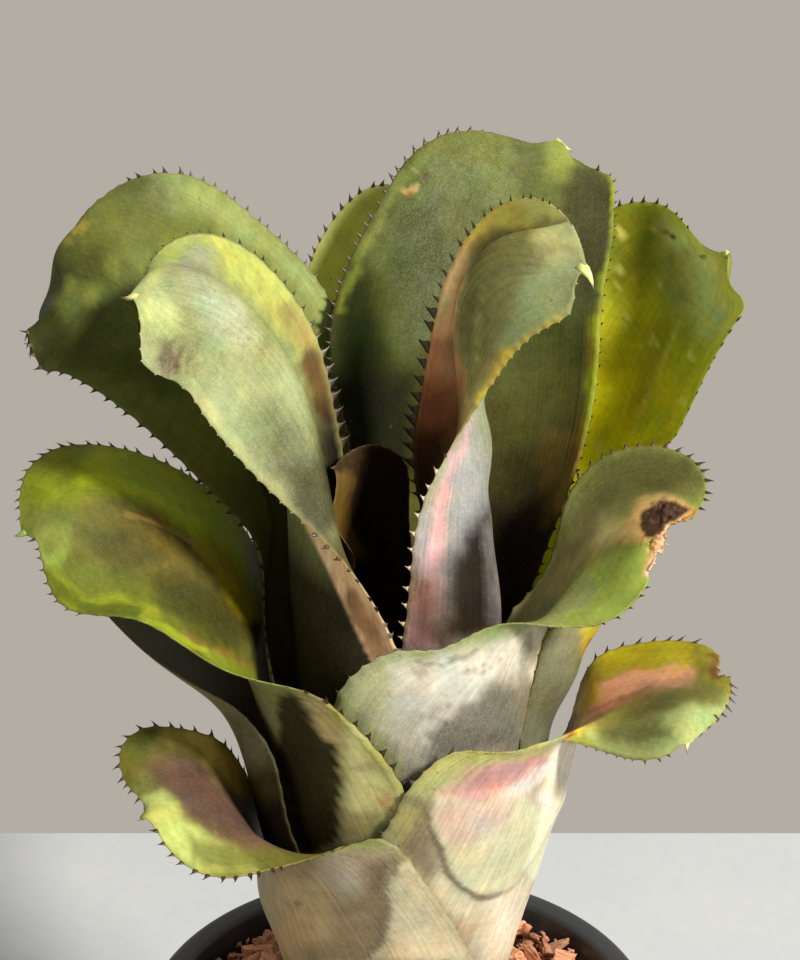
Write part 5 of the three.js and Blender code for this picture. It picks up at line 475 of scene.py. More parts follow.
-940,-848,5014,-904,-649,4944,-876,-456,4904,-856,-275,4890,-842,-110,4896,-833,39,4917,-829,169,4948,-828,282,4984,-829,376,5023,-831,454,5060,-834,516,5094,-837,562,5122,-840,595,5142,
-1025,-855,5074,-971,-664,5012,-930,-477,4978,-902,-300,4969,-884,-137,4980,-875,11,5005,-873,141,5041,-875,255,5082,-881,352,5125,-889,432,5168,-898,498,5207,-906,549,5241,-913,587,5269,
-1107,-861,5138,-1041,-679,5083,-991,-499,5055,-957,-327,5050,-936,-166,5064,-927,-20,5092,-926,111,5129,-932,226,5173,-942,325,5220,-955,409,5266,-969,478,5311,-984,534,5351,-996,578,5385,
-1190,-865,5199,-1114,-692,5153,-1058,-519,5131,-1019,-353,5129,-996,-196,5145,-986,-51,5175,-987,80,5214,-996,196,5259,-1011,297,5307,-1030,383,5357,-1051,457,5405,-1073,517,5450,-1093,566,5490,
-1276,-862,5247,-1193,-700,5212,-1131,-537,5199,-1088,-377,5203,-1063,-225,5223,-1053,-83,5254,-1056,47,5294,-1069,163,5339,-1089,266,5389,-1115,355,5439,-1144,432,5489,-1174,497,5537,-1205,550,5581,
-1368,-853,5271,-1278,-703,5254,-1211,-549,5253,-1164,-398,5267,-1137,-251,5292,-1127,-113,5326,-1131,14,5368,-1148,130,5414,-1174,234,5464,-1207,325,5514,-1245,404,5564,-1285,472,5612,-1327,529,5658,
-1467,-834,5274,-1371,-698,5277,-1297,-557,5291,-1247,-414,5317,-1217,-275,5350,-1206,-142,5390,-1212,-17,5435,-1231,97,5483,-1263,201,5532,-1303,293,5581,-1350,373,5629,-1401,442,5676,-1455,501,5720,
-1567,-805,5269,-1466,-685,5290,-1388,-557,5320,-1333,-426,5357,-1301,-295,5400,-1289,-168,5446,-1296,-47,5495,-1319,65,5544,-1355,167,5593,-1402,259,5640,-1458,339,5685,-1520,408,5728,-1587,467,5767,
-1661,-761,5272,-1559,-660,5307,-1480,-549,5348,-1424,-430,5395,-1390,-310,5445,-1378,-191,5496,-1386,-76,5547,-1411,33,5597,-1452,132,5645,-1506,221,5690,-1570,300,5731,-1642,367,5767,-1720,422,5799,
-1739,-701,5299,-1643,-619,5340,-1568,-525,5386,-1515,-422,5436,-1483,-315,5488,-1472,-207,5541,-1481,-101,5592,-1509,-1,5640,-1554,93,5685,-1612,176,5725,-1683,249,5759,-1762,310,5788,-1848,358,5810,
-1795,-625,5350,-1713,-562,5389,-1648,-486,5434,-1602,-400,5481,-1575,-310,5530,-1568,-217,5578,-1579,-124,5625,-1609,-36,5667,-1655,45,5705,-1715,117,5737,-1786,179,5762,-1867,228,5781,-1954,264,5792,
-1835,-544,5410,-1771,-496,5444,-1720,-437,5481,-1684,-370,5522,-1665,-297,5563,-1662,-222,5602,-1676,-148,5639,-1706,-77,5673,-1749,-13,5701,-1805,43,5723,-1871,89,5738,-1944,123,5746,-2022,145,5747,
-1858,-482,5451,-1808,-444,5480,-1769,-398,5511,-1743,-344,5544,-1730,-286,5577,-1731,-227,5608,-1746,-168,5637,-1773,-112,5662,-1812,-62,5682,-1861,-20,5697,-1917,14,5705,-1979,37,5707,-2043,48,5702,
-1873,-436,5478,-1835,-406,5502,-1806,-368,5528,-1788,-325,5554,-1780,-279,5580,-1783,-232,5605,-1798,-185,5627,-1822,-142,5645,-1855,-104,5659,-1896,-72,5668,-1943,-47,5672,-1992,-32,5671,-2044,-26,5664,
-1887,-399,5496,-1859,-374,5516,-1839,-344,5536,-1826,-310,5557,-1822,-274,5578,-1827,-237,5596,-1840,-202,5612,-1861,-169,5625,-1889,-140,5635,-1922,-117,5640,-1959,-100,5641,-1998,-90,5638,-2037,-87,5631,
-1903,-367,5508,-1883,-348,5523,-1869,-325,5539,-1861,-299,5555,-1860,-271,5570,-1866,-244,5583,-1877,-218,5595,-1894,-194,5603,-1916,-173,5609,-1941,-157,5612,-1969,-145,5611,-1998,-139,5608,-2027,-138,5601,
-1921,-341,5514,-1908,-326,5525,-1899,-309,5537,-1895,-290,5548,-1895,-271,5558,-1900,-252,5568,-1910,-234,5575,-1923,-217,5580,-1938,-204,5584,-1957,-193,5585,-1976,-186,5583,-1997,-182,5580,-2016,-182,5574,
-1941,-317,5515,-1933,-308,5523,-1928,-297,5530,-1927,-285,5538,-1928,-272,5544,-1932,-260,5549,-1938,-249,5554,-1947,-240,5557,-1957,-231,5558,-1969,-225,5558,-1981,-221,5557,-1994,-220,5554,-2006,-220,5550,
-1963,-297,5514,-1960,-292,5517,-1958,-287,5521,-1957,-281,5524,-1958,-276,5527,-1961,-270,5530,-1964,-265,5532,-1968,-260,5533,-1974,-257,5533,-1979,-254,5533,-1985,-253,5532,-1990,-252,5530,-1996,-252,5528,
-1987,-280,5509,-1987,-280,5509,-1987,-280,5509,-1987,-280,5509,-1987,-280,5509,-1987,-280,5509,-1987,-280,5509,-1987,-280,5509,-1987,-280,5509,-1987,-280,5509,-1987,-280,5509,-1987,-280,5509,-1987,-280,5509]},
    "leaf_back_right": {"rows": 46, "cols": 13, "u": [0,24.2,48.7,73.3,97.9,122.5,146.9,171.5,196,220.5,245.1,269.5,294,318.4,342.8,367.3,391.6,415.6,439.1,463.2,489.6,516.6,542.7,568.2,593.3,618.4,644.4,670.7,696,721.3,746.7,772.6,798.2,823.4,848.8,874.9,901,921,936,947.9,958.7,968.5,977.5,985.7,993.2,1000], "p": [
213,-401,2260,320,-322,2260,400,-215,2260,445,-89,2260,452,45,2260,419,176,2260,348,292,2260,245,382,2260,120,438,2260,-17,454,2260,-153,427,2260,-275,361,2260,-372,260,2260,
221,-396,2402,325,-316,2404,402,-210,2405,445,-85,2406,451,47,2406,418,176,2406,348,291,2405,248,380,2403,126,437,2401,-9,456,2399,-144,434,2396,-267,372,2392,-367,277,2388,
236,-397,2544,338,-315,2547,413,-206,2550,454,-81,2551,459,52,2551,425,181,2551,355,296,2549,254,386,2546,132,443,2542,-3,462,2537,-138,442,2531,-262,382,2524,-363,288,2516,
257,-401,2685,358,-315,2690,432,-204,2693,472,-76,2695,474,60,2695,438,190,2694,367,306,2692,265,397,2687,140,455,2682,5,475,2675,-131,455,2666,-256,396,2656,-358,304,2645,
283,-409,2826,385,-318,2831,458,-202,2835,496,-69,2837,496,70,2838,458,203,2836,383,321,2833,279,413,2827,153,473,2820,16,494,2811,-121,477,2801,-248,421,2788,-353,332,2774,
314,-420,2965,417,-322,2971,489,-199,2976,526,-61,2978,523,82,2978,482,219,2976,405,339,2972,298,434,2965,170,495,2957,31,519,2946,-109,505,2933,-238,453,2918,-348,368,2901,
348,-432,3103,452,-327,3110,525,-198,3115,560,-53,3118,554,95,3118,510,236,3115,430,360,3110,320,457,3103,189,522,3093,47,548,3080,-96,537,3065,-228,488,3048,-342,407,3028,
386,-445,3241,491,-333,3249,564,-197,3254,597,-46,3257,590,108,3256,542,255,3253,458,383,3248,345,483,3239,210,550,3228,64,579,3214,-82,569,3197,-218,523,3177,-335,444,3155,
425,-458,3378,532,-340,3387,605,-197,3393,638,-39,3395,629,122,3395,578,274,3392,490,406,3385,372,511,3375,233,580,3363,83,611,3347,-67,602,3328,-207,556,3306,-327,478,3281,
465,-471,3515,575,-347,3525,648,-197,3531,680,-32,3534,669,135,3534,616,292,3530,524,430,3523,401,538,3512,258,610,3497,103,643,3480,-52,635,3458,-195,589,3434,-318,511,3406,
505,-482,3652,617,-353,3663,691,-197,3670,723,-27,3674,711,146,3673,655,310,3669,560,452,3660,433,565,3648,285,641,3632,125,675,3612,-34,669,3589,-181,623,3561,-308,544,3530,
545,-492,3789,658,-357,3801,733,-197,3809,765,-22,3813,752,157,3813,695,326,3808,597,473,3799,468,591,3785,315,670,3767,151,708,3745,-13,703,3719,-166,658,3688,-296,578,3653,
583,-498,3926,696,-361,3940,773,-197,3949,806,-18,3953,793,165,3953,735,339,3948,636,492,3938,504,614,3923,348,698,3903,179,739,3878,10,737,3848,-147,694,3814,-283,615,3775,
618,-500,4063,732,-362,4079,809,-196,4089,843,-14,4094,831,172,4094,774,349,4088,675,507,4077,542,635,4060,384,724,4038,212,771,4011,38,773,3978,-126,733,3939,-268,656,3896,
650,-498,4201,764,-360,4218,842,-194,4229,878,-11,4235,868,178,4234,813,359,4227,715,521,4215,582,654,4197,423,750,4172,248,803,4142,69,811,4106,-101,776,4064,-251,701,4016,
679,-491,4339,793,-354,4357,873,-189,4368,911,-6,4373,904,183,4371,851,368,4364,756,535,4350,624,674,4330,464,776,4304,287,836,4272,104,851,4234,-72,821,4190,-230,751,4139,
710,-482,4479,824,-346,4494,904,-182,4503,944,1,4506,940,191,4504,890,378,4495,798,548,4480,668,693,4460,508,802,4433,329,869,4400,143,891,4362,-38,868,4318,-204,803,4267,
749,-473,4620,862,-337,4630,941,-172,4635,981,11,4634,978,202,4629,930,390,4618,839,563,4602,711,712,4582,553,826,4556,374,900,4525,186,929,4489,0,914,4448,-171,855,4402,
773,-463,4773,889,-328,4771,971,-163,4766,1014,20,4758,1014,213,4747,969,403,4733,881,580,4715,755,733,4695,598,853,4671,420,933,4643,231,969,4613,43,960,4579,-132,908,4543,
781,-440,4920,903,-310,4907,992,-149,4892,1041,33,4877,1047,227,4860,1008,420,4842,925,600,4824,802,757,4804,648,883,4784,471,969,4762,282,1011,4740,92,1009,4716,-87,963,4692,
803,-389,5022,925,-265,5008,1016,-111,4993,1070,66,4979,1081,255,4964,1049,445,4950,973,625,4935,857,784,4921,709,914,4908,535,1007,4895,346,1057,4882,154,1062,4871,-31,1023,4860,
865,-296,5026,973,-179,5031,1055,-36,5034,1104,127,5038,1117,302,5040,1090,480,5042,1023,653,5044,918,810,5044,778,942,5043,610,1041,5042,423,1101,5040,227,1116,5037,32,1084,5034,
930,-181,5036,1020,-75,5053,1090,53,5070,1134,198,5089,1148,356,5107,1128,520,5125,1072,683,5143,978,836,5159,849,970,5174,689,1075,5186,504,1144,5194,303,1167,5199,98,1142,5199,
979,-58,5099,1053,33,5116,1113,143,5136,1155,270,5158,1173,411,5182,1163,561,5209,1120,716,5237,1040,866,5266,923,1002,5293,771,1114,5318,587,1191,5338,381,1221,5351,166,1197,5357,
1018,65,5190,1076,139,5203,1128,230,5219,1169,338,5239,1194,463,5264,1195,602,5294,1167,750,5328,1103,899,5364,999,1040,5402,854,1159,5439,672,1243,5471,461,1277,5496,236,1250,5508,
1054,184,5286,1098,241,5294,1144,314,5307,1185,406,5325,1216,517,5349,1229,645,5380,1215,787,5418,1166,936,5461,1075,1081,5509,938,1207,5558,757,1297,5603,541,1334,5639,307,1301,5660,
1094,294,5366,1129,337,5374,1170,398,5387,1211,476,5406,1246,575,5432,1267,693,5467,1264,828,5511,1227,974,5563,1147,1120,5623,1019,1250,5685,841,1345,5744,623,1385,5792,382,1350,5818,
1142,385,5449,1171,420,5457,1208,472,5470,1248,542,5489,1284,633,5518,1309,744,5556,1313,873,5606,1285,1014,5668,1214,1158,5738,1094,1289,5813,921,1387,5886,703,1430,5946,460,1397,5981,
1206,445,5560,1230,477,5566,1262,526,5576,1298,594,5592,1332,683,5616,1356,791,5651,1361,918,5699,1335,1057,5760,1269,1199,5834,1155,1329,5918,989,1427,6004,778,1470,6082,538,1438,6139,
1303,471,5665,1324,509,5669,1350,564,5676,1377,637,5690,1400,729,5711,1413,839,5743,1407,965,5788,1375,1100,5848,1306,1236,5923,1196,1359,6011,1042,1452,6109,847,1497,6207,623,1474,6294,
1434,464,5733,1450,519,5739,1467,590,5749,1480,675,5766,1485,776,5791,1478,889,5827,1454,1011,5876,1406,1138,5940,1331,1262,6019,1224,1373,6113,1084,1459,6219,914,1508,6332,718,1506,6445,
1537,445,5825,1550,519,5829,1559,606,5838,1562,705,5854,1555,814,5880,1536,932,5918,1500,1055,5969,1445,1177,6036,1368,1294,6119,1267,1397,6218,1142,1477,6332,994,1525,6458,828,1531,6590,
1595,429,5954,1608,517,5949,1615,616,5950,1615,725,5960,1605,842,5981,1583,965,6016,1546,1090,6066,1491,1212,6133,1419,1325,6219,1327,1424,6323,1217,1499,6443,1091,1544,6578,952,1550,6722,
1648,422,6085,1660,520,6070,1665,628,6063,1662,744,6068,1650,865,6085,1626,990,6118,1589,1114,6168,1539,1233,6236,1474,1343,6323,1396,1436,6429,1304,1508,6552,1202,1551,6690,1091,1560,6837,
1704,425,6215,1712,530,6191,1713,643,6178,1706,762,6178,1691,884,6193,1666,1007,6225,1632,1127,6274,1588,1240,6342,1534,1342,6429,1471,1430,6533,1400,1496,6654,1323,1539,6787,1243,1552,6931,
1769,442,6343,1769,550,6311,1763,664,6293,1751,780,6291,1732,898,6304,1706,1014,6336,1675,1125,6384,1637,1227,6450,1595,1318,6532,1548,1394,6630,1499,1453,6740,1447,1491,6861,1396,1507,6990,
1846,477,6465,1835,582,6425,1819,692,6404,1798,801,6400,1774,909,6414,1746,1011,6444,1716,1106,6491,1684,1190,6552,1652,1263,6625,1620,1322,6709,1589,1366,6801,1559,1394,6898,1531,1407,6999,
1906,517,6551,1886,617,6507,1862,719,6484,1835,819,6480,1806,914,6495,1776,1001,6525,1747,1078,6568,1718,1144,6622,1692,1199,6684,1668,1241,6751,1646,1272,6822,1628,1293,6893,1612,1303,6963,
1892,557,6611,1880,648,6568,1863,741,6545,1842,830,6543,1818,913,6557,1794,986,6585,1769,1049,6623,1745,1101,6668,1724,1142,6718,1704,1173,6770,1686,1194,6821,1671,1208,6870,1658,1215,6917,
1851,595,6655,1855,676,6615,1850,758,6595,1839,837,6594,1824,909,6607,1806,970,6632,1786,1021,6664,1767,1062,6701,1748,1092,6740,1731,1114,6778,1715,1129,6814,1702,1138,6847,1690,1143,6875,
1833,635,6693,1847,703,6657,1850,774,6640,1845,842,6640,1834,902,6652,1819,952,6673,1802,992,6699,1784,1022,6727,1767,1044,6756,1751,1059,6783,1738,1068,6806,1727,1074,6825,1718,1077,6841,
1829,675,6724,1850,731,6696,1858,789,6683,1856,844,6683,1846,892,6693,1832,931,6709,1815,961,6728,1799,983,6749,1783,998,6768,1769,1007,6785,1758,1013,6798,1750,1016,6808,1745,1017,6814,
1834,717,6751,1857,758,6732,1867,803,6723,1866,845,6723,1857,881,6730,1843,910,6741,1828,931,6753,1812,945,6766,1798,954,6777,1787,960,6786,1779,962,6793,1774,964,6797,1772,964,6798,
1842,758,6773,1862,786,6764,1871,816,6760,1870,844,6760,1863,869,6764,1852,887,6769,1839,900,6774,1826,908,6780,1816,913,6785,1807,916,6788,1802,917,6791,1799,917,6792,1799,917,6792,
1851,800,6792,1863,813,6790,1868,828,6789,1867,843,6789,1863,855,6790,1856,864,6791,1849,870,6792,1842,873,6793,1836,875,6794,1831,876,6795,1829,876,6795,1827,876,6795,1828,876,6795,
1857,840,6807,1858,840,6807,1858,840,6807,1858,840,6807,1858,840,6807,1858,840,6807,1858,840,6807,1857,840,6807,1857,840,6807,1857,840,6807,1857,840,6807,1857,840,6807,1857,840,6807]},
    "leaf_front_right_upper": {"rows": 46, "cols": 13, "u": [0,16.8,33.9,51,68.1,85.2,102.3,119.4,136.5,153.7,170.9,188.2,205.4,222.6,239.7,256.7,273.5,290.2,306.8,323.3,339.9,356.7,373.9,391.6,410.9,434.5,463.4,495.5,529.7,566.1,604.3,643,680.3,715.4,749.6,783.9,819,856,893.2,922.4,941.6,956.7,969.4,980.7,990.8,1000], "p": [
-359,-207,2260,-280,-305,2260,-175,-375,2260,-54,-411,2260,72,-408,2260,191,-367,2260,293,-293,2260,367,-191,2260,408,-72,2260,410,54,2260,375,175,2260,305,280,2260,207,358,2260,
-355,-209,2382,-275,-306,2375,-170,-374,2370,-51,-408,2365,74,-405,2362,191,-365,2359,291,-292,2358,365,-193,2357,407,-77,2358,412,46,2359,382,166,2362,318,271,2365,226,353,2370,
-354,-218,2505,-272,-314,2491,-166,-380,2480,-46,-411,2471,77,-407,2464,193,-366,2458,292,-294,2455,366,-197,2454,408,-83,2455,416,38,2458,389,156,2463,330,262,2470,244,347,2479,
-357,-233,2628,-270,-327,2608,-161,-391,2590,-40,-420,2576,84,-413,2565,199,-370,2557,297,-298,2552,370,-201,2550,412,-89,2551,422,30,2556,398,147,2563,344,252,2574,264,338,2588,
-362,-254,2752,-269,-346,2724,-156,-407,2700,-31,-433,2681,93,-422,2666,208,-378,2655,305,-304,2648,377,-208,2645,419,-97,2647,431,20,2653,411,135,2663,362,240,2677,288,328,2696,
-367,-278,2874,-267,-370,2839,-148,-427,2809,-21,-448,2785,105,-434,2765,219,-387,2751,315,-312,2743,386,-216,2739,430,-107,2741,443,8,2749,428,121,2761,386,226,2779,320,316,2802,
-372,-307,2996,-264,-397,2953,-139,-450,2917,-8,-467,2887,119,-448,2864,233,-397,2847,328,-321,2836,399,-226,2832,443,-118,2835,459,-5,2843,449,106,2858,414,210,2880,357,303,2908,
-377,-340,3117,-260,-426,3067,-128,-475,3024,6,-486,2989,134,-463,2962,248,-409,2942,342,-331,2929,413,-236,2925,458,-130,2927,478,-20,2937,472,90,2955,445,193,2980,398,287,3013,
-379,-374,3236,-253,-458,3179,-116,-502,3131,22,-507,3091,152,-479,3059,266,-422,3036,359,-343,3022,429,-248,3017,475,-143,3020,497,-35,3032,497,73,3052,476,176,3081,438,270,3118,
-378,-411,3355,-244,-491,3291,-101,-529,3237,40,-529,3192,171,-496,3157,285,-436,3131,377,-355,3115,447,-260,3109,494,-156,3113,518,-49,3126,521,56,3149,506,157,3181,475,251,3223,
-374,-450,3473,-232,-524,3402,-84,-557,3342,60,-552,3293,191,-515,3254,305,-451,3226,397,-368,3208,466,-272,3202,512,-169,3206,537,-64,3221,543,40,3246,532,138,3282,507,230,3329,
-367,-489,3591,-218,-558,3513,-65,-586,3448,81,-575,3394,213,-533,3351,326,-466,3321,417,-380,3302,485,-284,3295,531,-181,3300,556,-78,3316,563,23,3344,554,119,3384,533,207,3436,
-356,-527,3708,-201,-592,3624,-45,-614,3553,103,-598,3494,236,-551,3449,349,-481,3416,438,-393,3396,505,-295,3388,549,-193,3394,574,-91,3412,581,7,3442,573,99,3486,554,184,3542,
-342,-565,3825,-182,-625,3735,-23,-641,3658,127,-620,3595,260,-569,3546,372,-495,3511,460,-405,3489,525,-307,3482,567,-205,3488,590,-105,3507,597,-9,3541,589,80,3588,571,160,3649,
-326,-601,3943,-162,-656,3846,0,-667,3764,151,-641,3697,284,-586,3644,395,-509,3606,481,-417,3583,544,-317,3575,585,-216,3582,606,-117,3603,611,-24,3640,602,61,3691,585,136,3757,
-314,-635,4062,-145,-685,3958,21,-692,3870,174,-662,3798,308,-602,3742,417,-522,3702,502,-427,3677,563,-327,3669,601,-226,3676,620,-129,3700,623,-39,3739,613,42,3794,595,113,3865,
-309,-666,4182,-133,-714,4071,38,-717,3977,195,-683,3901,330,-618,3841,439,-534,3798,522,-437,3772,581,-335,3763,616,-234,3771,633,-138,3796,633,-51,3838,622,26,3897,603,91,3973,
-315,-693,4304,-130,-742,4185,49,-743,4085,211,-704,4003,349,-635,3939,460,-545,3894,542,-445,3866,598,-341,3857,631,-240,3866,644,-146,3893,643,-61,3938,630,11,4001,609,71,4082,
-331,-717,4426,-134,-769,4300,55,-768,4193,224,-725,4106,367,-651,4038,479,-556,3989,561,-452,3960,615,-345,3950,645,-243,3960,655,-151,3989,651,-69,4037,636,-1,4105,614,53,4192,
-347,-737,4547,-139,-793,4413,60,-792,4299,237,-745,4207,384,-666,4135,497,-566,4084,579,-457,4053,631,-348,4044,657,-246,4055,665,-154,4086,657,-76,4139,639,-12,4212,615,37,4306,
-352,-756,4664,-136,-814,4522,70,-811,4403,252,-761,4305,402,-678,4230,516,-574,4177,596,-462,4146,645,-351,4137,668,-248,4151,671,-157,4186,659,-81,4244,637,-21,4323,609,23,4425,
-336,-774,4776,-118,-829,4628,89,-825,4503,272,-772,4402,422,-685,4325,535,-579,4270,613,-465,4240,659,-353,4232,678,-249,4248,677,-160,4288,660,-86,4351,632,-29,4438,598,12,4548,
-288,-791,4881,-77,-838,4728,124,-828,4600,301,-773,4497,445,-686,4418,554,-580,4364,629,-466,4334,672,-355,4328,688,-253,4347,683,-164,4391,661,-91,4459,628,-34,4551,587,5,4668,
-208,-809,4974,-11,-840,4821,175,-823,4692,338,-766,4589,473,-680,4510,575,-577,4457,644,-467,4428,684,-358,4424,698,-257,4446,690,-168,4492,666,-95,4563,628,-37,4659,581,5,4780,
-106,-826,5051,71,-839,4903,237,-812,4779,383,-753,4679,504,-669,4604,596,-571,4553,660,-465,4527,697,-360,4525,710,-261,4547,702,-172,4594,676,-95,4665,637,-34,4761,588,13,4880,
1,-843,5096,156,-837,4965,300,-801,4855,428,-739,4768,535,-657,4702,619,-562,4659,678,-461,4637,714,-359,4638,729,-260,4659,724,-168,4703,703,-87,4768,669,-18,4854,624,38,4961,
95,-854,5100,229,-835,4997,354,-791,4911,466,-726,4843,562,-644,4794,640,-551,4763,699,-452,4751,738,-350,4756,759,-250,4778,764,-154,4816,754,-65,4871,731,14,4940,698,84,5025,
183,-856,5105,296,-823,5026,403,-772,4960,500,-705,4910,587,-625,4875,660,-535,4856,720,-438,4852,765,-337,4862,796,-235,4887,812,-134,4925,814,-37,4976,804,54,5039,783,139,5112,
273,-849,5134,364,-807,5069,452,-750,5016,536,-682,4976,613,-603,4949,683,-514,4936,743,-418,4937,793,-317,4953,831,-212,4983,856,-106,5028,867,-2,5085,864,99,5156,848,194,5237,
366,-835,5176,435,-789,5123,506,-731,5077,576,-662,5042,645,-582,5017,710,-493,5006,770,-394,5009,821,-288,5029,863,-178,5065,893,-66,5120,908,44,5191,906,149,5279,887,244,5383,
467,-815,5212,517,-767,5170,571,-709,5133,628,-640,5101,686,-559,5079,745,-468,5068,801,-366,5073,853,-256,5095,896,-141,5138,929,-24,5203,948,90,5291,949,194,5401,930,283,5531,
578,-794,5219,612,-744,5191,651,-684,5164,694,-614,5142,741,-532,5128,790,-439,5124,839,-336,5134,888,-225,5162,932,-109,5211,970,8,5285,997,121,5384,1011,224,5510,1008,308,5661,
691,-779,5203,713,-726,5189,739,-663,5176,770,-589,5167,804,-504,5165,842,-410,5173,884,-307,5194,927,-198,5231,972,-85,5288,1015,28,5367,1056,136,5471,1092,234,5601,1120,314,5757,
799,-777,5189,812,-717,5185,827,-648,5184,847,-568,5189,871,-480,5200,900,-384,5221,934,-281,5254,974,-175,5301,1020,-67,5364,1072,39,5446,1129,139,5549,1190,228,5673,1255,301,5817,
903,-792,5192,905,-720,5196,911,-641,5205,921,-554,5220,937,-460,5242,960,-362,5274,991,-260,5316,1031,-156,5369,1082,-55,5436,1143,42,5517,1216,130,5612,1300,206,5721,1395,264,5844,
1001,-813,5216,990,-728,5226,985,-638,5241,988,-543,5263,999,-445,5293,1020,-344,5331,1053,-244,5377,1098,-147,5433,1156,-55,5498,1227,29,5571,1313,101,5653,1411,158,5741,1522,196,5835,
1092,-824,5259,1066,-730,5271,1051,-632,5291,1048,-532,5318,1057,-432,5351,1081,-333,5391,1118,-239,5437,1170,-152,5489,1236,-74,5545,1315,-8,5605,1406,44,5668,1508,78,5731,1618,93,5793,
1173,-809,5319,1134,-714,5333,1111,-616,5354,1105,-518,5381,1116,-422,5414,1143,-331,5451,1186,-249,5491,1242,-178,5534,1311,-119,5577,1389,-74,5619,1474,-44,5659,1564,-31,5697,1656,-33,5730,
1241,-764,5389,1193,-679,5401,1167,-590,5420,1161,-501,5445,1175,-418,5473,1205,-343,5503,1249,-280,5533,1304,-229,5562,1365,-192,5589,1431,-168,5614,1497,-156,5635,1563,-156,5652,1626,-166,5666,
1285,-711,5443,1236,-641,5453,1211,-566,5469,1207,-492,5490,1222,-424,5511,1253,-366,5533,1294,-321,5554,1341,-288,5572,1391,-267,5587,1440,-256,5599,1487,-255,5608,1530,-260,5615,1568,-271,5619,
1310,-669,5474,1264,-614,5484,1241,-551,5497,1239,-490,5514,1255,-435,5531,1283,-390,5547,1319,-357,5560,1359,-335,5571,1398,-323,5580,1436,-320,5585,1469,-322,5589,1498,-328,5591,1521,-337,5592,
1328,-634,5497,1288,-591,5505,1268,-541,5516,1267,-492,5529,1281,-448,5542,1306,-415,5552,1337,-391,5561,1369,-377,5567,1399,-372,5571,1426,-372,5573,1449,-376,5574,1468,-381,5574,1482,-387,5573,
1342,-602,5513,1309,-571,5520,1293,-534,5529,1293,-496,5538,1305,-464,5547,1326,-440,5554,1350,-424,5558,1374,-416,5561,1396,-414,5562,1414,-416,5562,1429,-420,5562,1440,-425,5561,1448,-429,5560,
1354,-572,5525,1330,-553,5530,1319,-528,5537,1319,-502,5543,1328,-481,5548,1343,-466,5552,1360,-457,5554,1376,-453,5554,1390,-453,5554,1401,-455,5553,1410,-458,5552,1416,-461,5551,1419,-464,5551,
1364,-545,5533,1351,-536,5536,1345,-523,5540,1345,-510,5543,1351,-500,5546,1359,-492,5547,1367,-489,5547,1375,-487,5547,1382,-488,5546,1387,-490,5545,1391,-491,5545,1393,-493,5544,1394,-494,5544,
1373,-520,5539,1373,-520,5539,1373,-520,5539,1373,-520,5539,1373,-520,5539,1373,-520,5539,1373,-520,5539,1373,-520,5539,1373,-520,5539,1373,-520,5539,1373,-520,5539,1373,-520,5539,1373,-520,5539]},
    "leaf_back_small": {"rows": 46, "cols": 13, "u": [0,25.5,51,76.5,102.1,127.7,153.4,179.2,205,230.7,256.2,281.8,307.4,332.9,358.4,383.9,409.4,434.8,459.9,484.6,509.1,533.6,558.3,583,607.8,632.5,657.1,681.7,706,730.1,754.1,778,802,826.2,850.7,875.5,900.8,920.7,935.7,948.3,959.5,969.7,978.8,986.8,993.8,1000], "p": [
-188,-326,2260,-294,-234,2260,-360,-111,2260,-375,28,2260,-339,162,2260,-258,274,2260,-141,349,2260,-6,376,2260,130,352,2260,247,282,2260,332,175,2260,372,45,2260,363,-90,2260,
-213,-314,2400,-309,-219,2397,-366,-96,2394,-375,39,2392,-337,169,2390,-255,277,2389,-141,349,2388,-8,376,2388,126,354,2389,244,286,2389,331,181,2391,374,51,2393,368,-86,2395,
-238,-301,2542,-326,-203,2535,-375,-80,2529,-379,52,2524,-338,178,2521,-256,284,2518,-143,355,2516,-11,382,2515,123,362,2516,242,296,2517,331,192,2520,378,63,2523,377,-76,2528,
-270,-287,2686,-348,-185,2674,-389,-62,2665,-388,68,2657,-344,192,2651,-261,295,2646,-147,365,2643,-15,393,2641,119,375,2642,240,311,2643,333,209,2647,385,81,2652,388,-59,2658,
-312,-273,2827,-379,-165,2812,-411,-40,2800,-402,89,2789,-353,210,2780,-267,311,2773,-153,379,2769,-21,408,2767,114,391,2766,237,331,2768,333,231,2772,391,104,2778,403,-36,2787,
-363,-254,2966,-418,-140,2948,-438,-13,2932,-420,115,2919,-365,233,2908,-276,331,2900,-160,398,2895,-29,426,2891,107,411,2891,232,354,2893,333,258,2897,398,134,2904,419,-7,2913,
-417,-224,3100,-457,-106,3080,-465,20,3062,-438,146,3048,-377,260,3036,-286,354,3027,-169,419,3020,-38,447,3016,98,435,3015,226,382,3017,332,290,3022,405,169,3029,436,28,3039,
-466,-174,3227,-491,-59,3206,-487,63,3189,-453,182,3174,-388,291,3162,-295,380,3152,-180,443,3146,-48,473,3142,88,464,3141,218,415,3143,330,328,3147,412,210,3154,454,70,3164,
-506,-103,3345,-516,4,3327,-502,115,3310,-462,224,3297,-395,324,3286,-304,409,3277,-190,470,3271,-62,501,3267,75,496,3267,208,452,3268,326,371,3272,418,256,3279,471,117,3288,
-536,-18,3459,-532,76,3443,-510,173,3429,-467,270,3417,-401,361,3408,-312,439,3400,-202,498,3395,-76,530,3392,59,530,3392,195,492,3393,319,418,3397,421,307,3402,488,168,3410,
-556,71,3572,-544,150,3558,-516,234,3547,-470,319,3537,-405,400,3529,-319,472,3523,-214,527,3519,-92,560,3517,42,564,3516,180,533,3517,310,465,3520,422,360,3525,503,221,3532,
-569,154,3690,-551,221,3678,-520,292,3668,-474,366,3659,-410,438,3652,-327,504,3646,-226,557,3643,-107,591,3640,25,598,3640,164,574,3640,300,512,3643,422,413,3647,516,277,3653,
-575,223,3817,-555,279,3804,-524,342,3793,-478,408,3784,-416,474,3777,-336,536,3771,-238,587,3766,-121,622,3764,10,633,3762,149,614,3763,290,559,3765,420,465,3769,526,334,3774,
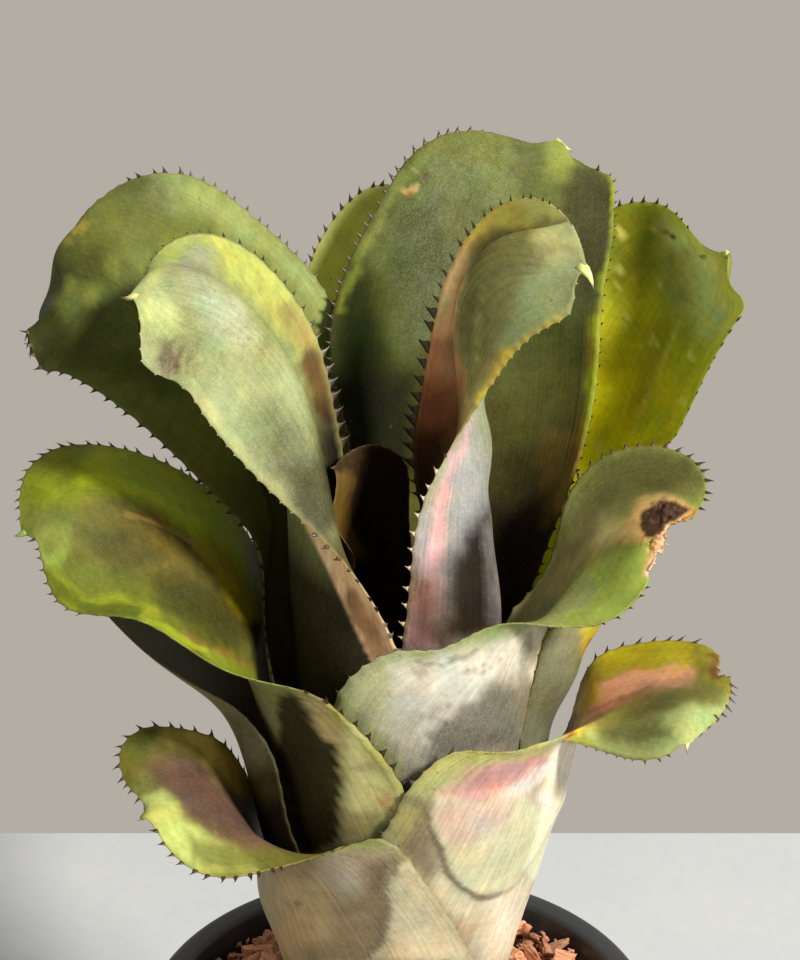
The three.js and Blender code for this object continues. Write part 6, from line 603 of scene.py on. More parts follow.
-577,279,3951,-557,328,3936,-527,385,3923,-483,446,3912,-423,508,3903,-345,567,3896,-249,617,3890,-135,653,3886,-5,667,3884,135,652,3884,279,604,3886,416,516,3890,532,390,3895,
-577,328,4087,-559,373,4070,-529,424,4055,-487,481,4041,-429,540,4030,-354,597,4021,-260,646,4014,-148,683,4009,-19,700,4006,121,690,4006,267,646,4007,409,565,4011,535,444,4017,
-578,378,4223,-561,418,4203,-533,465,4186,-492,517,4170,-435,572,4157,-362,627,4147,-271,675,4139,-161,712,4133,-34,731,4129,106,724,4128,254,686,4130,400,611,4133,532,496,4139,
-579,432,4356,-563,466,4335,-536,507,4315,-497,555,4299,-442,606,4285,-371,657,4273,-282,704,4264,-175,740,4257,-50,760,4253,90,757,4252,238,724,4253,387,655,4257,526,546,4263,
-576,493,4486,-563,519,4464,-539,553,4444,-501,595,4426,-450,641,4412,-381,688,4399,-295,732,4390,-190,768,4383,-67,790,4378,71,789,4376,220,761,4377,372,697,4380,517,594,4386,
-568,561,4613,-560,578,4590,-539,605,4570,-505,639,4553,-457,679,4538,-392,722,4525,-309,763,4515,-207,798,4508,-86,820,4503,51,823,4500,201,798,4500,356,739,4503,508,641,4508,
-556,635,4736,-554,643,4714,-539,661,4695,-510,688,4678,-466,722,4663,-405,760,4651,-325,798,4640,-226,831,4633,-107,854,4627,30,858,4624,181,837,4623,341,782,4625,498,687,4628,
-549,704,4859,-554,706,4839,-544,718,4820,-520,740,4803,-479,769,4789,-420,803,4776,-343,839,4766,-245,871,4757,-127,893,4751,10,898,4747,163,879,4745,324,826,4745,486,734,4748,
-551,764,4984,-560,764,4966,-554,774,4948,-532,793,4932,-493,820,4916,-436,852,4902,-360,886,4890,-263,916,4879,-145,937,4870,-9,942,4864,144,923,4861,307,873,4862,470,783,4867,
-561,818,5112,-570,819,5096,-563,829,5079,-542,848,5062,-504,874,5045,-447,905,5028,-372,937,5011,-276,966,4996,-160,986,4984,-25,990,4975,126,971,4972,287,921,4975,448,835,4986,
-576,867,5242,-581,872,5227,-572,884,5211,-548,904,5192,-509,931,5172,-453,962,5151,-379,993,5129,-285,1021,5109,-171,1039,5093,-39,1042,5081,109,1022,5078,265,973,5085,421,890,5106,
-594,916,5372,-592,924,5359,-578,939,5342,-552,962,5321,-511,990,5297,-455,1021,5271,-381,1052,5245,-289,1078,5220,-178,1095,5200,-49,1096,5186,93,1076,5183,243,1027,5195,391,946,5225,
-612,965,5503,-603,977,5489,-584,997,5470,-554,1022,5446,-511,1051,5419,-454,1083,5389,-380,1113,5359,-289,1138,5331,-181,1153,5307,-56,1152,5293,81,1131,5291,224,1083,5307,363,1005,5344,
-627,1018,5634,-612,1035,5617,-588,1058,5595,-554,1085,5568,-509,1116,5537,-450,1147,5505,-375,1175,5472,-285,1198,5441,-179,1211,5417,-59,1208,5403,72,1186,5403,208,1140,5421,339,1066,5462,
-638,1077,5763,-618,1098,5743,-590,1124,5717,-553,1152,5686,-505,1183,5653,-444,1212,5618,-369,1239,5584,-279,1259,5553,-175,1268,5530,-59,1264,5516,66,1241,5518,195,1196,5537,319,1127,5579,
-642,1144,5891,-619,1167,5866,-589,1194,5836,-549,1222,5802,-498,1251,5767,-436,1279,5731,-360,1302,5696,-271,1319,5666,-170,1325,5643,-58,1319,5631,62,1295,5634,185,1253,5654,302,1189,5694,
-641,1215,6017,-616,1239,5988,-583,1265,5955,-542,1293,5919,-490,1320,5882,-426,1345,5845,-351,1365,5810,-264,1378,5780,-165,1382,5757,-56,1374,5746,59,1351,5749,176,1310,5769,289,1251,5808,
-634,1288,6141,-608,1312,6109,-574,1337,6074,-532,1363,6037,-479,1387,5998,-416,1409,5960,-342,1426,5925,-256,1437,5895,-160,1439,5873,-55,1429,5862,55,1406,5864,168,1368,5883,277,1314,5920,
-623,1362,6263,-596,1385,6229,-562,1408,6193,-519,1431,6155,-467,1453,6116,-405,1472,6078,-332,1487,6043,-249,1495,6013,-156,1495,5990,-55,1485,5978,52,1463,5980,161,1427,5997,267,1377,6032,
-605,1437,6382,-578,1457,6348,-544,1477,6312,-503,1498,6274,-452,1517,6235,-392,1533,6198,-321,1546,6162,-241,1552,6132,-152,1551,6109,-54,1541,6096,49,1519,6096,154,1486,6110,258,1439,6142,
-579,1510,6498,-553,1527,6466,-521,1546,6431,-481,1563,6393,-432,1580,6355,-375,1594,6318,-308,1604,6283,-231,1609,6253,-146,1607,6229,-53,1596,6215,46,1576,6212,148,1545,6224,249,1502,6252,
-542,1582,6612,-518,1597,6581,-488,1612,6548,-451,1627,6512,-406,1641,6475,-353,1653,6438,-290,1662,6404,-219,1665,6373,-138,1663,6349,-50,1653,6333,44,1634,6328,142,1605,6338,240,1565,6363,
-491,1652,6721,-471,1664,6693,-445,1677,6662,-412,1690,6628,-372,1702,6593,-324,1712,6558,-267,1719,6524,-201,1722,6493,-127,1719,6468,-45,1710,6451,44,1692,6444,137,1665,6451,230,1629,6473,
-424,1718,6825,-408,1728,6801,-388,1738,6773,-361,1750,6742,-327,1760,6709,-286,1769,6675,-237,1775,6641,-178,1778,6611,-111,1776,6585,-36,1767,6566,45,1751,6558,131,1726,6563,218,1692,6583,
-359,1766,6902,-347,1774,6880,-332,1784,6855,-311,1794,6827,-284,1804,6795,-249,1812,6762,-207,1819,6730,-155,1822,6699,-95,1820,6673,-27,1812,6654,48,1797,6645,127,1773,6649,207,1741,6669,
-301,1800,6955,-294,1807,6937,-283,1816,6914,-267,1826,6887,-245,1835,6857,-217,1844,6825,-180,1851,6793,-135,1854,6762,-81,1853,6736,-18,1846,6716,51,1831,6707,124,1808,6712,197,1777,6733,
-247,1826,6995,-242,1833,6979,-235,1841,6958,-224,1850,6934,-208,1860,6906,-185,1869,6875,-154,1876,6844,-115,1880,6814,-67,1879,6787,-11,1873,6768,53,1859,6759,119,1836,6764,185,1806,6786,
-194,1847,7022,-192,1853,7008,-188,1861,6990,-180,1870,6968,-168,1879,6943,-151,1887,6915,-126,1894,6886,-93,1899,6857,-52,1898,6832,-3,1892,6814,53,1880,6806,112,1859,6811,168,1830,6833,
-142,1864,7035,-142,1869,7024,-140,1876,7010,-135,1884,6991,-127,1892,6970,-115,1900,6946,-96,1906,6920,-69,1910,6895,-35,1910,6873,6,1905,6857,52,1894,6849,101,1876,6855,147,1851,6875,
-92,1877,7037,-93,1881,7029,-92,1887,7018,-90,1893,7004,-85,1900,6987,-77,1906,6968,-63,1912,6948,-44,1915,6928,-18,1916,6910,14,1912,6896,50,1903,6890,87,1888,6895,123,1868,6912,
-46,1887,7030,-46,1890,7024,-47,1894,7017,-46,1898,7008,-43,1903,6996,-38,1908,6983,-30,1912,6969,-17,1915,6955,0,1915,6942,21,1912,6933,46,1906,6929,72,1895,6932,95,1881,6945,
-3,1895,7015,-3,1896,7013,-4,1898,7010,-3,1900,7005,-3,1903,6999,0,1905,6993,4,1908,6986,10,1909,6978,18,1910,6972,29,1908,6966,42,1905,6964,55,1899,6966,66,1892,6973,
37,1900,6997,37,1900,6997,37,1900,6997,36,1900,6997,36,1900,6998,36,1900,6998,36,1900,6998,36,1900,6998,36,1900,6998,37,1900,6998,37,1900,6998,37,1900,6998,37,1900,6998]},
    "leaf_back_left": {"rows": 46, "cols": 13, "u": [0,24.1,48.3,72.5,96.7,120.8,145,169.2,193.4,217.6,241.9,266.1,290.3,314.5,338.6,362.7,386.7,410.9,435.5,460.6,486.3,512.4,538.4,563.9,589.9,616.3,643,669.4,694.9,719.4,743.5,768.4,794.4,821.6,849.3,876.6,903.7,921.6,934.8,945.9,956.1,965.7,974.9,983.7,992.4,1000], "p": [
86,-321,2260,-43,-329,2260,-165,-288,2260,-262,-204,2260,-319,-91,2260,-330,36,2260,-293,156,2260,-215,253,2260,-106,315,2260,17,331,2260,138,302,2260,240,229,2260,308,125,2260,
66,-325,2419,-58,-327,2418,-175,-283,2417,-267,-198,2417,-322,-86,2416,-331,38,2416,-294,157,2415,-217,253,2415,-110,315,2414,12,334,2414,132,307,2414,235,238,2416,306,136,2418,
37,-337,2576,-84,-329,2574,-195,-279,2573,-282,-192,2572,-332,-80,2571,-339,43,2571,-302,161,2570,-226,258,2569,-120,322,2568,2,344,2567,124,321,2568,229,256,2571,305,158,2574,
0,-356,2732,-119,-336,2729,-224,-276,2726,-304,-185,2725,-349,-72,2724,-354,50,2725,-316,168,2724,-240,267,2723,-134,334,2721,-11,360,2721,113,342,2722,222,282,2725,304,189,2729,
-44,-377,2886,-160,-343,2881,-260,-274,2878,-333,-177,2876,-372,-62,2876,-373,60,2877,-335,178,2878,-259,279,2877,-152,349,2875,-28,380,2874,99,368,2875,213,315,2878,304,227,2882,
-93,-398,3038,-207,-349,3032,-301,-270,3028,-367,-167,3026,-400,-51,3027,-397,72,3029,-358,190,3030,-281,293,3029,-174,368,3028,-48,404,3027,82,398,3028,203,352,3030,302,270,3034,
-148,-415,3188,-257,-353,3182,-345,-264,3177,-403,-156,3175,-431,-37,3176,-425,85,3180,-383,204,3182,-306,309,3182,-197,388,3180,-70,430,3179,64,431,3179,191,393,3182,300,318,3185,
-206,-425,3337,-310,-351,3330,-390,-254,3325,-442,-142,3323,-463,-22,3326,-454,101,3331,-411,220,3334,-332,327,3334,-223,409,3332,-94,457,3331,43,466,3331,176,436,3332,295,369,3335,
-266,-426,3486,-363,-343,3479,-436,-240,3473,-480,-125,3472,-497,-5,3476,-484,117,3482,-440,237,3486,-360,346,3486,-250,432,3484,-119,485,3482,21,501,3481,159,479,3482,288,420,3484,
-328,-416,3633,-416,-327,3626,-480,-221,3622,-518,-105,3621,-530,15,3626,-514,135,3633,-468,254,3638,-389,365,3639,-278,454,3636,-146,513,3633,-4,537,3631,140,523,3631,277,472,3632,
-390,-396,3779,-467,-303,3774,-521,-196,3771,-553,-81,3771,-560,36,3777,-543,154,3785,-496,272,3790,-416,384,3790,-306,477,3787,-174,541,3783,-30,572,3781,119,567,3780,263,525,3780,
-451,-367,3925,-515,-271,3922,-559,-165,3920,-583,-54,3923,-586,59,3929,-568,174,3937,-522,291,3943,-443,403,3942,-334,499,3938,-202,568,3933,-57,606,3930,94,609,3928,243,576,3927,
-510,-329,4070,-560,-232,4069,-592,-128,4071,-608,-22,4075,-608,85,4083,-589,195,4091,-545,309,4095,-469,421,4094,-361,520,4088,-230,595,4082,-85,639,4078,67,650,4075,219,626,4074,
-566,-284,4214,-602,-188,4217,-624,-88,4221,-632,13,4227,-627,113,4236,-608,216,4244,-566,326,4248,-492,439,4245,-388,541,4238,-259,621,4230,-115,671,4225,36,690,4222,189,675,4221,
-617,-232,4358,-644,-140,4363,-658,-45,4369,-660,49,4378,-652,142,4388,-630,239,4397,-589,345,4400,-518,456,4396,-416,562,4387,-289,646,4378,-148,702,4372,1,727,4369,153,721,4367,
-663,-174,4501,-685,-89,4507,-696,-2,4514,-696,85,4523,-685,172,4535,-661,263,4546,-618,364,4550,-548,475,4546,-448,583,4536,-324,672,4526,-185,732,4519,-39,763,4516,111,765,4514,
-701,-110,4643,-721,-33,4647,-731,47,4653,-731,126,4663,-720,205,4677,-696,289,4690,-655,386,4697,-587,497,4694,-487,607,4685,-363,698,4674,-226,762,4667,-83,798,4664,63,806,4662,
-730,-43,4781,-745,32,4782,-753,106,4785,-753,178,4795,-748,246,4812,-733,320,4830,-699,411,4842,-632,521,4842,-532,632,4834,-406,726,4825,-269,792,4819,-129,831,4816,14,845,4815,
-745,26,4912,-752,103,4909,-755,177,4910,-758,242,4920,-765,298,4942,-767,358,4967,-746,440,4985,-683,548,4991,-579,661,4987,-449,756,4980,-312,823,4977,-175,864,4975,-37,883,4976,
-751,93,5033,-748,177,5028,-744,253,5028,-751,315,5040,-774,360,5067,-797,406,5100,-793,475,5127,-734,579,5140,-625,693,5143,-489,788,5142,-353,854,5143,-219,897,5145,-87,921,5148,
-760,150,5147,-743,244,5141,-732,327,5142,-741,390,5157,-780,429,5189,-824,462,5230,-834,519,5268,-776,616,5291,-663,727,5304,-523,822,5311,-387,888,5318,-259,930,5326,-134,958,5334,
-784,189,5254,-752,297,5249,-730,391,5252,-738,459,5271,-787,497,5309,-843,525,5359,-861,573,5406,-803,662,5442,-686,767,5467,-545,859,5487,-413,923,5503,-291,965,5519,-174,994,5534,
-837,203,5354,-788,327,5353,-753,434,5360,-753,513,5383,-800,559,5427,-858,591,5483,-875,637,5541,-814,716,5590,-696,812,5631,-558,897,5665,-432,957,5693,-318,999,5717,-211,1029,5740,
-917,199,5450,-852,334,5454,-803,454,5466,-792,547,5494,-828,608,5542,-875,651,5604,-883,702,5671,-819,775,5734,-702,859,5791,-570,935,5840,-451,991,5880,-346,1031,5914,-247,1063,5944,
-1002,203,5545,-930,337,5556,-875,461,5574,-854,565,5606,-873,643,5658,-902,705,5724,-896,765,5800,-827,835,5878,-714,908,5952,-589,973,6017,-478,1024,6068,-380,1063,6109,-288,1096,6146,
-1091,213,5641,-1019,340,5659,-961,461,5683,-930,571,5720,-934,665,5775,-944,746,5846,-925,820,5930,-852,891,6021,-742,955,6112,-625,1011,6192,-521,1057,6253,-430,1095,6300,-345,1129,6341,
-1183,228,5735,-1111,344,5761,-1051,459,5792,-1015,571,5835,-1008,677,5894,-1006,774,5969,-978,861,6060,-903,935,6164,-797,997,6269,-686,1048,6360,-589,1090,6429,-506,1127,6479,-430,1160,6520,
-1276,243,5827,-1202,350,5860,-1138,458,5899,-1099,570,5947,-1087,683,6010,-1082,793,6089,-1053,890,6187,-980,969,6300,-880,1031,6416,-776,1081,6516,-688,1122,6587,-614,1157,6636,-547,1190,6673,
-1369,255,5914,-1289,355,5954,-1221,460,5998,-1179,571,6053,-1168,690,6121,-1165,807,6206,-1141,912,6309,-1074,996,6429,-980,1060,6551,-884,1110,6654,-805,1151,6726,-742,1185,6772,-686,1217,6807,
-1462,262,5996,-1374,360,6041,-1301,463,6091,-1258,576,6151,-1249,699,6227,-1253,823,6319,-1236,933,6427,-1176,1019,6549,-1089,1084,6670,-1001,1134,6773,-932,1175,6846,-879,1210,6896,-835,1241,6935,
-1554,267,6073,-1461,365,6121,-1383,469,6176,-1338,585,6244,-1334,713,6329,-1345,842,6429,-1337,956,6541,-1287,1042,6659,-1209,1105,6774,-1131,1153,6873,-1070,1193,6950,-1026,1228,7010,-989,1260,7061,
-1652,272,6145,-1554,374,6198,-1473,481,6259,-1428,600,6333,-1427,732,6427,-1445,864,6534,-1448,980,6647,-1412,1065,6759,-1350,1125,6865,-1284,1168,6958,-1231,1202,7036,-1191,1230,7102,-1157,1256,7162,
-1758,281,6209,-1657,389,6271,-1575,502,6339,-1530,624,6420,-1532,758,6518,-1557,890,6627,-1572,1003,6737,-1554,1086,6840,-1511,1142,6934,-1460,1177,7017,-1415,1198,7087,-1377,1209,7148,-1341,1216,7205,
-1870,297,6261,-1771,414,6335,-1691,534,6414,-1649,660,6501,-1654,791,6597,-1685,917,6698,-1710,1024,6796,-1705,1102,6883,-1677,1152,6960,-1639,1178,7025,-1601,1185,7081,-1566,1178,7130,-1531,1165,7176,
-1977,334,6323,-1885,458,6400,-1813,581,6480,-1777,706,6562,-1788,830,6647,-1823,944,6730,-1852,1039,6805,-1851,1106,6867,-1827,1147,6919,-1794,1170,6963,-1763,1181,7004,-1735,1182,7042,-1710,1179,7078,
-2050,409,6412,-1977,526,6467,-1919,642,6522,-1894,756,6579,-1908,867,6637,-1943,966,6694,-1969,1044,6743,-1967,1097,6782,-1944,1130,6814,-1915,1152,6842,-1891,1170,6871,-1873,1187,6900,-1858,1203,6929,
-2071,501,6390,-2028,606,6442,-1996,708,6491,-1984,806,6532,-1999,898,6565,-2026,977,6591,-2046,1038,6615,-2044,1078,6637,-2026,1103,6660,-2004,1120,6682,-1987,1138,6704,-1974,1156,6726,-1964,1175,6747,
-2065,566,6314,-2043,659,6373,-2028,750,6425,-2025,836,6464,-2039,912,6486,-2060,977,6497,-2074,1026,6507,-2074,1058,6523,-2062,1078,6543,-2047,1092,6563,-2033,1106,6582,-2022,1121,6599,-2013,1137,6615,
-2058,615,6247,-2049,698,6309,-2044,778,6363,-2047,852,6400,-2059,918,6417,-2074,972,6420,-2085,1013,6423,-2087,1039,6435,-2080,1055,6453,-2069,1067,6472,-2059,1078,6489,-2048,1089,6503,-2038,1101,6516,
-2055,658,6192,-2054,730,6254,-2055,799,6306,-2060,862,6341,-2070,918,6353,-2081,964,6352,-2090,998,6352,-2093,1020,6361,-2090,1034,6377,-2083,1042,6395,-2075,1050,6410,-2065,1058,6421,-2054,1067,6431,
-2057,698,6150,-2060,758,6206,-2063,816,6254,-2069,869,6285,-2076,915,6294,-2084,954,6290,-2091,982,6287,-2095,1000,6295,-2095,1011,6310,-2092,1018,6326,-2085,1023,6339,-2075,1028,6348,-2065,1033,6356,
-2065,737,6122,-2067,785,6168,-2070,831,6207,-2074,873,6232,-2079,911,6238,-2085,942,6233,-2090,965,6229,-2094,979,6235,-2097,987,6248,-2096,992,6262,-2090,995,6273,-2082,998,6280,-2072,1000,6286,
-2079,775,6110,-2078,810,6141,-2077,844,6166,-2077,876,6182,-2080,904,6184,-2083,928,6180,-2088,945,6177,-2092,956,6182,-2096,962,6192,-2096,965,6203,-2092,966,6211,-2085,967,6217,-2076,968,6221,
-2096,811,6108,-2089,834,6120,-2083,857,6130,-2079,878,6136,-2079,897,6135,-2081,913,6132,-2085,925,6131,-2089,932,6135,-2092,936,6142,-2093,937,6150,-2091,937,6155,-2085,937,6159,-2079,937,6161,
-2099,848,6096,-2091,858,6095,-2084,869,6095,-2080,879,6094,-2079,888,6092,-2080,896,6091,-2082,902,6091,-2085,905,6093,-2087,907,6097,-2087,908,6100,-2086,908,6103,-2083,907,6105,-2080,906,6106,
-2080,880,6060,-2080,880,6060,-2080,880,6060,-2080,880,6060,-2080,880,6060,-2080,880,6060,-2080,880,6060,-2080,880,6060,-2080,880,6060,-2080,880,6060,-2080,880,6060,-2080,880,6060,-2080,880,6060]},
    "leaf_back_center": {"rows": 46, "cols": 13, "u": [0,22.4,45,67.6,90.3,113,135.7,158.4,181.1,203.7,226.2,248.8,271.4,294,316.6,339.1,361.7,384.4,407.8,432,457.3,483.3,509.9,537,564.7,592.2,619.4,646.7,673.7,700.3,726.4,752.1,777.8,803.7,830.1,857.2,884.6,911.1,929.9,944.5,956.8,967.5,976.9,985.4,993,1000], "p": [
-258,-137,2260,-291,-24,2260,-277,94,2260,-217,195,2260,-122,265,2260,-7,292,2260,109,271,2260,208,205,2260,272,106,2260,292,-10,2260,264,-125,2260,193,-219,2260,90,-278,2260,
-259,-133,2406,-291,-18,2406,-275,99,2406,-213,200,2405,-118,268,2405,-4,293,2405,111,271,2406,207,207,2406,271,111,2406,293,-2,2406,270,-114,2407,207,-208,2407,113,-271,2408,
-271,-128,2552,-299,-10,2551,-279,109,2551,-214,210,2550,-116,277,2550,-1,300,2550,114,278,2551,211,214,2551,277,119,2552,301,7,2553,283,-105,2554,225,-202,2555,137,-270,2556,
-291,-121,2697,-315,2,2696,-289,124,2695,-219,226,2694,-116,292,2694,2,314,2695,119,291,2695,218,226,2696,287,131,2697,315,19,2698,302,-96,2700,249,-197,2702,165,-272,2704,
-317,-112,2840,-335,19,2839,-302,144,2838,-225,247,2838,-117,312,2838,6,333,2838,126,309,2839,228,243,2840,300,147,2841,333,33,2843,325,-84,2845,278,-190,2848,199,-273,2851,
-348,-99,2983,-358,39,2982,-317,169,2981,-233,273,2980,-118,338,2980,10,357,2981,134,331,2982,240,264,2983,316,167,2985,355,52,2987,353,-68,2990,312,-179,2993,240,-270,2996,
-381,-82,3125,-383,64,3123,-333,198,3123,-240,303,3122,-118,367,3123,15,385,3123,144,357,3124,254,289,3125,334,191,3127,378,75,3129,383,-47,3132,351,-162,3135,287,-260,3139,
-414,-58,3265,-406,95,3265,-346,232,3264,-245,337,3264,-116,399,3265,22,415,3265,155,385,3266,268,317,3267,352,219,3269,401,103,3271,414,-18,3273,391,-135,3275,339,-238,3278,
-445,-28,3405,-427,131,3405,-357,270,3405,-247,374,3406,-112,434,3406,31,447,3407,166,416,3408,282,348,3408,370,251,3409,424,138,3410,445,18,3411,433,-98,3412,393,-203,3414,
-472,10,3543,-443,172,3545,-362,311,3546,-244,412,3547,-104,469,3548,41,480,3548,178,448,3549,296,380,3549,387,287,3549,446,177,3548,475,62,3548,474,-51,3547,448,-156,3546,
-493,56,3680,-452,219,3683,-362,354,3686,-237,452,3688,-93,504,3689,54,512,3690,191,480,3690,309,414,3689,402,324,3688,466,220,3686,501,110,3684,510,1,3681,497,-99,3677,
-509,107,3817,-456,268,3822,-356,399,3826,-226,491,3829,-80,539,3830,68,544,3831,204,511,3831,322,448,3830,416,362,3827,482,264,3824,523,160,3819,540,58,3814,537,-37,3807,
-521,159,3953,-456,317,3960,-348,444,3966,-213,530,3970,-65,574,3972,82,575,3973,218,542,3973,334,480,3971,427,399,3967,495,306,3962,539,210,3956,561,115,3948,565,28,3938,
-530,210,4090,-453,366,4099,-338,487,4106,-198,568,4111,-49,606,4115,98,605,4116,231,571,4116,346,511,4113,437,434,4109,505,347,4102,551,258,4094,576,172,4084,585,92,4072,
-536,262,4225,-449,413,4237,-326,530,4246,-183,604,4252,-32,638,4257,113,634,4259,245,599,4258,357,541,4256,447,468,4251,515,387,4244,562,304,4234,590,224,4222,603,151,4208,
-540,315,4360,-443,461,4373,-314,571,4384,-168,641,4392,-17,670,4398,127,664,4401,258,629,4401,369,572,4399,459,502,4394,527,425,4386,576,346,4376,606,271,4363,622,203,4348,
-540,369,4495,-435,509,4510,-302,613,4522,-154,677,4531,-3,703,4537,141,695,4541,270,660,4542,382,605,4540,473,537,4536,543,462,4529,594,385,4519,628,312,4506,647,245,4491,
-535,425,4631,-424,557,4646,-289,654,4658,-141,713,4668,10,737,4675,153,729,4680,283,695,4681,396,641,4680,489,573,4677,562,499,4670,617,423,4661,654,348,4650,677,279,4635,
-522,481,4771,-409,604,4784,-274,695,4796,-128,751,4805,21,774,4811,164,766,4816,295,733,4818,410,681,4817,507,614,4814,584,539,4809,643,461,4802,685,383,4792,711,309,4779,
-499,533,4916,-388,649,4926,-257,735,4935,-114,790,4941,33,813,4946,175,808,4949,307,777,4951,425,726,4950,527,660,4947,609,584,4943,674,502,4937,720,419,4929,750,337,4920,
-463,582,5067,-358,690,5072,-233,773,5076,-96,827,5079,45,853,5081,186,851,5081,319,824,5081,440,776,5079,547,711,5076,636,633,5072,707,547,5067,759,456,5061,794,365,5054,
-412,628,5223,-316,728,5222,-201,807,5220,-73,862,5218,62,891,5215,198,894,5212,331,872,5208,454,828,5204,566,765,5201,661,686,5197,740,595,5192,800,495,5188,841,392,5184,
-348,673,5383,-262,764,5374,-159,838,5366,-43,892,5358,82,924,5350,212,933,5342,341,918,5335,466,879,5328,582,820,5323,686,741,5318,773,645,5314,841,537,5311,889,419,5309,
-296,718,5545,-217,799,5531,-123,867,5517,-16,920,5503,101,953,5489,225,966,5476,352,957,5464,478,925,5454,598,869,5445,709,792,5438,805,694,5433,882,578,5431,937,447,5432,
-293,765,5711,-211,840,5692,-116,904,5672,-8,953,5652,109,986,5633,233,999,5614,362,991,5597,490,960,5582,615,907,5569,732,830,5560,835,732,5555,921,613,5553,984,478,5557,
-336,813,5875,-241,888,5849,-135,949,5824,-18,995,5798,107,1023,5773,237,1032,5750,371,1021,5729,504,988,5711,632,933,5696,753,856,5685,861,759,5679,954,643,5678,1027,512,5682,
-378,866,6037,-272,939,6005,-155,997,5972,-28,1038,5941,104,1062,5912,241,1066,5885,379,1050,5860,515,1014,5840,647,957,5824,771,881,5812,884,786,5806,983,675,5805,1065,549,5809,
-404,925,6198,-289,993,6159,-164,1046,6120,-32,1082,6084,105,1100,6050,246,1100,6019,386,1081,5992,525,1042,5969,659,985,5952,786,910,5940,902,818,5933,1007,711,5933,1096,590,5939,
-400,991,6358,-283,1052,6312,-157,1098,6267,-25,1128,6225,113,1141,6187,253,1138,6152,393,1116,6122,532,1077,6098,667,1021,6079,795,947,6066,915,858,6060,1024,754,6061,1120,637,6069,
-366,1063,6513,-253,1114,6461,-133,1153,6411,-6,1177,6365,126,1187,6322,262,1181,6284,399,1158,6251,536,1119,6224,670,1064,6203,799,993,6190,921,906,6184,1034,804,6187,1135,689,6197,
-310,1136,6661,-208,1179,6605,-98,1211,6552,20,1231,6502,144,1238,6455,272,1231,6413,404,1209,6376,538,1171,6346,670,1118,6323,800,1048,6309,923,962,6304,1039,862,6308,1145,746,6323,
-241,1210,6801,-152,1245,6745,-55,1272,6690,51,1289,6636,164,1295,6586,284,1288,6540,410,1268,6499,539,1232,6465,670,1181,6439,800,1112,6424,926,1028,6419,1046,926,6426,1155,809,6446,
-163,1282,6936,-90,1311,6881,-7,1334,6825,86,1349,6770,188,1356,6716,299,1351,6665,418,1333,6620,544,1300,6581,673,1251,6552,805,1184,6533,934,1099,6528,1058,997,6538,1172,876,6565,
-83,1349,7070,-24,1374,7016,46,1395,6960,126,1410,6902,217,1418,6845,320,1415,6790,432,1400,6739,554,1371,6695,683,1324,6661,816,1260,6639,949,1176,6634,1078,1072,6647,1196,950,6681,
1,1411,7200,48,1434,7149,105,1454,7093,174,1470,7034,255,1479,6973,349,1480,6913,455,1468,6857,573,1443,6807,700,1400,6768,834,1338,6743,969,1256,6737,1101,1153,6752,1223,1030,6794,
115,1465,7314,148,1485,7268,191,1505,7216,246,1522,7158,313,1534,7096,395,1539,7034,491,1533,6973,601,1513,6917,723,1476,6872,854,1419,6843,990,1340,6835,1123,1239,6852,1244,1118,6901,
269,1508,7389,287,1524,7357,313,1541,7315,349,1560,7265,398,1576,7208,462,1587,7146,542,1589,7083,638,1578,7023,750,1550,6972,875,1501,6937,1007,1428,6925,1137,1331,6944,1253,1211,7000,
435,1538,7406,441,1546,7393,453,1560,7368,473,1578,7334,504,1599,7290,548,1618,7237,608,1631,7179,687,1633,7120,784,1618,7067,897,1581,7027,1020,1517,7011,1139,1424,7028,1241,1306,7086,
553,1552,7385,553,1553,7384,558,1562,7373,569,1579,7353,589,1602,7323,621,1627,7283,668,1650,7236,733,1665,7185,818,1665,7135,920,1640,7096,1030,1584,7077,1136,1494,7089,1216,1375,7140,
645,1561,7358,642,1555,7363,644,1559,7360,650,1573,7350,662,1597,7332,685,1626,7305,722,1658,7272,776,1685,7232,851,1697,7191,943,1684,7156,1042,1636,7136,1132,1548,7141,1187,1427,7180,
722,1568,7335,719,1557,7339,719,1557,7339,722,1568,7335,729,1591,7327,744,1622,7314,772,1658,7294,818,1693,7270,883,1716,7241,965,1713,7213,1053,1672,7193,1126,1587,7190,1154,1469,7211,
789,1575,7318,788,1562,7319,788,1560,7319,788,1569,7318,792,1588,7317,801,1617,7314,821,1653,7308,857,1690,7298,912,1717,7284,984,1720,7266,1059,1686,7248,1114,1610,7235,1120,1505,7236,
849,1581,7307,849,1570,7305,849,1569,7305,849,1575,7306,849,1591,7309,854,1614,7312,867,1644,7316,894,1676,7317,938,1700,7314,995,1705,7305,1055,1678,7290,1094,1616,7272,1086,1534,7258,
902,1587,7302,905,1614,7312,912,1633,7318,919,1643,7321,922,1645,7322,919,1642,7321,912,1632,7318,904,1613,7311,903,1585,7302,916,1552,7288,951,1525,7275,1005,1523,7269,1054,1560,7277,
951,1593,7304,951,1606,7310,954,1616,7315,957,1621,7317,958,1623,7318,958,1621,7318,955,1617,7316,951,1608,7311,951,1596,7305,957,1581,7297,973,1569,7290,999,1566,7288,1024,1582,7294,
995,1600,7310,995,1600,7310,995,1600,7310,996,1600,7310,996,1600,7310,996,1600,7310,996,1600,7310,996,1600,7310,995,1600,7310,995,1600,7310,995,1600,7310,995,1600,7310,995,1600,7310]},
    "leaf_inner_left": {"rows": 46, "cols": 13, "u": [0,17.8,35.7,53.8,72,90.1,108.3,126.4,144.5,162.6,180.6,198.6,216.6,234.5,252.3,270.1,288.1,306.3,325.4,346.7,371.7,401.1,433.6,466.6,498.4,529.1,559.2,589.5,620,650.4,680.6,710.4,740.2,770.4,801.4,833.4,864.7,895.4,921.7,938.7,952.1,963.7,974,983.4,992.1,1000], "p": [
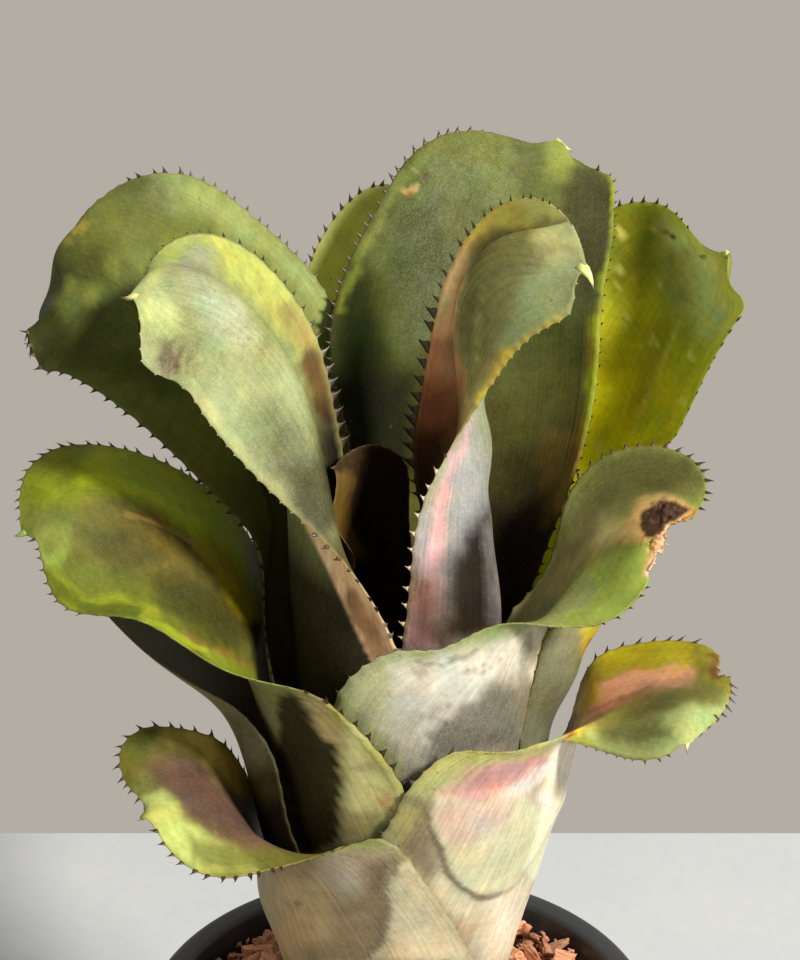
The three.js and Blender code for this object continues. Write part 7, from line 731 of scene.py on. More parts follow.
127,-220,2260,48,-250,2260,-35,-252,2260,-112,-228,2260,-176,-184,2260,-221,-126,2260,-247,-61,2260,-254,9,2260,-241,80,2260,-208,146,2260,-155,201,2260,-86,239,2260,-9,254,2260,
126,-221,2392,47,-249,2394,-35,-250,2396,-112,-226,2397,-174,-182,2398,-220,-125,2398,-246,-60,2397,-254,10,2396,-242,81,2396,-209,147,2396,-156,201,2396,-88,238,2396,-13,252,2396,
125,-229,2525,44,-256,2528,-39,-256,2531,-117,-230,2533,-180,-185,2535,-226,-127,2535,-253,-60,2534,-261,11,2533,-248,83,2532,-214,150,2531,-161,205,2531,-94,242,2532,-18,258,2532,
123,-243,2657,39,-269,2662,-47,-267,2666,-127,-239,2669,-191,-192,2671,-238,-131,2671,-265,-61,2670,-273,12,2668,-259,86,2667,-225,155,2667,-171,212,2667,-102,252,2667,-24,269,2668,
121,-263,2789,32,-288,2795,-58,-284,2800,-141,-253,2803,-208,-202,2806,-255,-137,2806,-282,-64,2805,-289,13,2803,-275,90,2802,-239,162,2802,-184,222,2802,-113,265,2803,-32,286,2804,
118,-287,2921,24,-311,2927,-72,-305,2933,-159,-270,2937,-229,-214,2940,-277,-144,2940,-304,-67,2939,-309,14,2938,-294,95,2937,-257,170,2936,-200,235,2937,-126,282,2937,-41,306,2938,
114,-315,3052,14,-337,3059,-88,-328,3065,-179,-290,3070,-253,-228,3073,-302,-153,3074,-328,-70,3073,-333,15,3072,-316,100,3071,-277,180,3071,-218,249,3071,-141,300,3072,-52,329,3073,
110,-346,3182,3,-366,3190,-106,-354,3196,-203,-311,3202,-279,-244,3206,-330,-162,3207,-355,-74,3206,-358,16,3205,-339,105,3204,-300,189,3204,-239,263,3205,-159,320,3206,-65,354,3207,
105,-378,3312,-10,-397,3320,-125,-381,3328,-227,-332,3334,-307,-259,3338,-358,-171,3339,-383,-77,3339,-384,17,3339,-364,110,3338,-323,199,3338,-260,278,3339,-178,340,3340,-80,379,3341,
100,-411,3441,-23,-428,3450,-145,-407,3458,-253,-353,3465,-335,-273,3470,-387,-179,3472,-411,-80,3473,-411,19,3472,-390,115,3471,-347,208,3472,-283,291,3472,-199,358,3474,-98,402,3475,
95,-444,3569,-37,-458,3580,-166,-433,3589,-278,-372,3597,-363,-286,3603,-416,-186,3605,-439,-83,3606,-437,20,3605,-415,120,3605,-371,216,3605,-306,304,3606,-220,375,3608,-117,424,3609,
90,-476,3698,-51,-487,3710,-187,-456,3720,-304,-389,3730,-390,-296,3736,-443,-192,3739,-465,-84,3740,-462,21,3740,-439,124,3739,-395,223,3740,-330,314,3741,-243,390,3742,-139,444,3744,
84,-508,3826,-65,-514,3840,-207,-476,3852,-328,-402,3863,-415,-304,3870,-467,-195,3874,-488,-85,3875,-485,22,3874,-461,127,3874,-417,229,3874,-352,323,3875,-266,402,3876,-160,460,3878,
79,-537,3955,-79,-538,3970,-227,-493,3985,-350,-412,3997,-437,-307,4005,-487,-195,4009,-508,-84,4011,-504,24,4010,-481,129,4010,-438,233,4009,-374,329,4010,-287,412,4010,-182,475,4011,
73,-565,4084,-94,-559,4102,-246,-505,4118,-370,-416,4132,-456,-307,4142,-504,-193,4147,-523,-82,4148,-520,25,4147,-499,131,4145,-457,236,4145,-394,334,4144,-308,420,4144,-203,486,4145,
68,-591,4213,-108,-575,4234,-264,-512,4253,-387,-415,4269,-470,-301,4280,-516,-188,4285,-535,-79,4286,-534,27,4284,-514,132,4281,-475,237,4280,-412,338,4279,-327,426,4278,-222,494,4277,
62,-614,4345,-121,-589,4368,-280,-516,4389,-400,-410,4406,-480,-293,4418,-524,-181,4423,-544,-74,4423,-545,28,4421,-528,132,4417,-491,238,4415,-429,339,4413,-344,429,4412,-239,498,4411,
57,-636,4480,-133,-601,4503,-292,-517,4524,-410,-405,4541,-485,-285,4553,-528,-174,4558,-550,-71,4558,-554,29,4555,-541,132,4552,-504,238,4549,-443,340,4548,-358,430,4546,-253,499,4545,
51,-656,4617,-143,-611,4639,-301,-518,4658,-415,-400,4674,-487,-280,4685,-530,-170,4689,-554,-69,4689,-562,30,4686,-551,132,4683,-516,239,4682,-454,340,4682,-368,428,4684,-264,496,4685,
44,-676,4747,-150,-620,4769,-305,-519,4790,-415,-399,4806,-485,-279,4817,-529,-171,4820,-557,-71,4819,-570,29,4816,-562,133,4814,-526,240,4816,-462,340,4821,-375,425,4827,-270,488,4834,
32,-693,4866,-153,-623,4893,-300,-518,4917,-405,-399,4936,-477,-283,4948,-527,-177,4952,-561,-75,4950,-578,28,4948,-571,134,4948,-532,241,4954,-465,338,4963,-376,419,4976,-272,478,4990,
9,-706,4977,-152,-621,5010,-285,-515,5039,-386,-402,5063,-463,-292,5078,-523,-186,5083,-566,-81,5082,-587,26,5080,-579,135,5083,-536,239,5094,-465,332,5110,-373,408,5131,-270,466,5153,
-30,-709,5091,-157,-616,5127,-268,-514,5159,-363,-409,5186,-445,-303,5202,-514,-195,5209,-566,-85,5209,-593,27,5210,-586,136,5216,-541,235,5233,-467,321,5257,-373,393,5286,-269,453,5318,
-88,-702,5210,-178,-610,5246,-264,-515,5278,-346,-416,5305,-425,-311,5322,-500,-199,5328,-560,-84,5330,-595,31,5334,-593,136,5345,-550,229,5368,-476,308,5400,-380,378,5438,-274,442,5480,
-156,-689,5323,-215,-602,5361,-275,-513,5395,-339,-418,5423,-409,-313,5440,-484,-199,5448,-550,-81,5450,-593,34,5455,-600,137,5471,-563,226,5500,-491,302,5541,-396,370,5590,-290,433,5643,
-230,-675,5426,-261,-592,5469,-296,-506,5508,-341,-413,5539,-399,-310,5559,-470,-197,5567,-540,-79,5569,-592,35,5575,-607,139,5594,-577,226,5632,-511,301,5684,-421,367,5745,-319,429,5812,
-310,-663,5519,-313,-582,5571,-324,-497,5619,-348,-406,5656,-394,-305,5680,-462,-193,5688,-534,-76,5690,-592,37,5696,-615,140,5719,-592,227,5764,-532,302,5826,-448,369,5901,-352,433,5981,
-394,-652,5608,-371,-571,5671,-358,-487,5729,-363,-397,5775,-396,-297,5804,-459,-187,5813,-534,-73,5815,-596,39,5822,-625,141,5846,-608,230,5897,-553,308,5968,-474,378,6052,-382,445,6143,
-481,-643,5695,-435,-561,5771,-400,-477,5839,-387,-387,5895,-408,-289,5929,-465,-182,5942,-539,-70,5944,-605,40,5950,-639,142,5976,-627,234,6030,-578,316,6107,-504,393,6198,-418,466,6297,
-570,-636,5781,-503,-553,5869,-449,-468,5949,-419,-377,6014,-428,-280,6055,-479,-176,6070,-552,-67,6073,-620,41,6079,-659,143,6106,-654,238,6162,-613,327,6242,-549,411,6338,-473,493,6442,
-657,-633,5869,-574,-546,5968,-503,-458,6058,-461,-367,6130,-459,-271,6177,-502,-169,6196,-572,-64,6200,-641,41,6206,-685,144,6233,-689,242,6291,-661,338,6373,-612,430,6471,-552,522,6577,
-741,-633,5960,-646,-542,6066,-564,-449,6163,-511,-355,6242,-499,-259,6294,-536,-160,6316,-601,-60,6321,-670,42,6329,-720,144,6357,-735,246,6416,-722,348,6498,-691,449,6597,-651,551,6704,
-822,-637,6058,-719,-538,6167,-630,-440,6267,-569,-342,6349,-551,-245,6404,-581,-150,6429,-641,-54,6438,-709,43,6448,-764,143,6478,-791,247,6536,-795,354,6618,-785,463,6715,-766,573,6820,
-898,-643,6160,-793,-535,6268,-702,-429,6367,-638,-326,6450,-615,-228,6507,-639,-136,6537,-694,-46,6550,-761,45,6564,-820,141,6594,-860,243,6649,-882,351,6726,-894,462,6815,-900,575,6912,
-967,-647,6263,-867,-529,6367,-781,-415,6463,-719,-306,6544,-695,-207,6603,-714,-119,6637,-764,-37,6656,-829,45,6673,-892,131,6702,-943,226,6750,-983,326,6813,-1016,432,6887,-1046,539,6966,
-1026,-646,6361,-940,-518,6459,-864,-394,6550,-811,-281,6628,-791,-182,6688,-810,-101,6727,-857,-30,6751,-919,37,6770,-982,107,6794,-1038,185,6827,-1088,269,6869,-1133,358,6916,-1177,450,6966,
-1116,-636,6436,-1035,-501,6529,-964,-373,6617,-914,-259,6695,-895,-164,6756,-914,-92,6798,-959,-36,6825,-1018,12,6843,-1080,62,6858,-1134,119,6874,-1182,181,6891,-1226,248,6908,-1268,316,6926,
-1239,-614,6489,-1154,-481,6581,-1079,-357,6668,-1025,-248,6744,-1002,-162,6805,-1017,-104,6846,-1058,-65,6871,-1112,-36,6884,-1166,-7,6889,-1212,28,6890,-1250,69,6887,-1283,113,6883,-1313,159,6877,
-1275,-582,6561,-1209,-463,6640,-1151,-351,6714,-1111,-255,6779,-1095,-183,6830,-1108,-138,6865,-1142,-114,6884,-1185,-100,6892,-1226,-86,6892,-1257,-67,6885,-1281,-43,6874,-1300,-15,6860,-1317,15,6845,
-1279,-555,6625,-1232,-450,6688,-1191,-353,6747,-1163,-270,6798,-1153,-209,6839,-1166,-175,6866,-1194,-158,6881,-1227,-152,6886,-1257,-146,6883,-1279,-135,6875,-1294,-119,6862,-1303,-100,6847,-1310,-79,6829,
-1281,-529,6680,-1248,-440,6727,-1221,-358,6771,-1203,-289,6810,-1198,-239,6840,-1210,-212,6861,-1232,-201,6872,-1257,-199,6875,-1279,-197,6872,-1293,-191,6864,-1301,-181,6852,-1305,-167,6837,-1306,-153,6821,
-1285,-503,6724,-1264,-432,6758,-1247,-365,6789,-1237,-309,6817,-1235,-270,6838,-1245,-249,6853,-1262,-242,6861,-1281,-243,6863,-1296,-243,6860,-1304,-240,6853,-1308,-234,6842,-1307,-225,6829,-1305,-215,6815,
-1293,-478,6759,-1281,-423,6781,-1272,-373,6801,-1267,-331,6819,-1268,-302,6834,-1275,-287,6843,-1288,-283,6849,-1300,-285,6850,-1310,-286,6847,-1314,-285,6841,-1314,-282,6833,-1312,-276,6823,-1308,-270,6812,
-1305,-452,6785,-1300,-415,6797,-1296,-382,6809,-1294,-354,6819,-1296,-335,6827,-1301,-325,6833,-1309,-323,6836,-1316,-325,6836,-1322,-327,6835,-1323,-327,6830,-1322,-325,6825,-1319,-322,6818,-1315,-319,6810,
-1321,-426,6802,-1320,-408,6807,-1319,-391,6811,-1319,-377,6815,-1320,-368,6819,-1323,-363,6821,-1327,-363,6823,-1330,-364,6823,-1332,-365,6822,-1332,-365,6820,-1331,-364,6817,-1329,-363,6813,-1326,-362,6810,
-1341,-400,6810,-1341,-400,6810,-1342,-400,6810,-1342,-400,6810,-1342,-400,6810,-1342,-400,6810,-1341,-400,6810,-1341,-400,6810,-1341,-400,6810,-1341,-400,6810,-1341,-400,6810,-1341,-400,6810,-1341,-400,6810]},
    "leaf_inner_right": {"rows": 46, "cols": 13, "u": [0,17.6,35.2,52.9,70.7,88.4,106.2,123.9,141.7,159.6,177.4,195.2,212.9,230.4,247.7,264.8,281.9,299.4,317.9,338.7,363,391.1,421.5,453.2,485.4,517.5,548.9,579.5,609.6,639.6,669.7,700.3,731.5,762.7,793.8,824.4,855.1,886.6,915.6,935.3,950.1,962.1,972.8,982.7,991.8,1000], "p": [
-100,-189,2260,-48,-208,2260,7,-214,2260,61,-205,2260,112,-183,2260,155,-148,2260,188,-102,2260,209,-48,2260,214,13,2260,201,75,2260,168,133,2260,118,179,2260,56,207,2260,
-100,-192,2403,-47,-211,2400,8,-215,2397,62,-206,2395,112,-182,2393,155,-147,2393,187,-102,2393,207,-47,2394,212,13,2395,198,75,2395,166,131,2395,116,176,2394,55,204,2393,
-99,-202,2547,-45,-219,2540,11,-222,2534,66,-211,2529,117,-187,2526,160,-150,2525,193,-103,2526,213,-47,2528,217,14,2529,203,77,2529,170,135,2529,120,180,2528,58,209,2527,
-97,-219,2692,-41,-234,2680,17,-235,2670,73,-222,2662,126,-195,2657,170,-156,2656,205,-106,2657,225,-47,2660,229,17,2662,214,83,2663,180,142,2662,129,190,2661,66,220,2660,
-94,-240,2837,-36,-252,2820,24,-251,2806,83,-236,2794,137,-207,2787,185,-165,2785,221,-111,2787,243,-47,2791,246,21,2794,230,90,2796,195,153,2795,142,203,2794,76,236,2792,
-91,-265,2981,-29,-275,2960,34,-271,2941,95,-253,2925,152,-221,2916,203,-176,2914,241,-117,2917,264,-48,2922,268,26,2926,251,100,2928,213,167,2927,158,221,2926,89,257,2924,
-87,-294,3124,-21,-301,3098,45,-294,3075,109,-273,3056,170,-238,3045,223,-188,3042,265,-123,3046,290,-48,3052,293,32,3057,274,111,3059,234,183,3059,176,240,3058,104,280,3055,
-83,-326,3267,-13,-330,3236,57,-320,3208,125,-295,3186,189,-256,3173,246,-201,3170,291,-130,3174,317,-49,3181,321,39,3188,300,124,3191,257,200,3191,195,261,3189,119,304,3186,
-78,-359,3407,-3,-360,3373,70,-346,3341,142,-318,3317,210,-275,3302,271,-214,3299,319,-138,3303,347,-49,3311,350,46,3319,327,137,3322,280,218,3322,215,283,3321,134,329,3318,
-73,-392,3547,7,-390,3509,85,-374,3474,160,-342,3447,232,-294,3431,297,-228,3427,348,-145,3433,377,-49,3442,379,53,3450,353,150,3454,304,235,3454,234,304,3452,149,353,3449,
-66,-425,3687,18,-421,3645,100,-400,3607,180,-365,3577,255,-312,3560,324,-241,3556,377,-151,3562,406,-48,3572,407,60,3581,379,163,3586,325,252,3586,251,324,3584,162,375,3580,
-60,-457,3827,30,-450,3782,116,-426,3741,200,-386,3708,279,-329,3689,350,-252,3685,405,-156,3692,434,-47,3703,434,67,3713,403,175,3718,345,268,3718,266,342,3715,173,394,3711,
-53,-487,3970,42,-477,3920,133,-450,3875,220,-406,3840,302,-344,3819,375,-262,3815,431,-160,3822,460,-45,3834,457,74,3845,423,186,3850,362,282,3850,280,358,3847,183,411,3843,
-45,-513,4114,54,-501,4060,149,-471,4010,240,-424,3971,324,-357,3948,399,-269,3944,454,-163,3951,482,-43,3965,477,80,3977,440,195,3982,376,294,3982,291,372,3979,190,425,3974,
-37,-535,4262,66,-522,4201,165,-489,4146,259,-438,4103,346,-366,4077,420,-274,4072,474,-163,4080,500,-39,4095,493,86,4108,454,203,4114,387,304,4114,299,383,4111,196,437,4105,
-29,-552,4413,78,-538,4345,181,-503,4284,278,-448,4236,365,-372,4206,439,-276,4200,491,-161,4209,515,-35,4224,505,92,4238,464,211,4245,395,312,4246,305,392,4242,200,447,4236,
-21,-565,4565,91,-549,4490,197,-512,4422,295,-454,4368,384,-375,4335,456,-275,4328,506,-158,4337,527,-30,4354,515,98,4369,471,217,4377,401,320,4377,309,400,4373,202,455,4367,
-12,-573,4715,103,-557,4633,212,-519,4559,312,-458,4500,401,-375,4465,472,-272,4456,519,-153,4467,536,-24,4486,521,104,4502,476,223,4510,404,326,4510,310,406,4505,202,461,4497,
-2,-578,4860,115,-562,4773,226,-522,4694,329,-460,4632,418,-374,4595,487,-268,4587,531,-146,4598,544,-17,4619,526,112,4637,478,230,4645,404,332,4645,309,411,4639,200,465,4631,
9,-577,4992,127,-563,4906,241,-524,4827,345,-460,4765,434,-372,4729,502,-262,4721,541,-138,4733,551,-7,4754,528,121,4773,477,238,4782,401,338,4783,304,415,4779,194,467,4772,
21,-570,5101,140,-558,5025,255,-521,4957,361,-457,4903,451,-367,4871,516,-254,4864,552,-127,4874,555,5,4893,528,132,4911,472,246,4921,393,343,4926,295,417,4926,185,467,4924,
34,-554,5193,153,-543,5136,270,-509,5084,377,-448,5043,466,-358,5018,528,-243,5011,559,-112,5018,557,21,5033,524,147,5048,463,256,5061,380,346,5071,280,415,5079,171,463,5087,
46,-529,5295,167,-517,5251,285,-486,5212,391,-430,5180,477,-343,5159,535,-227,5152,561,-94,5155,555,41,5166,517,164,5180,451,266,5196,363,348,5213,260,411,5231,148,457,5248,
58,-495,5402,180,-481,5368,297,-452,5337,401,-401,5311,483,-319,5293,536,-204,5286,558,-72,5287,548,62,5297,507,182,5312,436,277,5332,342,350,5355,234,406,5380,118,450,5407,
71,-455,5509,192,-437,5481,306,-409,5456,405,-360,5435,483,-282,5421,532,-172,5416,551,-43,5419,539,87,5429,495,201,5447,421,287,5471,323,352,5499,209,401,5531,87,443,5564,
92,-411,5613,205,-388,5591,311,-357,5571,404,-308,5554,476,-233,5545,523,-128,5543,541,-7,5549,529,114,5563,484,219,5585,409,298,5613,309,356,5646,194,401,5682,71,438,5720,
123,-365,5712,222,-336,5695,316,-300,5681,398,-249,5671,464,-176,5666,507,-79,5669,526,32,5680,516,141,5698,475,236,5724,403,308,5756,308,361,5794,196,402,5835,76,437,5878,
165,-321,5804,244,-285,5795,320,-243,5789,388,-190,5785,445,-120,5787,486,-31,5795,507,68,5810,503,166,5833,469,251,5862,404,317,5900,316,367,5942,211,407,5988,99,442,6037,
215,-280,5893,270,-239,5894,323,-193,5896,374,-139,5901,420,-71,5909,460,11,5923,486,100,5942,490,187,5967,466,265,6001,410,326,6042,329,376,6090,232,416,6142,126,453,6195,
271,-246,5980,296,-202,5993,323,-155,6007,354,-101,6021,390,-36,6037,429,41,6054,463,123,6075,480,204,6103,467,276,6139,421,336,6184,346,386,6236,254,429,6293,153,469,6353,
330,-222,6066,323,-177,6094,322,-129,6121,332,-75,6147,357,-12,6169,398,61,6190,442,139,6212,473,216,6239,474,286,6275,437,345,6323,369,395,6380,282,440,6443,184,482,6509,
389,-211,6154,352,-164,6198,323,-115,6240,312,-60,6277,327,2,6306,371,74,6329,426,149,6350,471,224,6375,487,292,6411,460,349,6461,400,399,6522,318,444,6591,224,485,6664,
446,-217,6245,382,-165,6305,329,-111,6362,300,-53,6410,306,12,6447,353,83,6470,418,157,6488,478,229,6509,507,293,6543,492,347,6594,441,393,6660,366,434,6735,279,472,6814,
498,-242,6338,413,-179,6414,342,-115,6485,299,-50,6544,300,18,6586,350,89,6609,425,159,6623,498,225,6639,541,282,6670,537,329,6721,496,368,6790,430,402,6870,351,433,6955,
548,-283,6429,449,-207,6520,367,-131,6605,317,-58,6674,316,14,6721,370,82,6743,455,146,6752,540,202,6762,594,250,6788,601,288,6838,569,318,6907,511,344,6989,440,367,7078,
602,-330,6514,497,-245,6620,410,-161,6717,358,-83,6796,357,-11,6848,414,53,6870,503,108,6874,595,154,6878,658,191,6897,672,221,6941,649,244,7006,599,263,7084,537,280,7169,
665,-377,6590,564,-289,6707,479,-204,6814,426,-126,6901,423,-58,6958,476,-2,6981,562,43,6984,651,78,6983,714,106,6995,735,128,7030,721,146,7083,684,161,7148,636,174,7220,
747,-419,6656,652,-335,6772,572,-256,6879,521,-184,6967,514,-124,7028,556,-78,7057,627,-45,7065,705,-20,7067,763,-2,7075,788,14,7099,784,27,7135,763,39,7180,732,50,7229,
830,-444,6709,745,-372,6810,673,-303,6904,624,-243,6985,611,-194,7044,639,-160,7079,694,-137,7097,754,-122,7107,803,-111,7116,828,-101,7131,833,-91,7151,825,-82,7175,810,-74,7200,
865,-449,6758,796,-389,6838,737,-333,6913,696,-283,6979,683,-245,7032,703,-219,7069,743,-202,7093,790,-193,7108,829,-186,7119,851,-179,7130,860,-172,7140,859,-165,7150,854,-158,7160,
874,-446,6808,823,-398,6866,779,-352,6921,749,-313,6971,740,-282,7014,754,-263,7048,784,-251,7074,819,-245,7093,849,-240,7106,868,-235,7114,877,-230,7119,881,-225,7121,881,-219,7121,
877,-439,6855,842,-401,6892,813,-366,6928,793,-336,6963,787,-313,6996,797,-298,7026,818,-290,7051,844,-286,7071,866,-283,7084,881,-280,7090,891,-276,7091,896,-272,7088,899,-268,7084,
881,-430,6892,861,-403,6913,843,-377,6934,832,-355,6956,829,-339,6979,836,-329,7002,850,-323,7024,867,-321,7043,883,-319,7055,894,-317,7060,902,-315,7058,908,-312,7053,912,-308,7046,
891,-420,6919,881,-403,6928,873,-386,6937,868,-372,6949,867,-362,6962,872,-356,6979,881,-353,6996,890,-351,7010,900,-351,7020,907,-349,7023,913,-348,7021,918,-346,7016,922,-344,7009,
909,-410,6934,906,-402,6936,904,-394,6938,903,-387,6942,903,-383,6948,905,-380,6956,909,-378,6965,913,-378,6974,917,-378,6979,921,-377,6981,924,-376,6979,927,-376,6976,929,-375,6971,
934,-400,6936,935,-400,6936,935,-400,6936,935,-400,6936,935,-400,6936,935,-400,6936,935,-400,6936,935,-400,6936,935,-400,6936,935,-400,6936,934,-400,6936,934,-400,6936,934,-400,6936]},
    "leaf_innermost": {"rows": 46, "cols": 13, "u": [0,18.8,37.8,56.8,75.8,94.9,114,133.2,152.3,171.4,190.6,209.7,228.8,248,267.1,286.2,305.2,324.2,343.1,362,380.8,399.5,418.2,437,456.2,476.1,497.1,519.6,544.1,570.9,600.3,632.4,667.4,705.4,745,784,822,858.9,894.4,921.5,939.7,954.4,967.3,979,989.9,1000], "p": [
-92,-131,2260,-136,-85,2260,-158,-26,2260,-156,37,2260,-130,93,2260,-85,136,2260,-28,158,2260,33,157,2260,89,133,2260,132,90,2260,156,35,2260,158,-24,2260,139,-80,2260,
-92,-132,2357,-136,-86,2354,-159,-27,2352,-158,36,2350,-132,93,2348,-87,136,2347,-30,159,2347,32,158,2348,88,134,2349,131,92,2350,155,37,2353,157,-23,2355,137,-78,2359,
-95,-136,2454,-140,-89,2448,-164,-28,2443,-162,36,2439,-136,95,2436,-90,139,2435,-31,162,2435,32,162,2436,89,138,2438,133,95,2441,158,39,2445,161,-22,2451,141,-79,2458,
-102,-141,2551,-147,-92,2542,-171,-29,2534,-168,38,2529,-141,98,2525,-94,144,2522,-33,168,2522,32,168,2523,92,144,2526,138,99,2531,165,42,2538,168,-22,2547,148,-81,2557,
-111,-148,2647,-157,-95,2635,-180,-28,2625,-176,42,2618,-147,104,2612,-97,151,2609,-34,176,2609,33,176,2611,96,151,2615,145,106,2622,174,46,2631,179,-20,2642,160,-84,2656,
-122,-156,2743,-169,-97,2728,-191,-27,2716,-186,46,2706,-154,111,2700,-102,160,2696,-36,186,2696,35,186,2698,100,161,2704,153,114,2712,185,52,2723,193,-18,2737,175,-87,2754,
-135,-164,2839,-183,-100,2821,-205,-24,2806,-197,53,2795,-162,120,2787,-106,170,2783,-37,197,2782,37,197,2785,106,172,2792,162,123,2802,197,59,2815,208,-15,2832,193,-89,2852,
-150,-172,2934,-199,-102,2913,-219,-21,2896,-208,60,2883,-171,131,2874,-111,182,2870,-38,210,2869,39,210,2872,112,184,2880,171,134,2891,210,67,2907,225,-10,2927,212,-88,2950,
-166,-179,3029,-216,-103,3005,-234,-16,2986,-221,69,2971,-179,142,2961,-116,196,2956,-40,224,2955,41,224,2959,118,197,2968,181,147,2981,223,78,2999,242,-2,3021,233,-85,3048,
-184,-185,3124,-233,-103,3097,-250,-11,3076,-233,78,3059,-188,155,3048,-121,210,3042,-41,238,3041,43,239,3046,123,212,3055,190,161,3070,236,90,3090,259,8,3115,254,-78,3145,
-202,-190,3218,-252,-101,3189,-266,-4,3165,-246,89,3147,-197,168,3135,-126,224,3128,-43,254,3128,45,254,3132,128,227,3143,198,176,3159,248,105,3181,275,21,3209,275,-67,3242,
-222,-193,3313,-270,-98,3281,-282,4,3255,-258,101,3235,-206,182,3222,-132,239,3215,-44,269,3214,46,270,3219,132,243,3230,205,192,3248,259,121,3272,290,37,3302,296,-53,3339,
-241,-194,3407,-288,-93,3373,-297,13,3345,-271,113,3323,-214,196,3309,-137,255,3301,-46,285,3300,47,286,3305,135,260,3318,211,209,3337,269,138,3363,304,55,3396,315,-36,3435,
-260,-193,3502,-306,-87,3465,-312,23,3434,-282,126,3411,-223,210,3396,-142,270,3387,-49,301,3386,47,302,3392,138,276,3405,216,226,3426,276,157,3453,316,74,3488,331,-16,3531,
-279,-191,3597,-322,-80,3557,-326,34,3524,-293,139,3500,-230,224,3483,-147,285,3474,-51,316,3472,46,318,3478,139,293,3492,219,244,3514,282,176,3544,325,95,3581,346,7,3626,
-298,-186,3692,-338,-71,3649,-338,45,3615,-302,152,3588,-237,238,3570,-151,299,3560,-54,331,3558,45,333,3565,138,309,3580,220,262,3603,285,196,3634,331,118,3674,356,32,3721,
-315,-179,3788,-353,-61,3742,-350,57,3705,-311,165,3677,-243,252,3658,-156,313,3647,-58,344,3645,42,348,3652,136,325,3667,219,279,3691,285,217,3724,334,142,3766,363,60,3816,
-332,-169,3884,-366,-49,3835,-360,70,3796,-318,178,3766,-249,265,3745,-160,325,3734,-62,357,3731,38,361,3738,132,339,3754,215,297,3780,282,237,3814,333,166,3858,365,89,3910,
-347,-157,3980,-377,-36,3929,-367,84,3887,-324,190,3855,-253,276,3833,-164,336,3821,-66,368,3818,33,373,3825,126,353,3841,208,313,3868,276,258,3903,327,192,3949,362,119,4004,
-360,-143,4076,-386,-22,4022,-373,97,3978,-328,203,3945,-256,287,3921,-168,346,3908,-71,377,3905,26,383,3911,117,366,3928,198,329,3955,265,278,3993,318,217,4040,355,151,4097,
-373,-128,4171,-394,-7,4115,-378,111,4069,-330,214,4034,-258,296,4009,-171,353,3995,-77,384,3991,18,391,3998,106,376,4015,185,344,4043,251,298,4082,303,243,4130,342,184,4190,
-384,-112,4267,-400,9,4208,-380,124,4160,-331,224,4124,-260,303,4098,-175,358,4083,-83,389,4078,8,397,4085,93,385,4103,169,357,4131,233,316,4170,285,268,4221,324,216,4282,
-395,-95,4362,-405,24,4301,-381,136,4251,-331,232,4213,-260,308,4186,-178,360,4170,-90,390,4166,-4,400,4172,77,391,4190,149,367,4219,211,334,4259,262,293,4311,302,248,4373,
-404,-78,4455,-408,39,4393,-381,147,4342,-329,238,4303,-260,310,4275,-181,360,4258,-99,390,4253,-17,400,4260,59,395,4278,127,377,4307,187,350,4348,236,317,4400,277,280,4464,
-410,-62,4547,-409,52,4484,-379,156,4433,-327,243,4393,-261,311,4364,-186,359,4347,-108,388,4342,-32,400,4349,40,398,4366,104,386,4396,160,365,4437,208,340,4490,248,312,4554,
-413,-46,4637,-408,64,4574,-377,163,4523,-326,246,4483,-263,311,4455,-192,358,4438,-119,387,4433,-47,402,4439,19,404,4457,80,396,4486,134,382,4527,180,364,4579,219,343,4643,
-411,-31,4723,-404,74,4662,-374,169,4612,-327,249,4574,-267,312,4547,-200,359,4530,-132,390,4525,-64,407,4532,-1,413,4549,57,410,4578,108,402,4618,153,389,4670,190,374,4732,
-401,-17,4806,-397,83,4748,-370,174,4701,-327,252,4665,-271,316,4640,-209,364,4625,-144,397,4621,-80,418,4627,-19,427,4644,36,429,4672,85,424,4711,127,415,4760,162,404,4820,
-383,-5,4885,-384,91,4832,-363,180,4789,-324,258,4756,-273,323,4733,-214,373,4721,-152,409,4718,-91,433,4725,-33,445,4742,20,450,4768,66,448,4805,105,442,4852,136,434,4909,
-357,6,4959,-365,98,4912,-351,187,4874,-317,267,4846,-269,334,4826,-213,387,4816,-153,426,4815,-94,452,4823,-38,467,4840,12,473,4867,53,473,4902,87,469,4946,111,462,4999,
-326,16,5030,-343,105,4987,-334,195,4954,-305,278,4930,-260,349,4916,-205,406,4910,-147,448,4913,-89,476,4924,-36,492,4943,10,499,4969,46,499,5002,73,495,5043,90,488,5090,
-291,23,5095,-317,111,5055,-315,205,5026,-289,293,5008,-245,369,5000,-191,429,5001,-134,473,5011,-78,502,5027,-29,518,5049,12,524,5076,43,524,5108,63,519,5144,73,510,5184,
-260,30,5156,-291,120,5114,-293,219,5087,-268,312,5076,-226,393,5078,-173,455,5090,-117,499,5109,-65,527,5134,-20,541,5161,17,546,5190,42,543,5221,57,537,5252,61,527,5283,
-240,36,5214,-272,132,5166,-272,238,5141,-247,337,5137,-205,419,5151,-154,481,5177,-102,523,5209,-53,547,5244,-12,558,5278,19,559,5311,41,554,5340,54,546,5367,57,537,5390,
-244,42,5272,-268,147,5218,-263,258,5196,-235,359,5201,-192,441,5226,-143,501,5265,-94,539,5309,-49,559,5353,-11,565,5395,19,562,5432,41,555,5462,55,546,5486,62,538,5504,
-278,50,5330,-289,162,5280,-274,274,5263,-240,373,5276,-196,451,5309,-147,507,5354,-100,541,5405,-57,557,5456,-21,561,5502,7,556,5541,29,547,5574,45,537,5598,55,528,5615,
-322,60,5394,-319,171,5348,-294,279,5337,-255,373,5355,-209,445,5393,-163,495,5442,-120,525,5496,-83,538,5548,-53,540,5595,-29,535,5636,-11,526,5668,2,516,5692,10,509,5708,
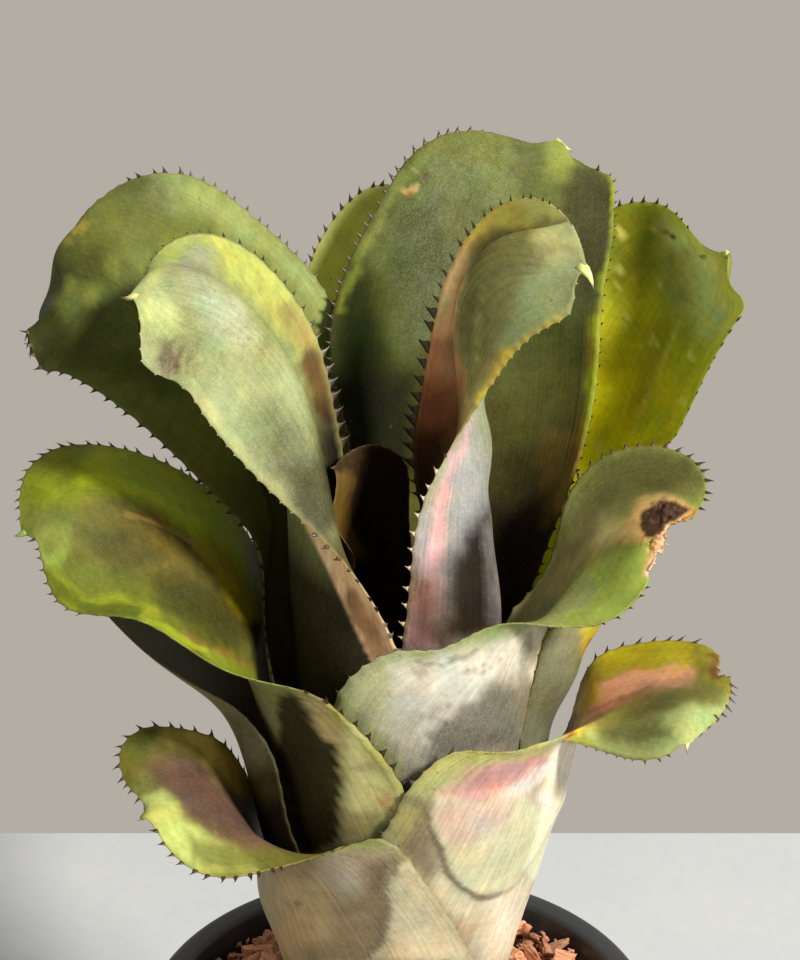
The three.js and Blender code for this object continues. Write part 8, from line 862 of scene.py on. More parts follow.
-355,73,5462,-337,175,5419,-304,273,5411,-265,356,5432,-223,419,5472,-185,462,5522,-152,487,5576,-126,498,5627,-105,499,5672,-90,494,5710,-80,487,5739,-74,480,5759,-70,475,5771,
-362,91,5532,-335,173,5497,-303,252,5493,-269,319,5514,-239,370,5550,-213,406,5595,-193,426,5642,-179,436,5685,-169,438,5723,-163,436,5754,-159,432,5777,-157,428,5793,-156,425,5800,
-353,108,5587,-326,169,5565,-299,228,5565,-275,278,5583,-255,317,5612,-241,345,5647,-230,363,5682,-224,373,5715,-220,378,5744,-219,378,5767,-218,377,5785,-218,376,5796,-218,375,5801,
-346,121,5624,-322,167,5611,-301,211,5615,-284,249,5630,-271,279,5652,-263,302,5677,-258,317,5704,-255,327,5728,-255,332,5750,-255,335,5767,-256,336,5780,-257,336,5789,-257,336,5794,
-342,134,5653,-323,167,5648,-308,198,5652,-296,226,5664,-288,249,5680,-284,266,5699,-281,279,5717,-281,288,5735,-282,294,5750,-283,298,5763,-285,300,5773,-286,301,5780,-287,301,5783,
-342,145,5677,-328,168,5677,-318,190,5682,-310,209,5691,-306,225,5702,-304,238,5714,-303,248,5726,-304,255,5738,-305,261,5748,-307,264,5757,-308,266,5764,-310,268,5769,-310,269,5772,
-345,157,5699,-336,171,5701,-330,184,5705,-326,196,5711,-324,206,5717,-323,214,5725,-323,221,5732,-324,226,5739,-325,230,5745,-327,233,5750,-328,236,5754,-329,237,5758,-330,238,5760,
-351,169,5718,-348,175,5720,-345,181,5722,-343,186,5725,-343,191,5728,-342,195,5732,-343,198,5735,-343,201,5738,-344,204,5741,-345,205,5743,-346,207,5745,-346,208,5746,-347,208,5747,
-361,180,5736,-361,180,5736,-361,180,5736,-361,180,5736,-361,180,5736,-361,180,5736,-361,180,5736,-361,180,5735,-361,180,5735,-361,180,5735,-361,180,5735,-361,180,5735,-361,180,5735]},
}

# ---------------------------------------------------------------- leaf colours
# For each leaf and side ("in" faces the crown, "out" faces away), stops along the leaf:
# (place, colour along the middle, colour at the margins, scurf, streaks).
# ops are markings laid over that, placed on the drawing plane of front(); many of them are painted shade, painted
# shadow, painted highlight and painted glow on the leaves. gain scales a leaf's whole colour and partly carries painted
# light too.
PAINT = {
    "leaf_back_center": {
        "gain": (0.74, 0.75, 0.50), "specular": 0.02,
        "rough": 0.62, "gloss": 0.0, "rim": 0.55, "edge": (58, 52, 24), "translucent": 0.12,
        "in": [(0.0, (20, 12, 8), (26, 16, 10), 0.0), (0.28, (30, 18, 11), (46, 28, 16), 0.0), (0.40, (62, 44, 24), (92, 66, 34), 0.02),
               (0.52, (86, 84, 40), (84, 82, 38), 0.05), (0.66, (84, 90, 42), (74, 80, 34), 0.10), (0.82, (92, 101, 50), (84, 92, 42), 0.16), (1.0, (118, 126, 64), (108, 114, 54), 0.12)],
        "out": [(0.0, (150, 136, 112), (160, 148, 122), 0.35, 0.6), (0.3, (118, 116, 82), (126, 124, 84), 0.5, 0.5), (0.6, (92, 104, 56), (96, 108, 56), 0.45, 0.4), (1.0, (104, 118, 60), (104, 114, 54), 0.3, 0.3)],
        "ops": [
            # painted shade: the left and lower left of the inner face are darkened where the inner leaves shade it,
            # down to a near-black painted shadow at the bottom left
            {"side": "in", "poly": [(326, 300), (352, 250), (384, 290), (398, 360), (402, 470), (340, 470)], "feather": 20, "col": (34, 40, 12), "a": 0.97, "scurf": 0.0},
            {"side": "in", "poly": [(395, 210), (440, 200), (445, 330), (400, 400), (380, 300)], "feather": 20, "col": (66, 72, 26), "a": 0.8},
            {"side": "in", "poly": [(330, 380), (424, 365), (424, 480), (330, 480)], "feather": 26, "col": (26, 28, 5), "a": 0.95, "scurf": 0.0},
            {"side": "in", "poly": [(430, 150), (520, 140), (510, 200), (470, 330), (425, 330), (400, 230)], "feather": 30, "scurf": 0.30},
            {"side": "in", "poly": [(488, 400), (610, 420), (600, 640), (488, 640)], "feather": 45, "col": (60, 44, 24), "a": 0.75},
            {"side": "in", "poly": [(488, 500), (600, 520), (600, 640), (488, 640)], "feather": 28, "col": (32, 12, 9), "a": 0.9},
            {"side": "in", "line": [(600, 330), (590, 400), (578, 460), (562, 500)], "half": 3, "feather": 9, "col": (176, 142, 76), "a": 0.9},
            {"side": "in", "line": [(585, 175), (604, 200), (606, 260), (600, 330)], "half": 3, "feather": 10, "col": (66, 66, 30), "a": 0.7},
            {"side": "in", "line": [(440, 140), (420, 160), (395, 195), (360, 255), (338, 310)], "half": 1.5, "feather": 6, "col": (118, 124, 62), "a": 0.7},
            {"side": "in", "dot": (425, 177, 3.0), "feather": 3.0, "squeeze": 0.8, "col": (96, 74, 52), "a": 0.85},
            {"side": "in", "dot": (426, 177, 1.0), "feather": 1.6, "col": (52, 30, 20), "a": 0.9},
            {"side": "in", "dot": (417, 172, 1.5), "feather": 3, "col": (176, 150, 120), "a": 0.8},
            {"side": "in", "line": [(406, 186), (411, 190), (418, 187)], "half": 1.2, "feather": 2.2, "col": (206, 172, 130), "a": 0.85},
            {"side": "in", "dot": (412, 191, 1.2), "feather": 2, "col": (150, 84, 44), "a": 0.8},
            {"side": "in", "dot": (462, 162, 1.2), "feather": 2, "col": (70, 56, 28), "a": 0.8},
            # the tip: painted shade left of the fold, then a painted highlight right of it
            {"side": "in", "poly": [(515, 138), (538, 142), (546, 160), (548, 200), (530, 205), (505, 180)], "feather": 11, "col": (76, 82, 36), "a": 0.85},
            {"side": "in", "poly": [(546, 140), (562, 140), (575, 156), (570, 178), (556, 195), (550, 165)], "feather": 6, "col": (138, 148, 78), "a": 0.75},
            # painted shade: the upper right of the inner face is darkened where the twisted inner right leaf shades it
            {"side": "in", "poly": [(554, 185), (585, 168), (616, 182), (612, 300), (580, 300), (562, 230)], "feather": 16, "col": (58, 57, 23), "a": 0.93, "scurf": 0.10},
            {"side": "in", "line": [(600, 300), (596, 360), (588, 410)], "half": 2, "feather": 8, "col": (110, 104, 54), "a": 0.6},
            {"side": "in", "poly": [(500, 370), (600, 370), (590, 450), (500, 450)], "feather": 20, "col": (116, 112, 60), "a": 0.6},
            {"side": "in", "poly": [(548, 430), (586, 430), (570, 510), (545, 520)], "feather": 14, "col": (150, 122, 74), "a": 0.8},
            {"side": "in", "dot": (455, 225, 9), "feather": 14, "col": (104, 104, 40), "a": 0.5},
            {"side": "in", "uv": (0.62, 0.93, 0.955, 1.3), "fu": 0.06, "fv": 0.05, "col": (190, 200, 60), "a": 0.85},
        ],
        "flatten": (0.70, 0.90, 0.85),
        "warp": [{"at": (586, 152), "r": 13, "d": (-3, 9)}, {"at": (577, 149), "r": 9, "d": (-6, 6)}, {"at": (607, 186), "r": 12, "d": (5, -6)}],
        "barbs": [{"at": (559, 142), "to": (572, 150.5), "w": 1.0, "col": (176, 184, 104), "tipcol": (196, 190, 128)}],
        "zones": [([(500, 110), (592, 120), (592, 176), (560, 176), (500, 150)], 0.0), ([(590, 176), (625, 170), (625, 460), (575, 470), (590, 300)], 0.55), ([(420, 120), (500, 115), (500, 150), (420, 150)], 0.9)],
        "mucro": {"len": 3.0, "w": 1.1, "dir": (0.85, 0.0, -0.55), "col": (176, 178, 112)},
    },
    "leaf_back_right": {
        "gain": (1.22, 1.24, 1.35),
        "rough": 0.42, "gloss": 0.3, "rim": 0.5, "translucent": 0.48, "edge": (120, 112, 30),
        # painted glow: the inner face is coloured brighter and yellower than the leaf itself, standing in for light
        # shining through it
        "in": [(0.0, (60, 44, 20), (70, 50, 22), 0.0), (0.35, (150, 130, 30), (160, 140, 30), 0.0), (0.5, (216, 214, 20), (212, 208, 20), 0.0),
               (0.7, (224, 216, 56), (226, 218, 52), 0.02), (0.86, (168, 172, 60), (170, 176, 64), 0.05), (1.0, (176, 188, 92), (184, 196, 96), 0.08)],
        "out": [(0.0, (158, 142, 118), (160, 146, 120), 0.4, 0.7), (0.3, (122, 122, 82), (132, 130, 80), 0.45, 0.6), (0.42, (112, 116, 66), (150, 146, 52), 0.35, 0.5), (0.6, (116, 126, 44), (126, 132, 46), 0.3, 0.4), (1.0, (124, 132, 50), (128, 134, 50), 0.2, 0.3)],
        "ops": [
            # painted light and shade on the inner face: darker olive at the upper left, a bright pale patch on the
            # right where the leaf lies in shadow, and yellow streaks as painted glow of light through it
            {"side": "in", "poly": [(606, 196), (650, 200), (668, 225), (650, 250), (636, 290), (602, 300)], "feather": 18, "col": (116, 118, 28), "a": 0.8},
            {"side": "in", "poly": [(664, 222), (735, 250), (745, 320), (700, 338), (676, 290)], "feather": 18, "col": (208, 220, 156), "a": 0.85, "scurf": 0.12},
            {"side": "in", "poly": [(664, 252), (690, 250), (690, 300), (668, 310)], "feather": 12, "col": (128, 126, 44), "a": 0.6},
            {"side": "in", "line": [(640, 300), (625, 350), (610, 400)], "half": 8, "feather": 16, "col": (190, 182, 34), "a": 0.4},
            {"side": "in", "line": [(664, 330), (650, 370), (634, 420)], "half": 5, "feather": 12, "col": (150, 138, 40), "a": 0.5},
            {"side": "in", "line": [(726, 262), (728, 290), (742, 312), (720, 345), (700, 385)], "half": 2, "feather": 10, "col": (206, 208, 96), "a": 0.5},
            {"side": "in", "line": [(628, 445), (645, 405), (658, 378), (670, 345), (680, 322)], "half": 0.5, "feather": 2.4, "col": (224, 216, 110), "a": 0.6, "wobble": False},
            {"side": "in", "line": [(664, 440), (676, 410), (688, 380)], "half": 0.5, "feather": 3, "col": (216, 208, 80), "a": 0.4},
            *[{"side": "in", "dot": (x, y, r), "feather": 3.4, "squeeze": 0.8, "col": (226, 220, 118), "a": 0.7} for x, y, r in
              ((620, 232, 2.2), (620, 270, 1.4), (630, 323, 2.4), (652, 225, 2.6), (662, 285, 2.4), (693, 355, 2.6), (708, 322, 2.8), (682, 402, 1.6), (655, 340, 3.2), (618, 290, 1.2), (600, 448, 2.0))],
            {"side": "in", "line": [(664, 232), (668, 229), (676, 234)], "half": 1.5, "feather": 1.8, "col": (62, 32, 20), "a": 0.95},
            {"side": "in", "dot": (668, 233, 5), "feather": 4, "squeeze": 1.4, "col": (190, 160, 96), "a": 0.4},
            {"side": "in", "line": [(699, 260), (705, 257)], "half": 0.8, "feather": 1.6, "col": (84, 52, 26), "a": 0.9},
            # painted glow: a saturated yellow flare for light shining through the sheath
            {"side": "out", "poly": [(582, 622), (606, 622), (600, 645), (586, 668), (580, 655)], "feather": 4, "col": (206, 186, 24), "a": 0.9},
            # painted shadow: a dark band where the front right upper leaf's sheath edge shades this sheath
            {"side": "out", "line": [(546, 628), (540, 655), (530, 700), (519, 745)], "half": 3, "feather": 7, "col": (64, 66, 32), "a": 0.85},
            {"side": "out", "poly": [(560, 626), (584, 626), (578, 680), (562, 742), (548, 742), (552, 690)], "feather": 8, "col": (136, 134, 102), "a": 0.7, "scurf": 0.5},
            {"side": "out", "poly": [(520, 720), (535, 700), (560, 720), (558, 745), (516, 748)], "feather": 8, "col": (104, 116, 52), "a": 0.7},
            {"side": "out", "poly": [(536, 630), (572, 628), (560, 745), (510, 748), (524, 690)], "feather": 10, "col": (104, 102, 78), "a": 0.8, "scurf": 0.45},
            {"side": "out", "line": [(591, 640), (587, 660), (583, 690)], "half": 0.8, "feather": 2, "col": (150, 70, 24), "a": 0.8},
        ],
        "warp": [{"at": (524, 700), "r": 60, "d": (-15, 0), "side": -1, "u": (0.20, 0.52), "back": 2.0}, {"at": (580, 690), "r": 30, "d": (13, 0), "u": (0.25, 0.5)}, {"at": (594, 612), "r": 34, "d": (17, 0), "side": -1, "u": (0.40, 0.58)}],
        "zones": [([(690, 232), (745, 236), (745, 318), (700, 318)], 0.0), ([(660, 190), (700, 190), (700, 240), (660, 230)], 0.7), ([(720, 300), (760, 300), (760, 345), (690, 345)], 0.9), ([(640, 345), (740, 345), (700, 460), (640, 460)], 0.6), ([(500, 600), (620, 600), (620, 780), (500, 780)], 0.45)],
        "mucro": {"len": 4.2, "w": 1.2, "dir": (0.45, 0.0, -0.9), "col": (196, 200, 120)},
    },
    "leaf_back_small": {
        "gain": (1.15, 1.15, 1.3), "rough": 0.42, "translucent": 0.78, "edge": (130, 128, 60),
        # painted light: the inner face is painted near-white yellow-green, standing in for light that reaches and
        # shines through it
        "in": [(0.0, (70, 50, 26), (70, 50, 26), 0.0), (0.45, (200, 196, 80), (200, 196, 80), 0.0), (0.75, (236, 240, 140), (238, 240, 144), 0.05), (1.0, (240, 244, 156), (244, 246, 160), 0.1)],
        "out": [(0.0, (140, 128, 100), (140, 128, 100), 0.35, 0.6), (0.4, (120, 118, 72), (126, 124, 74), 0.4, 0.5), (1.0, (126, 134, 66), (136, 142, 70), 0.25, 0.3)],
        "ops": [{"side": "in", "dot": (x, y, r), "feather": 9, "col": (226, 214, 150), "a": 0.4} for x, y, r in ((336, 232, 3), (352, 222, 2), (330, 262, 4), (372, 206, 3))],
        "mucro": {"len": 3.0, "w": 0.9},
    },
    "leaf_back_left": {
        "gain": (0.87, 0.87, 0.68), "specular": 0.06,
        "rough": 0.5, "gloss": 0.1, "rim": 0.55, "edge": (70, 66, 28), "translucent": 0.12,
        "in": [(0.0, (26, 18, 10), (30, 20, 10), 0.0), (0.3, (52, 44, 20), (60, 50, 22), 0.0), (0.42, (86, 82, 32), (92, 88, 36), 0.02), (0.55, (100, 104, 42), (100, 102, 40), 0.04),
               (0.75, (96, 104, 46), (94, 100, 44), 0.08), (0.9, (86, 93, 40), (92, 100, 42), 0.12), (1.0, (72, 76, 34), (92, 96, 42), 0.1)],
        "out": [(0.0, (140, 126, 104), (146, 132, 106), 0.4, 0.6), (0.35, (112, 112, 74), (116, 116, 72), 0.5, 0.5), (0.7, (90, 102, 52), (94, 106, 52), 0.4, 0.4), (1.0, (92, 104, 50), (96, 106, 50), 0.3, 0.3)],
        "ops": [
            # paler scurf, with a painted highlight along the upper right of the inner face
            {"side": "in", "poly": [(150, 172), (215, 178), (265, 222), (335, 292), (322, 320), (270, 260), (210, 215), (150, 200)], "feather": 20, "col": (150, 164, 100), "a": 0.8, "scurf": 0.28},
            # painted shade: the left fold and the tip are darkened where the inner left leaf shades them and the fold
            # turns away from the light
            {"side": "in", "poly": [(58, 250), (100, 240), (120, 290), (95, 340), (60, 320), (40, 290)], "feather": 22, "col": (56, 60, 26), "a": 0.9, "scurf": 0.03},
            {"side": "in", "poly": [(28, 318), (80, 320), (130, 345), (175, 370), (165, 392), (100, 378), (40, 362)], "feather": 16, "col": (68, 72, 28), "a": 0.85, "scurf": 0.03},
            {"side": "in", "poly": [(24, 300), (60, 300), (70, 345), (40, 375), (22, 340)], "feather": 10, "col": (36, 40, 14), "a": 0.85, "scurf": 0.0},
            {"side": "in", "poly": [(110, 185), (150, 172), (176, 185), (168, 215), (126, 220)], "feather": 14, "col": (70, 76, 26), "a": 0.8},
            {"side": "in", "poly": [(100, 275), (150, 260), (170, 300), (150, 340), (110, 330)], "feather": 20, "col": (66, 74, 30), "a": 0.8},
            {"side": "in", "poly": [(100, 190), (150, 176), (170, 215), (120, 240), (82, 238)], "feather": 18, "col": (98, 102, 48), "a": 0.6},
            {"side": "in", "dot": (80, 226, 6), "feather": 7, "squeeze": 1.2, "col": (150, 138, 62), "a": 0.7},
            {"side": "in", "dot": (66, 240, 3), "feather": 4, "col": (132, 116, 52), "a": 0.6},
            {"side": "in", "line": [(60, 300), (90, 290), (120, 300)], "half": 4, "feather": 12, "col": (96, 106, 56), "a": 0.6},
            *[{"side": "in", "dot": (x, y, r), "feather": 7, "col": (120, 126, 62), "a": 0.45} for x, y, r in ((92, 300, 6), (112, 268, 6), (70, 285, 5), (140, 262, 6), (132, 318, 6), (176, 240, 6))],
            # painted shade: the lower inner face is darkened inside the tank
            {"side": "in", "poly": [(225, 480), (300, 440), (320, 640), (262, 640)], "feather": 24, "col": (66, 62, 24), "a": 0.6},
        ],
        "warp": [{"at": (37, 368), "r": 34, "d": (9, -26), "u": (0.945, 1.2)}, {"at": (37, 360), "r": 18, "d": (2, 10), "u": (0.78, 0.93)}, {"at": (24, 333), "r": 9, "d": (3, -7), "u": (0.82, 0.93)}, {"at": (44, 285), "r": 19, "d": (9, 0)}],
        "zones": [([(0, 170), (118, 170), (118, 210), (100, 240), (60, 320), (0, 322)], 0.0), ([(190, 160), (330, 160), (330, 290), (190, 290)], 0.75), ([(40, 360), (190, 360), (190, 470), (40, 470)], 0.8)],
        "mucro": {"len": 0.8, "w": 0.5, "dir": (-0.9, 0.0, -0.3), "col": (96, 100, 48), "tipcol": (80, 70, 40)},
    },
    "leaf_inner_left": {
        "gain": (1.0, 0.99, 0.85), "specular": 0.06,
        "rough": 0.55, "gloss": 0.1, "rim": 0.7, "edge": (170, 164, 104), "translucent": 0.14,
        "in": [(0.0, (24, 14, 8), (26, 14, 8), 0.0), (0.3, (46, 34, 16), (52, 38, 18), 0.0), (0.45, (76, 70, 40), (84, 72, 40), 0.1), (0.6, (112, 116, 70), (110, 104, 60), 0.2),
               (0.8, (134, 142, 88), (150, 154, 88), 0.3), (1.0, (146, 154, 98), (158, 162, 96), 0.3)],
        "cols": 57,
        "out": [(0.0, (32, 26, 13), (32, 25, 13), 0.03, 0.7), (0.30, (34, 28, 13), (36, 28, 15), 0.03, 0.6), (0.44, (44, 38, 18), (48, 38, 22), 0.06, 0.5), (0.6, (142, 148, 94), (150, 152, 94), 0.4, 0.4), (1.0, (140, 150, 94), (150, 154, 94), 0.4, 0.3)],
        "ops": [
            # grey-green near half, left of the crease; whiter towards the bend at the top
            {"side": "in", "poly": [(130, 250), (180, 262), (225, 296), (265, 331), (295, 375), (312, 425), (322, 480), (335, 545), (300, 560), (200, 440), (130, 380)], "feather": 5, "col": (134, 142, 96), "a": 0.95, "scurf": 0.42, "streak": 0.5},
            {"side": "in", "poly": [(205, 285), (240, 302), (258, 335), (236, 350), (214, 335), (200, 310)], "feather": 14, "col": (168, 176, 144), "a": 0.8, "scurf": 0.8},
            {"side": "in", "poly": [(210, 340), (290, 385), (308, 440), (300, 470), (240, 420), (205, 370)], "feather": 18, "col": (124, 136, 90), "a": 0.6, "scurf": 0.3},
            {"side": "in", "line": [(190, 395), (215, 420), (250, 465), (290, 505)], "half": 3, "feather": 9, "col": (160, 164, 104), "a": 0.7},
            # painted shade: the near half darkens along the crease and towards the tank
            {"side": "in", "poly": [(262, 400), (312, 430), (330, 545), (300, 560), (262, 470)], "feather": 24, "col": (82, 84, 54), "a": 0.85, "scurf": 0.22},
            {"side": "in", "poly": [(286, 465), (322, 470), (336, 545), (300, 560)], "feather": 16, "col": (50, 48, 28), "a": 0.85, "scurf": 0.08},
            {"side": "in", "dot": (176, 355, 9), "feather": 12, "squeeze": 0.75, "col": (80, 56, 50), "a": 0.95, "scurf": 0.15, "patchy": 0.3, "patch": 2.2},
            {"side": "in", "dot": (168, 366, 8), "feather": 10, "col": (90, 68, 56), "a": 0.9, "patchy": 0.5, "patch": 1.6},
            {"side": "in", "dot": (160, 335, 6), "feather": 9, "col": (120, 100, 76), "a": 0.5, "patchy": 0.5, "patch": 1.6},
            {"side": "in", "poly": [(136, 296), (160, 296), (182, 318), (172, 336), (150, 334), (138, 322)], "feather": 9, "col": (172, 182, 122), "a": 0.8},
            {"side": "in", "dot": (196, 262, 9), "feather": 14, "squeeze": 1.2, "col": (128, 124, 104), "a": 0.85, "scurf": 0.85, "patchy": 0.3, "patch": 2.0},
            {"side": "in", "poly": [(142, 262), (152, 244), (190, 234), (186, 248), (168, 268), (148, 290)], "feather": 9, "col": (172, 178, 92), "a": 0.85},
            {"side": "in", "poly": [(176, 268), (215, 272), (225, 290), (190, 292)], "feather": 9, "col": (146, 142, 110), "a": 0.6, "scurf": 0.5},
            # smooth strip to its right: yellow-green at the margin, cream, then pinkish; below that, painted shade
            # darkens it into the tank, nearly black at the bottom
            {"side": "in", "poly": [(215, 236), (262, 262), (300, 305), (320, 345), (330, 395), (312, 390), (292, 345), (258, 305), (225, 280)], "feather": 9, "col": (174, 172, 94), "a": 0.85, "scurf": 0.12, "within": (0.3, 1.0, 0.1, 1.01)},
            {"side": "in", "line": [(212, 238), (240, 246), (262, 264), (286, 292)], "half": 3, "feather": 8, "col": (176, 180, 92), "a": 0.7},
            {"side": "in", "line": [(286, 312), (306, 345), (318, 372)], "half": 5, "feather": 9, "col": (144, 130, 80), "a": 0.85, "scurf": 0.05},
            {"side": "in", "line": [(312, 362), (321, 388), (328, 410)], "half": 6, "feather": 14, "col": (84, 60, 36), "a": 0.92, "scurf": 0.0},
            {"side": "in", "poly": [(320, 408), (342, 402), (350, 480), (330, 480)], "feather": 16, "col": (34, 20, 9), "a": 0.92, "scurf": 0.0},
            {"side": "in", "poly": [(318, 446), (336, 426), (352, 426), (360, 520), (326, 520)], "feather": 18, "col": (14, 7, 2), "a": 0.95, "scurf": 0.0},
            {"side": "in", "poly": [(300, 540), (345, 548), (395, 645), (340, 700), (290, 640)], "feather": 14, "col": (40, 28, 12), "a": 0.9, "scurf": 0.0},
            # outer face below the turn: a pale pink band along the margin, painted brighter than its own colour as
            # painted light
            {"side": "out", "poly": [(296, 508), (318, 516), (345, 552), (372, 592), (404, 652), (372, 662), (352, 622), (326, 566)], "feather": 2.4, "col": (246, 204, 172), "a": 0.95, "scurf": 0.12, "streak": 0.6, "wobble": False},
            {"side": "out", "line": [(352, 600), (366, 625), (380, 655)], "half": 4, "feather": 8, "col": (130, 92, 66), "a": 0.8},
        ],
        "warp": [],
        "zones": [([(130, 225), (215, 225), (215, 262), (150, 280), (120, 290)], 0.6), ([(115, 300), (150, 300), (175, 385), (160, 400), (115, 380)], 0.3, "pale"),
                  ([(150, 385), (190, 370), (320, 500), (310, 545), (150, 430)], 0.22, "pale"), ([(300, 290), (345, 290), (345, 350), (310, 350)], 1.15), ([(315, 350), (370, 350), (370, 470), (325, 470)], 1.7, "wide")],
        "pale_spines": [(-1, 0.30, 0.47)],
        "mucro": {"len": 3.4, "w": 1.6, "dir": (-1.0, -0.1, 0.1), "col": (176, 178, 108), "tipcol": (120, 90, 50)},
    },
    "leaf_inner_right": {
        "gain": (1.10, 1.08, 1.12), "specular": 0.06,
        "rough": 0.50, "gloss": 0.15, "rim": 0.7, "edge": (160, 140, 70), "translucent": 0.3,
        "in": [(0.0, (24, 14, 8), (26, 14, 8), 0.0), (0.35, (84, 52, 32), (90, 58, 34), 0.0), (0.5, (110, 96, 50), (140, 110, 60), 0.05), (0.66, (112, 106, 56), (150, 132, 70), 0.15),
               (0.85, (120, 122, 74), (170, 156, 84), 0.3), (1.0, (140, 146, 96), (150, 152, 96), 0.35)],
        "out": [(0.0, (90, 62, 42), (90, 62, 42), 0.1, 0.7), (0.2, (96, 70, 46), (104, 76, 50), 0.2, 0.8), (0.35, (140, 126, 116), (150, 130, 122), 0.5, 0.9), (0.5, (158, 154, 150), (170, 150, 146), 0.6, 0.9), (0.62, (140, 148, 110), (150, 152, 110), 0.5, 0.5), (1.0, (136, 146, 100), (144, 150, 100), 0.45, 0.3)],
        "ops": [
            # left strip: smooth, yellow-orange above, painted extra bright as a painted glow of light shining through
            # it; pink-brown and dark below
            {"side": "in", "poly": [(470, 205), (530, 196), (560, 205), (540, 228), (500, 228), (474, 246), (462, 275), (440, 270)], "feather": 8, "col": (250, 226, 120), "a": 0.94, "scurf": 0.05},
            {"side": "in", "poly": [(440, 262), (474, 244), (458, 300), (455, 340), (428, 340)], "feather": 9, "col": (255, 204, 150), "a": 0.97, "scurf": 0.0},
            {"side": "in", "poly": [(424, 330), (456, 330), (458, 388), (416, 388)], "feather": 22, "col": (214, 150, 112), "a": 0.95, "scurf": 0.0},
            {"side": "in", "poly": [(408, 384), (458, 384), (462, 440), (400, 450)], "feather": 22, "col": (146, 88, 64), "a": 0.93, "scurf": 0.0},
            {"side": "in", "poly": [(396, 430), (450, 430), (430, 560), (396, 560)], "feather": 14, "col": (48, 26, 14), "a": 0.9, "scurf": 0.0},
            # blade right of the crease
            {"side": "in", "poly": [(474, 246), (520, 228), (560, 235), (520, 300), (470, 400), (456, 350), (458, 300)], "feather": 8, "col": (106, 104, 50), "a": 0.85, "scurf": 0.12, "streak": 0.9},
            {"side": "in", "poly": [(520, 290), (562, 250), (580, 290), (560, 322), (520, 345), (500, 350)], "feather": 10, "col": (138, 152, 92), "a": 0.85, "scurf": 0.5},
            {"side": "in", "poly": [(535, 212), (570, 220), (582, 262), (555, 262), (535, 240)], "feather": 9, "col": (176, 178, 112), "a": 0.85, "scurf": 0.4},
            # painted light: the top of the hood is painted pale yellow where the curled hood shades it
            {"side": "in", "poly": [(510, 196), (562, 200), (576, 218), (530, 220)], "feather": 8, "col": (255, 244, 160), "a": 0.9, "scurf": 0.1},
            {"side": "in", "line": [(522, 268), (545, 252), (568, 250)], "half": 2, "feather": 5, "col": (128, 126, 84), "a": 0.5, "scurf": 0.4},
            {"side": "in", "line": [(560, 325), (535, 338), (512, 356), (496, 380), (482, 402)], "half": 3.4, "feather": 6, "col": (212, 186, 76), "a": 0.9, "scurf": 0.05},
            {"side": "in", "line": [(476, 300), (470, 330), (468, 370), (470, 400)], "half": 0.8, "feather": 3, "col": (82, 74, 34), "a": 0.5},
            {"side": "in", "line": [(486, 285), (480, 320), (477, 360)], "half": 0.8, "feather": 3, "col": (150, 150, 96), "a": 0.45},
            {"side": "in", "line": [(497, 275), (490, 305), (485, 345)], "half": 0.8, "feather": 3, "col": (78, 74, 36), "a": 0.4},
            # outer face below the turn: pink strip, then silver streaks, brown low on the right
            {"side": "out", "poly": [(474, 418), (456, 440), (436, 500), (422, 560), (404, 640), (430, 650), (440, 580), (446, 520), (460, 460)], "feather": 6, "col": (216, 172, 168), "a": 0.9, "scurf": 0.3, "streak": 0.9},
            {"side": "out", "line": [(468, 432), (452, 470), (442, 520), (436, 560)], "half": 1.5, "feather": 6, "col": (206, 140, 140), "a": 0.5},
            {"side": "out", "poly": [(474, 420), (484, 460), (488, 520), (470, 545), (452, 530), (450, 480)], "feather": 9, "col": (150, 146, 146), "a": 0.8, "scurf": 0.7, "streak": 1.0},
            {"side": "out", "poly": [(450, 555), (470, 520), (492, 500), (502, 640), (436, 650)], "feather": 18, "col": (26, 17, 5), "a": 0.98, "scurf": 0.0, "streak": 1.0},
            {"side": "out", "poly": [(404, 570), (440, 565), (450, 650), (400, 655)], "feather": 22, "col": (74, 44, 26), "a": 0.92, "scurf": 0.06},
        ],
        "warp": [{"at": (500, 440), "r": 48, "d": (-16, 8), "u": (0.1, 0.56)}, {"at": (506, 535), "r": 60, "d": (-9, 0), "u": (0.1, 0.64)}, {"at": (489, 398), "r": 24, "d": (-10, 6), "u": (0.5, 0.80), "side": 1}],
        "zones": [([(560, 285), (600, 285), (590, 340), (530, 372), (490, 425), (450, 450), (440, 440), (500, 350)], 0.25, "pale"), ([(558, 200), (600, 200), (600, 284), (560, 284)], 0.6, "pale"),
                  ([(480, 185), (558, 185), (558, 215), (480, 215)], 0.7), ([(400, 300), (446, 300), (430, 470), (395, 470)], 1.6, "wide")],
        "mucro": {"len": 5.4, "w": 1.5, "dir": (0.42, -0.2, -0.9), "col": (190, 196, 116), "tipcol": (190, 180, 120)},
        "pale_spines": [(-1, 0.30, 0.60)],
    },
    "leaf_innermost": {
        "rough": 0.5, "gloss": 0.1, "translucent": 0.1, "edge": (110, 80, 40),
        "in": [(0.0, (10, 6, 4), (10, 6, 4), 0.0), (0.5, (20, 11, 5), (26, 15, 7), 0.0), (0.8, (32, 19, 8), (46, 30, 12), 0.0), (1.0, (50, 34, 14), (66, 48, 22), 0.03)],
        "out": [(0.0, (60, 42, 26), (60, 42, 26), 0.1, 0.6), (0.6, (84, 66, 36), (92, 72, 40), 0.2, 0.5), (1.0, (104, 88, 46), (112, 92, 48), 0.2, 0.4)],
        "ops": [
            {"side": "in", "line": [(340, 480), (336, 500), (340, 530), (352, 552)], "half": 7, "feather": 8, "col": (104, 80, 34), "a": 0.8},
            {"side": "in", "line": [(364, 465), (360, 490), (362, 520)], "half": 0.8, "feather": 3, "col": (20, 12, 6), "a": 0.7},
        ],
        "mucro": {"len": 2.2, "w": 0.8, "col": (70, 52, 28), "tipcol": (60, 40, 24)},
        "zones": [([(300, 430), (460, 430), (460, 640), (300, 640)], 0.35)],
        "spine": 0.8,
    },
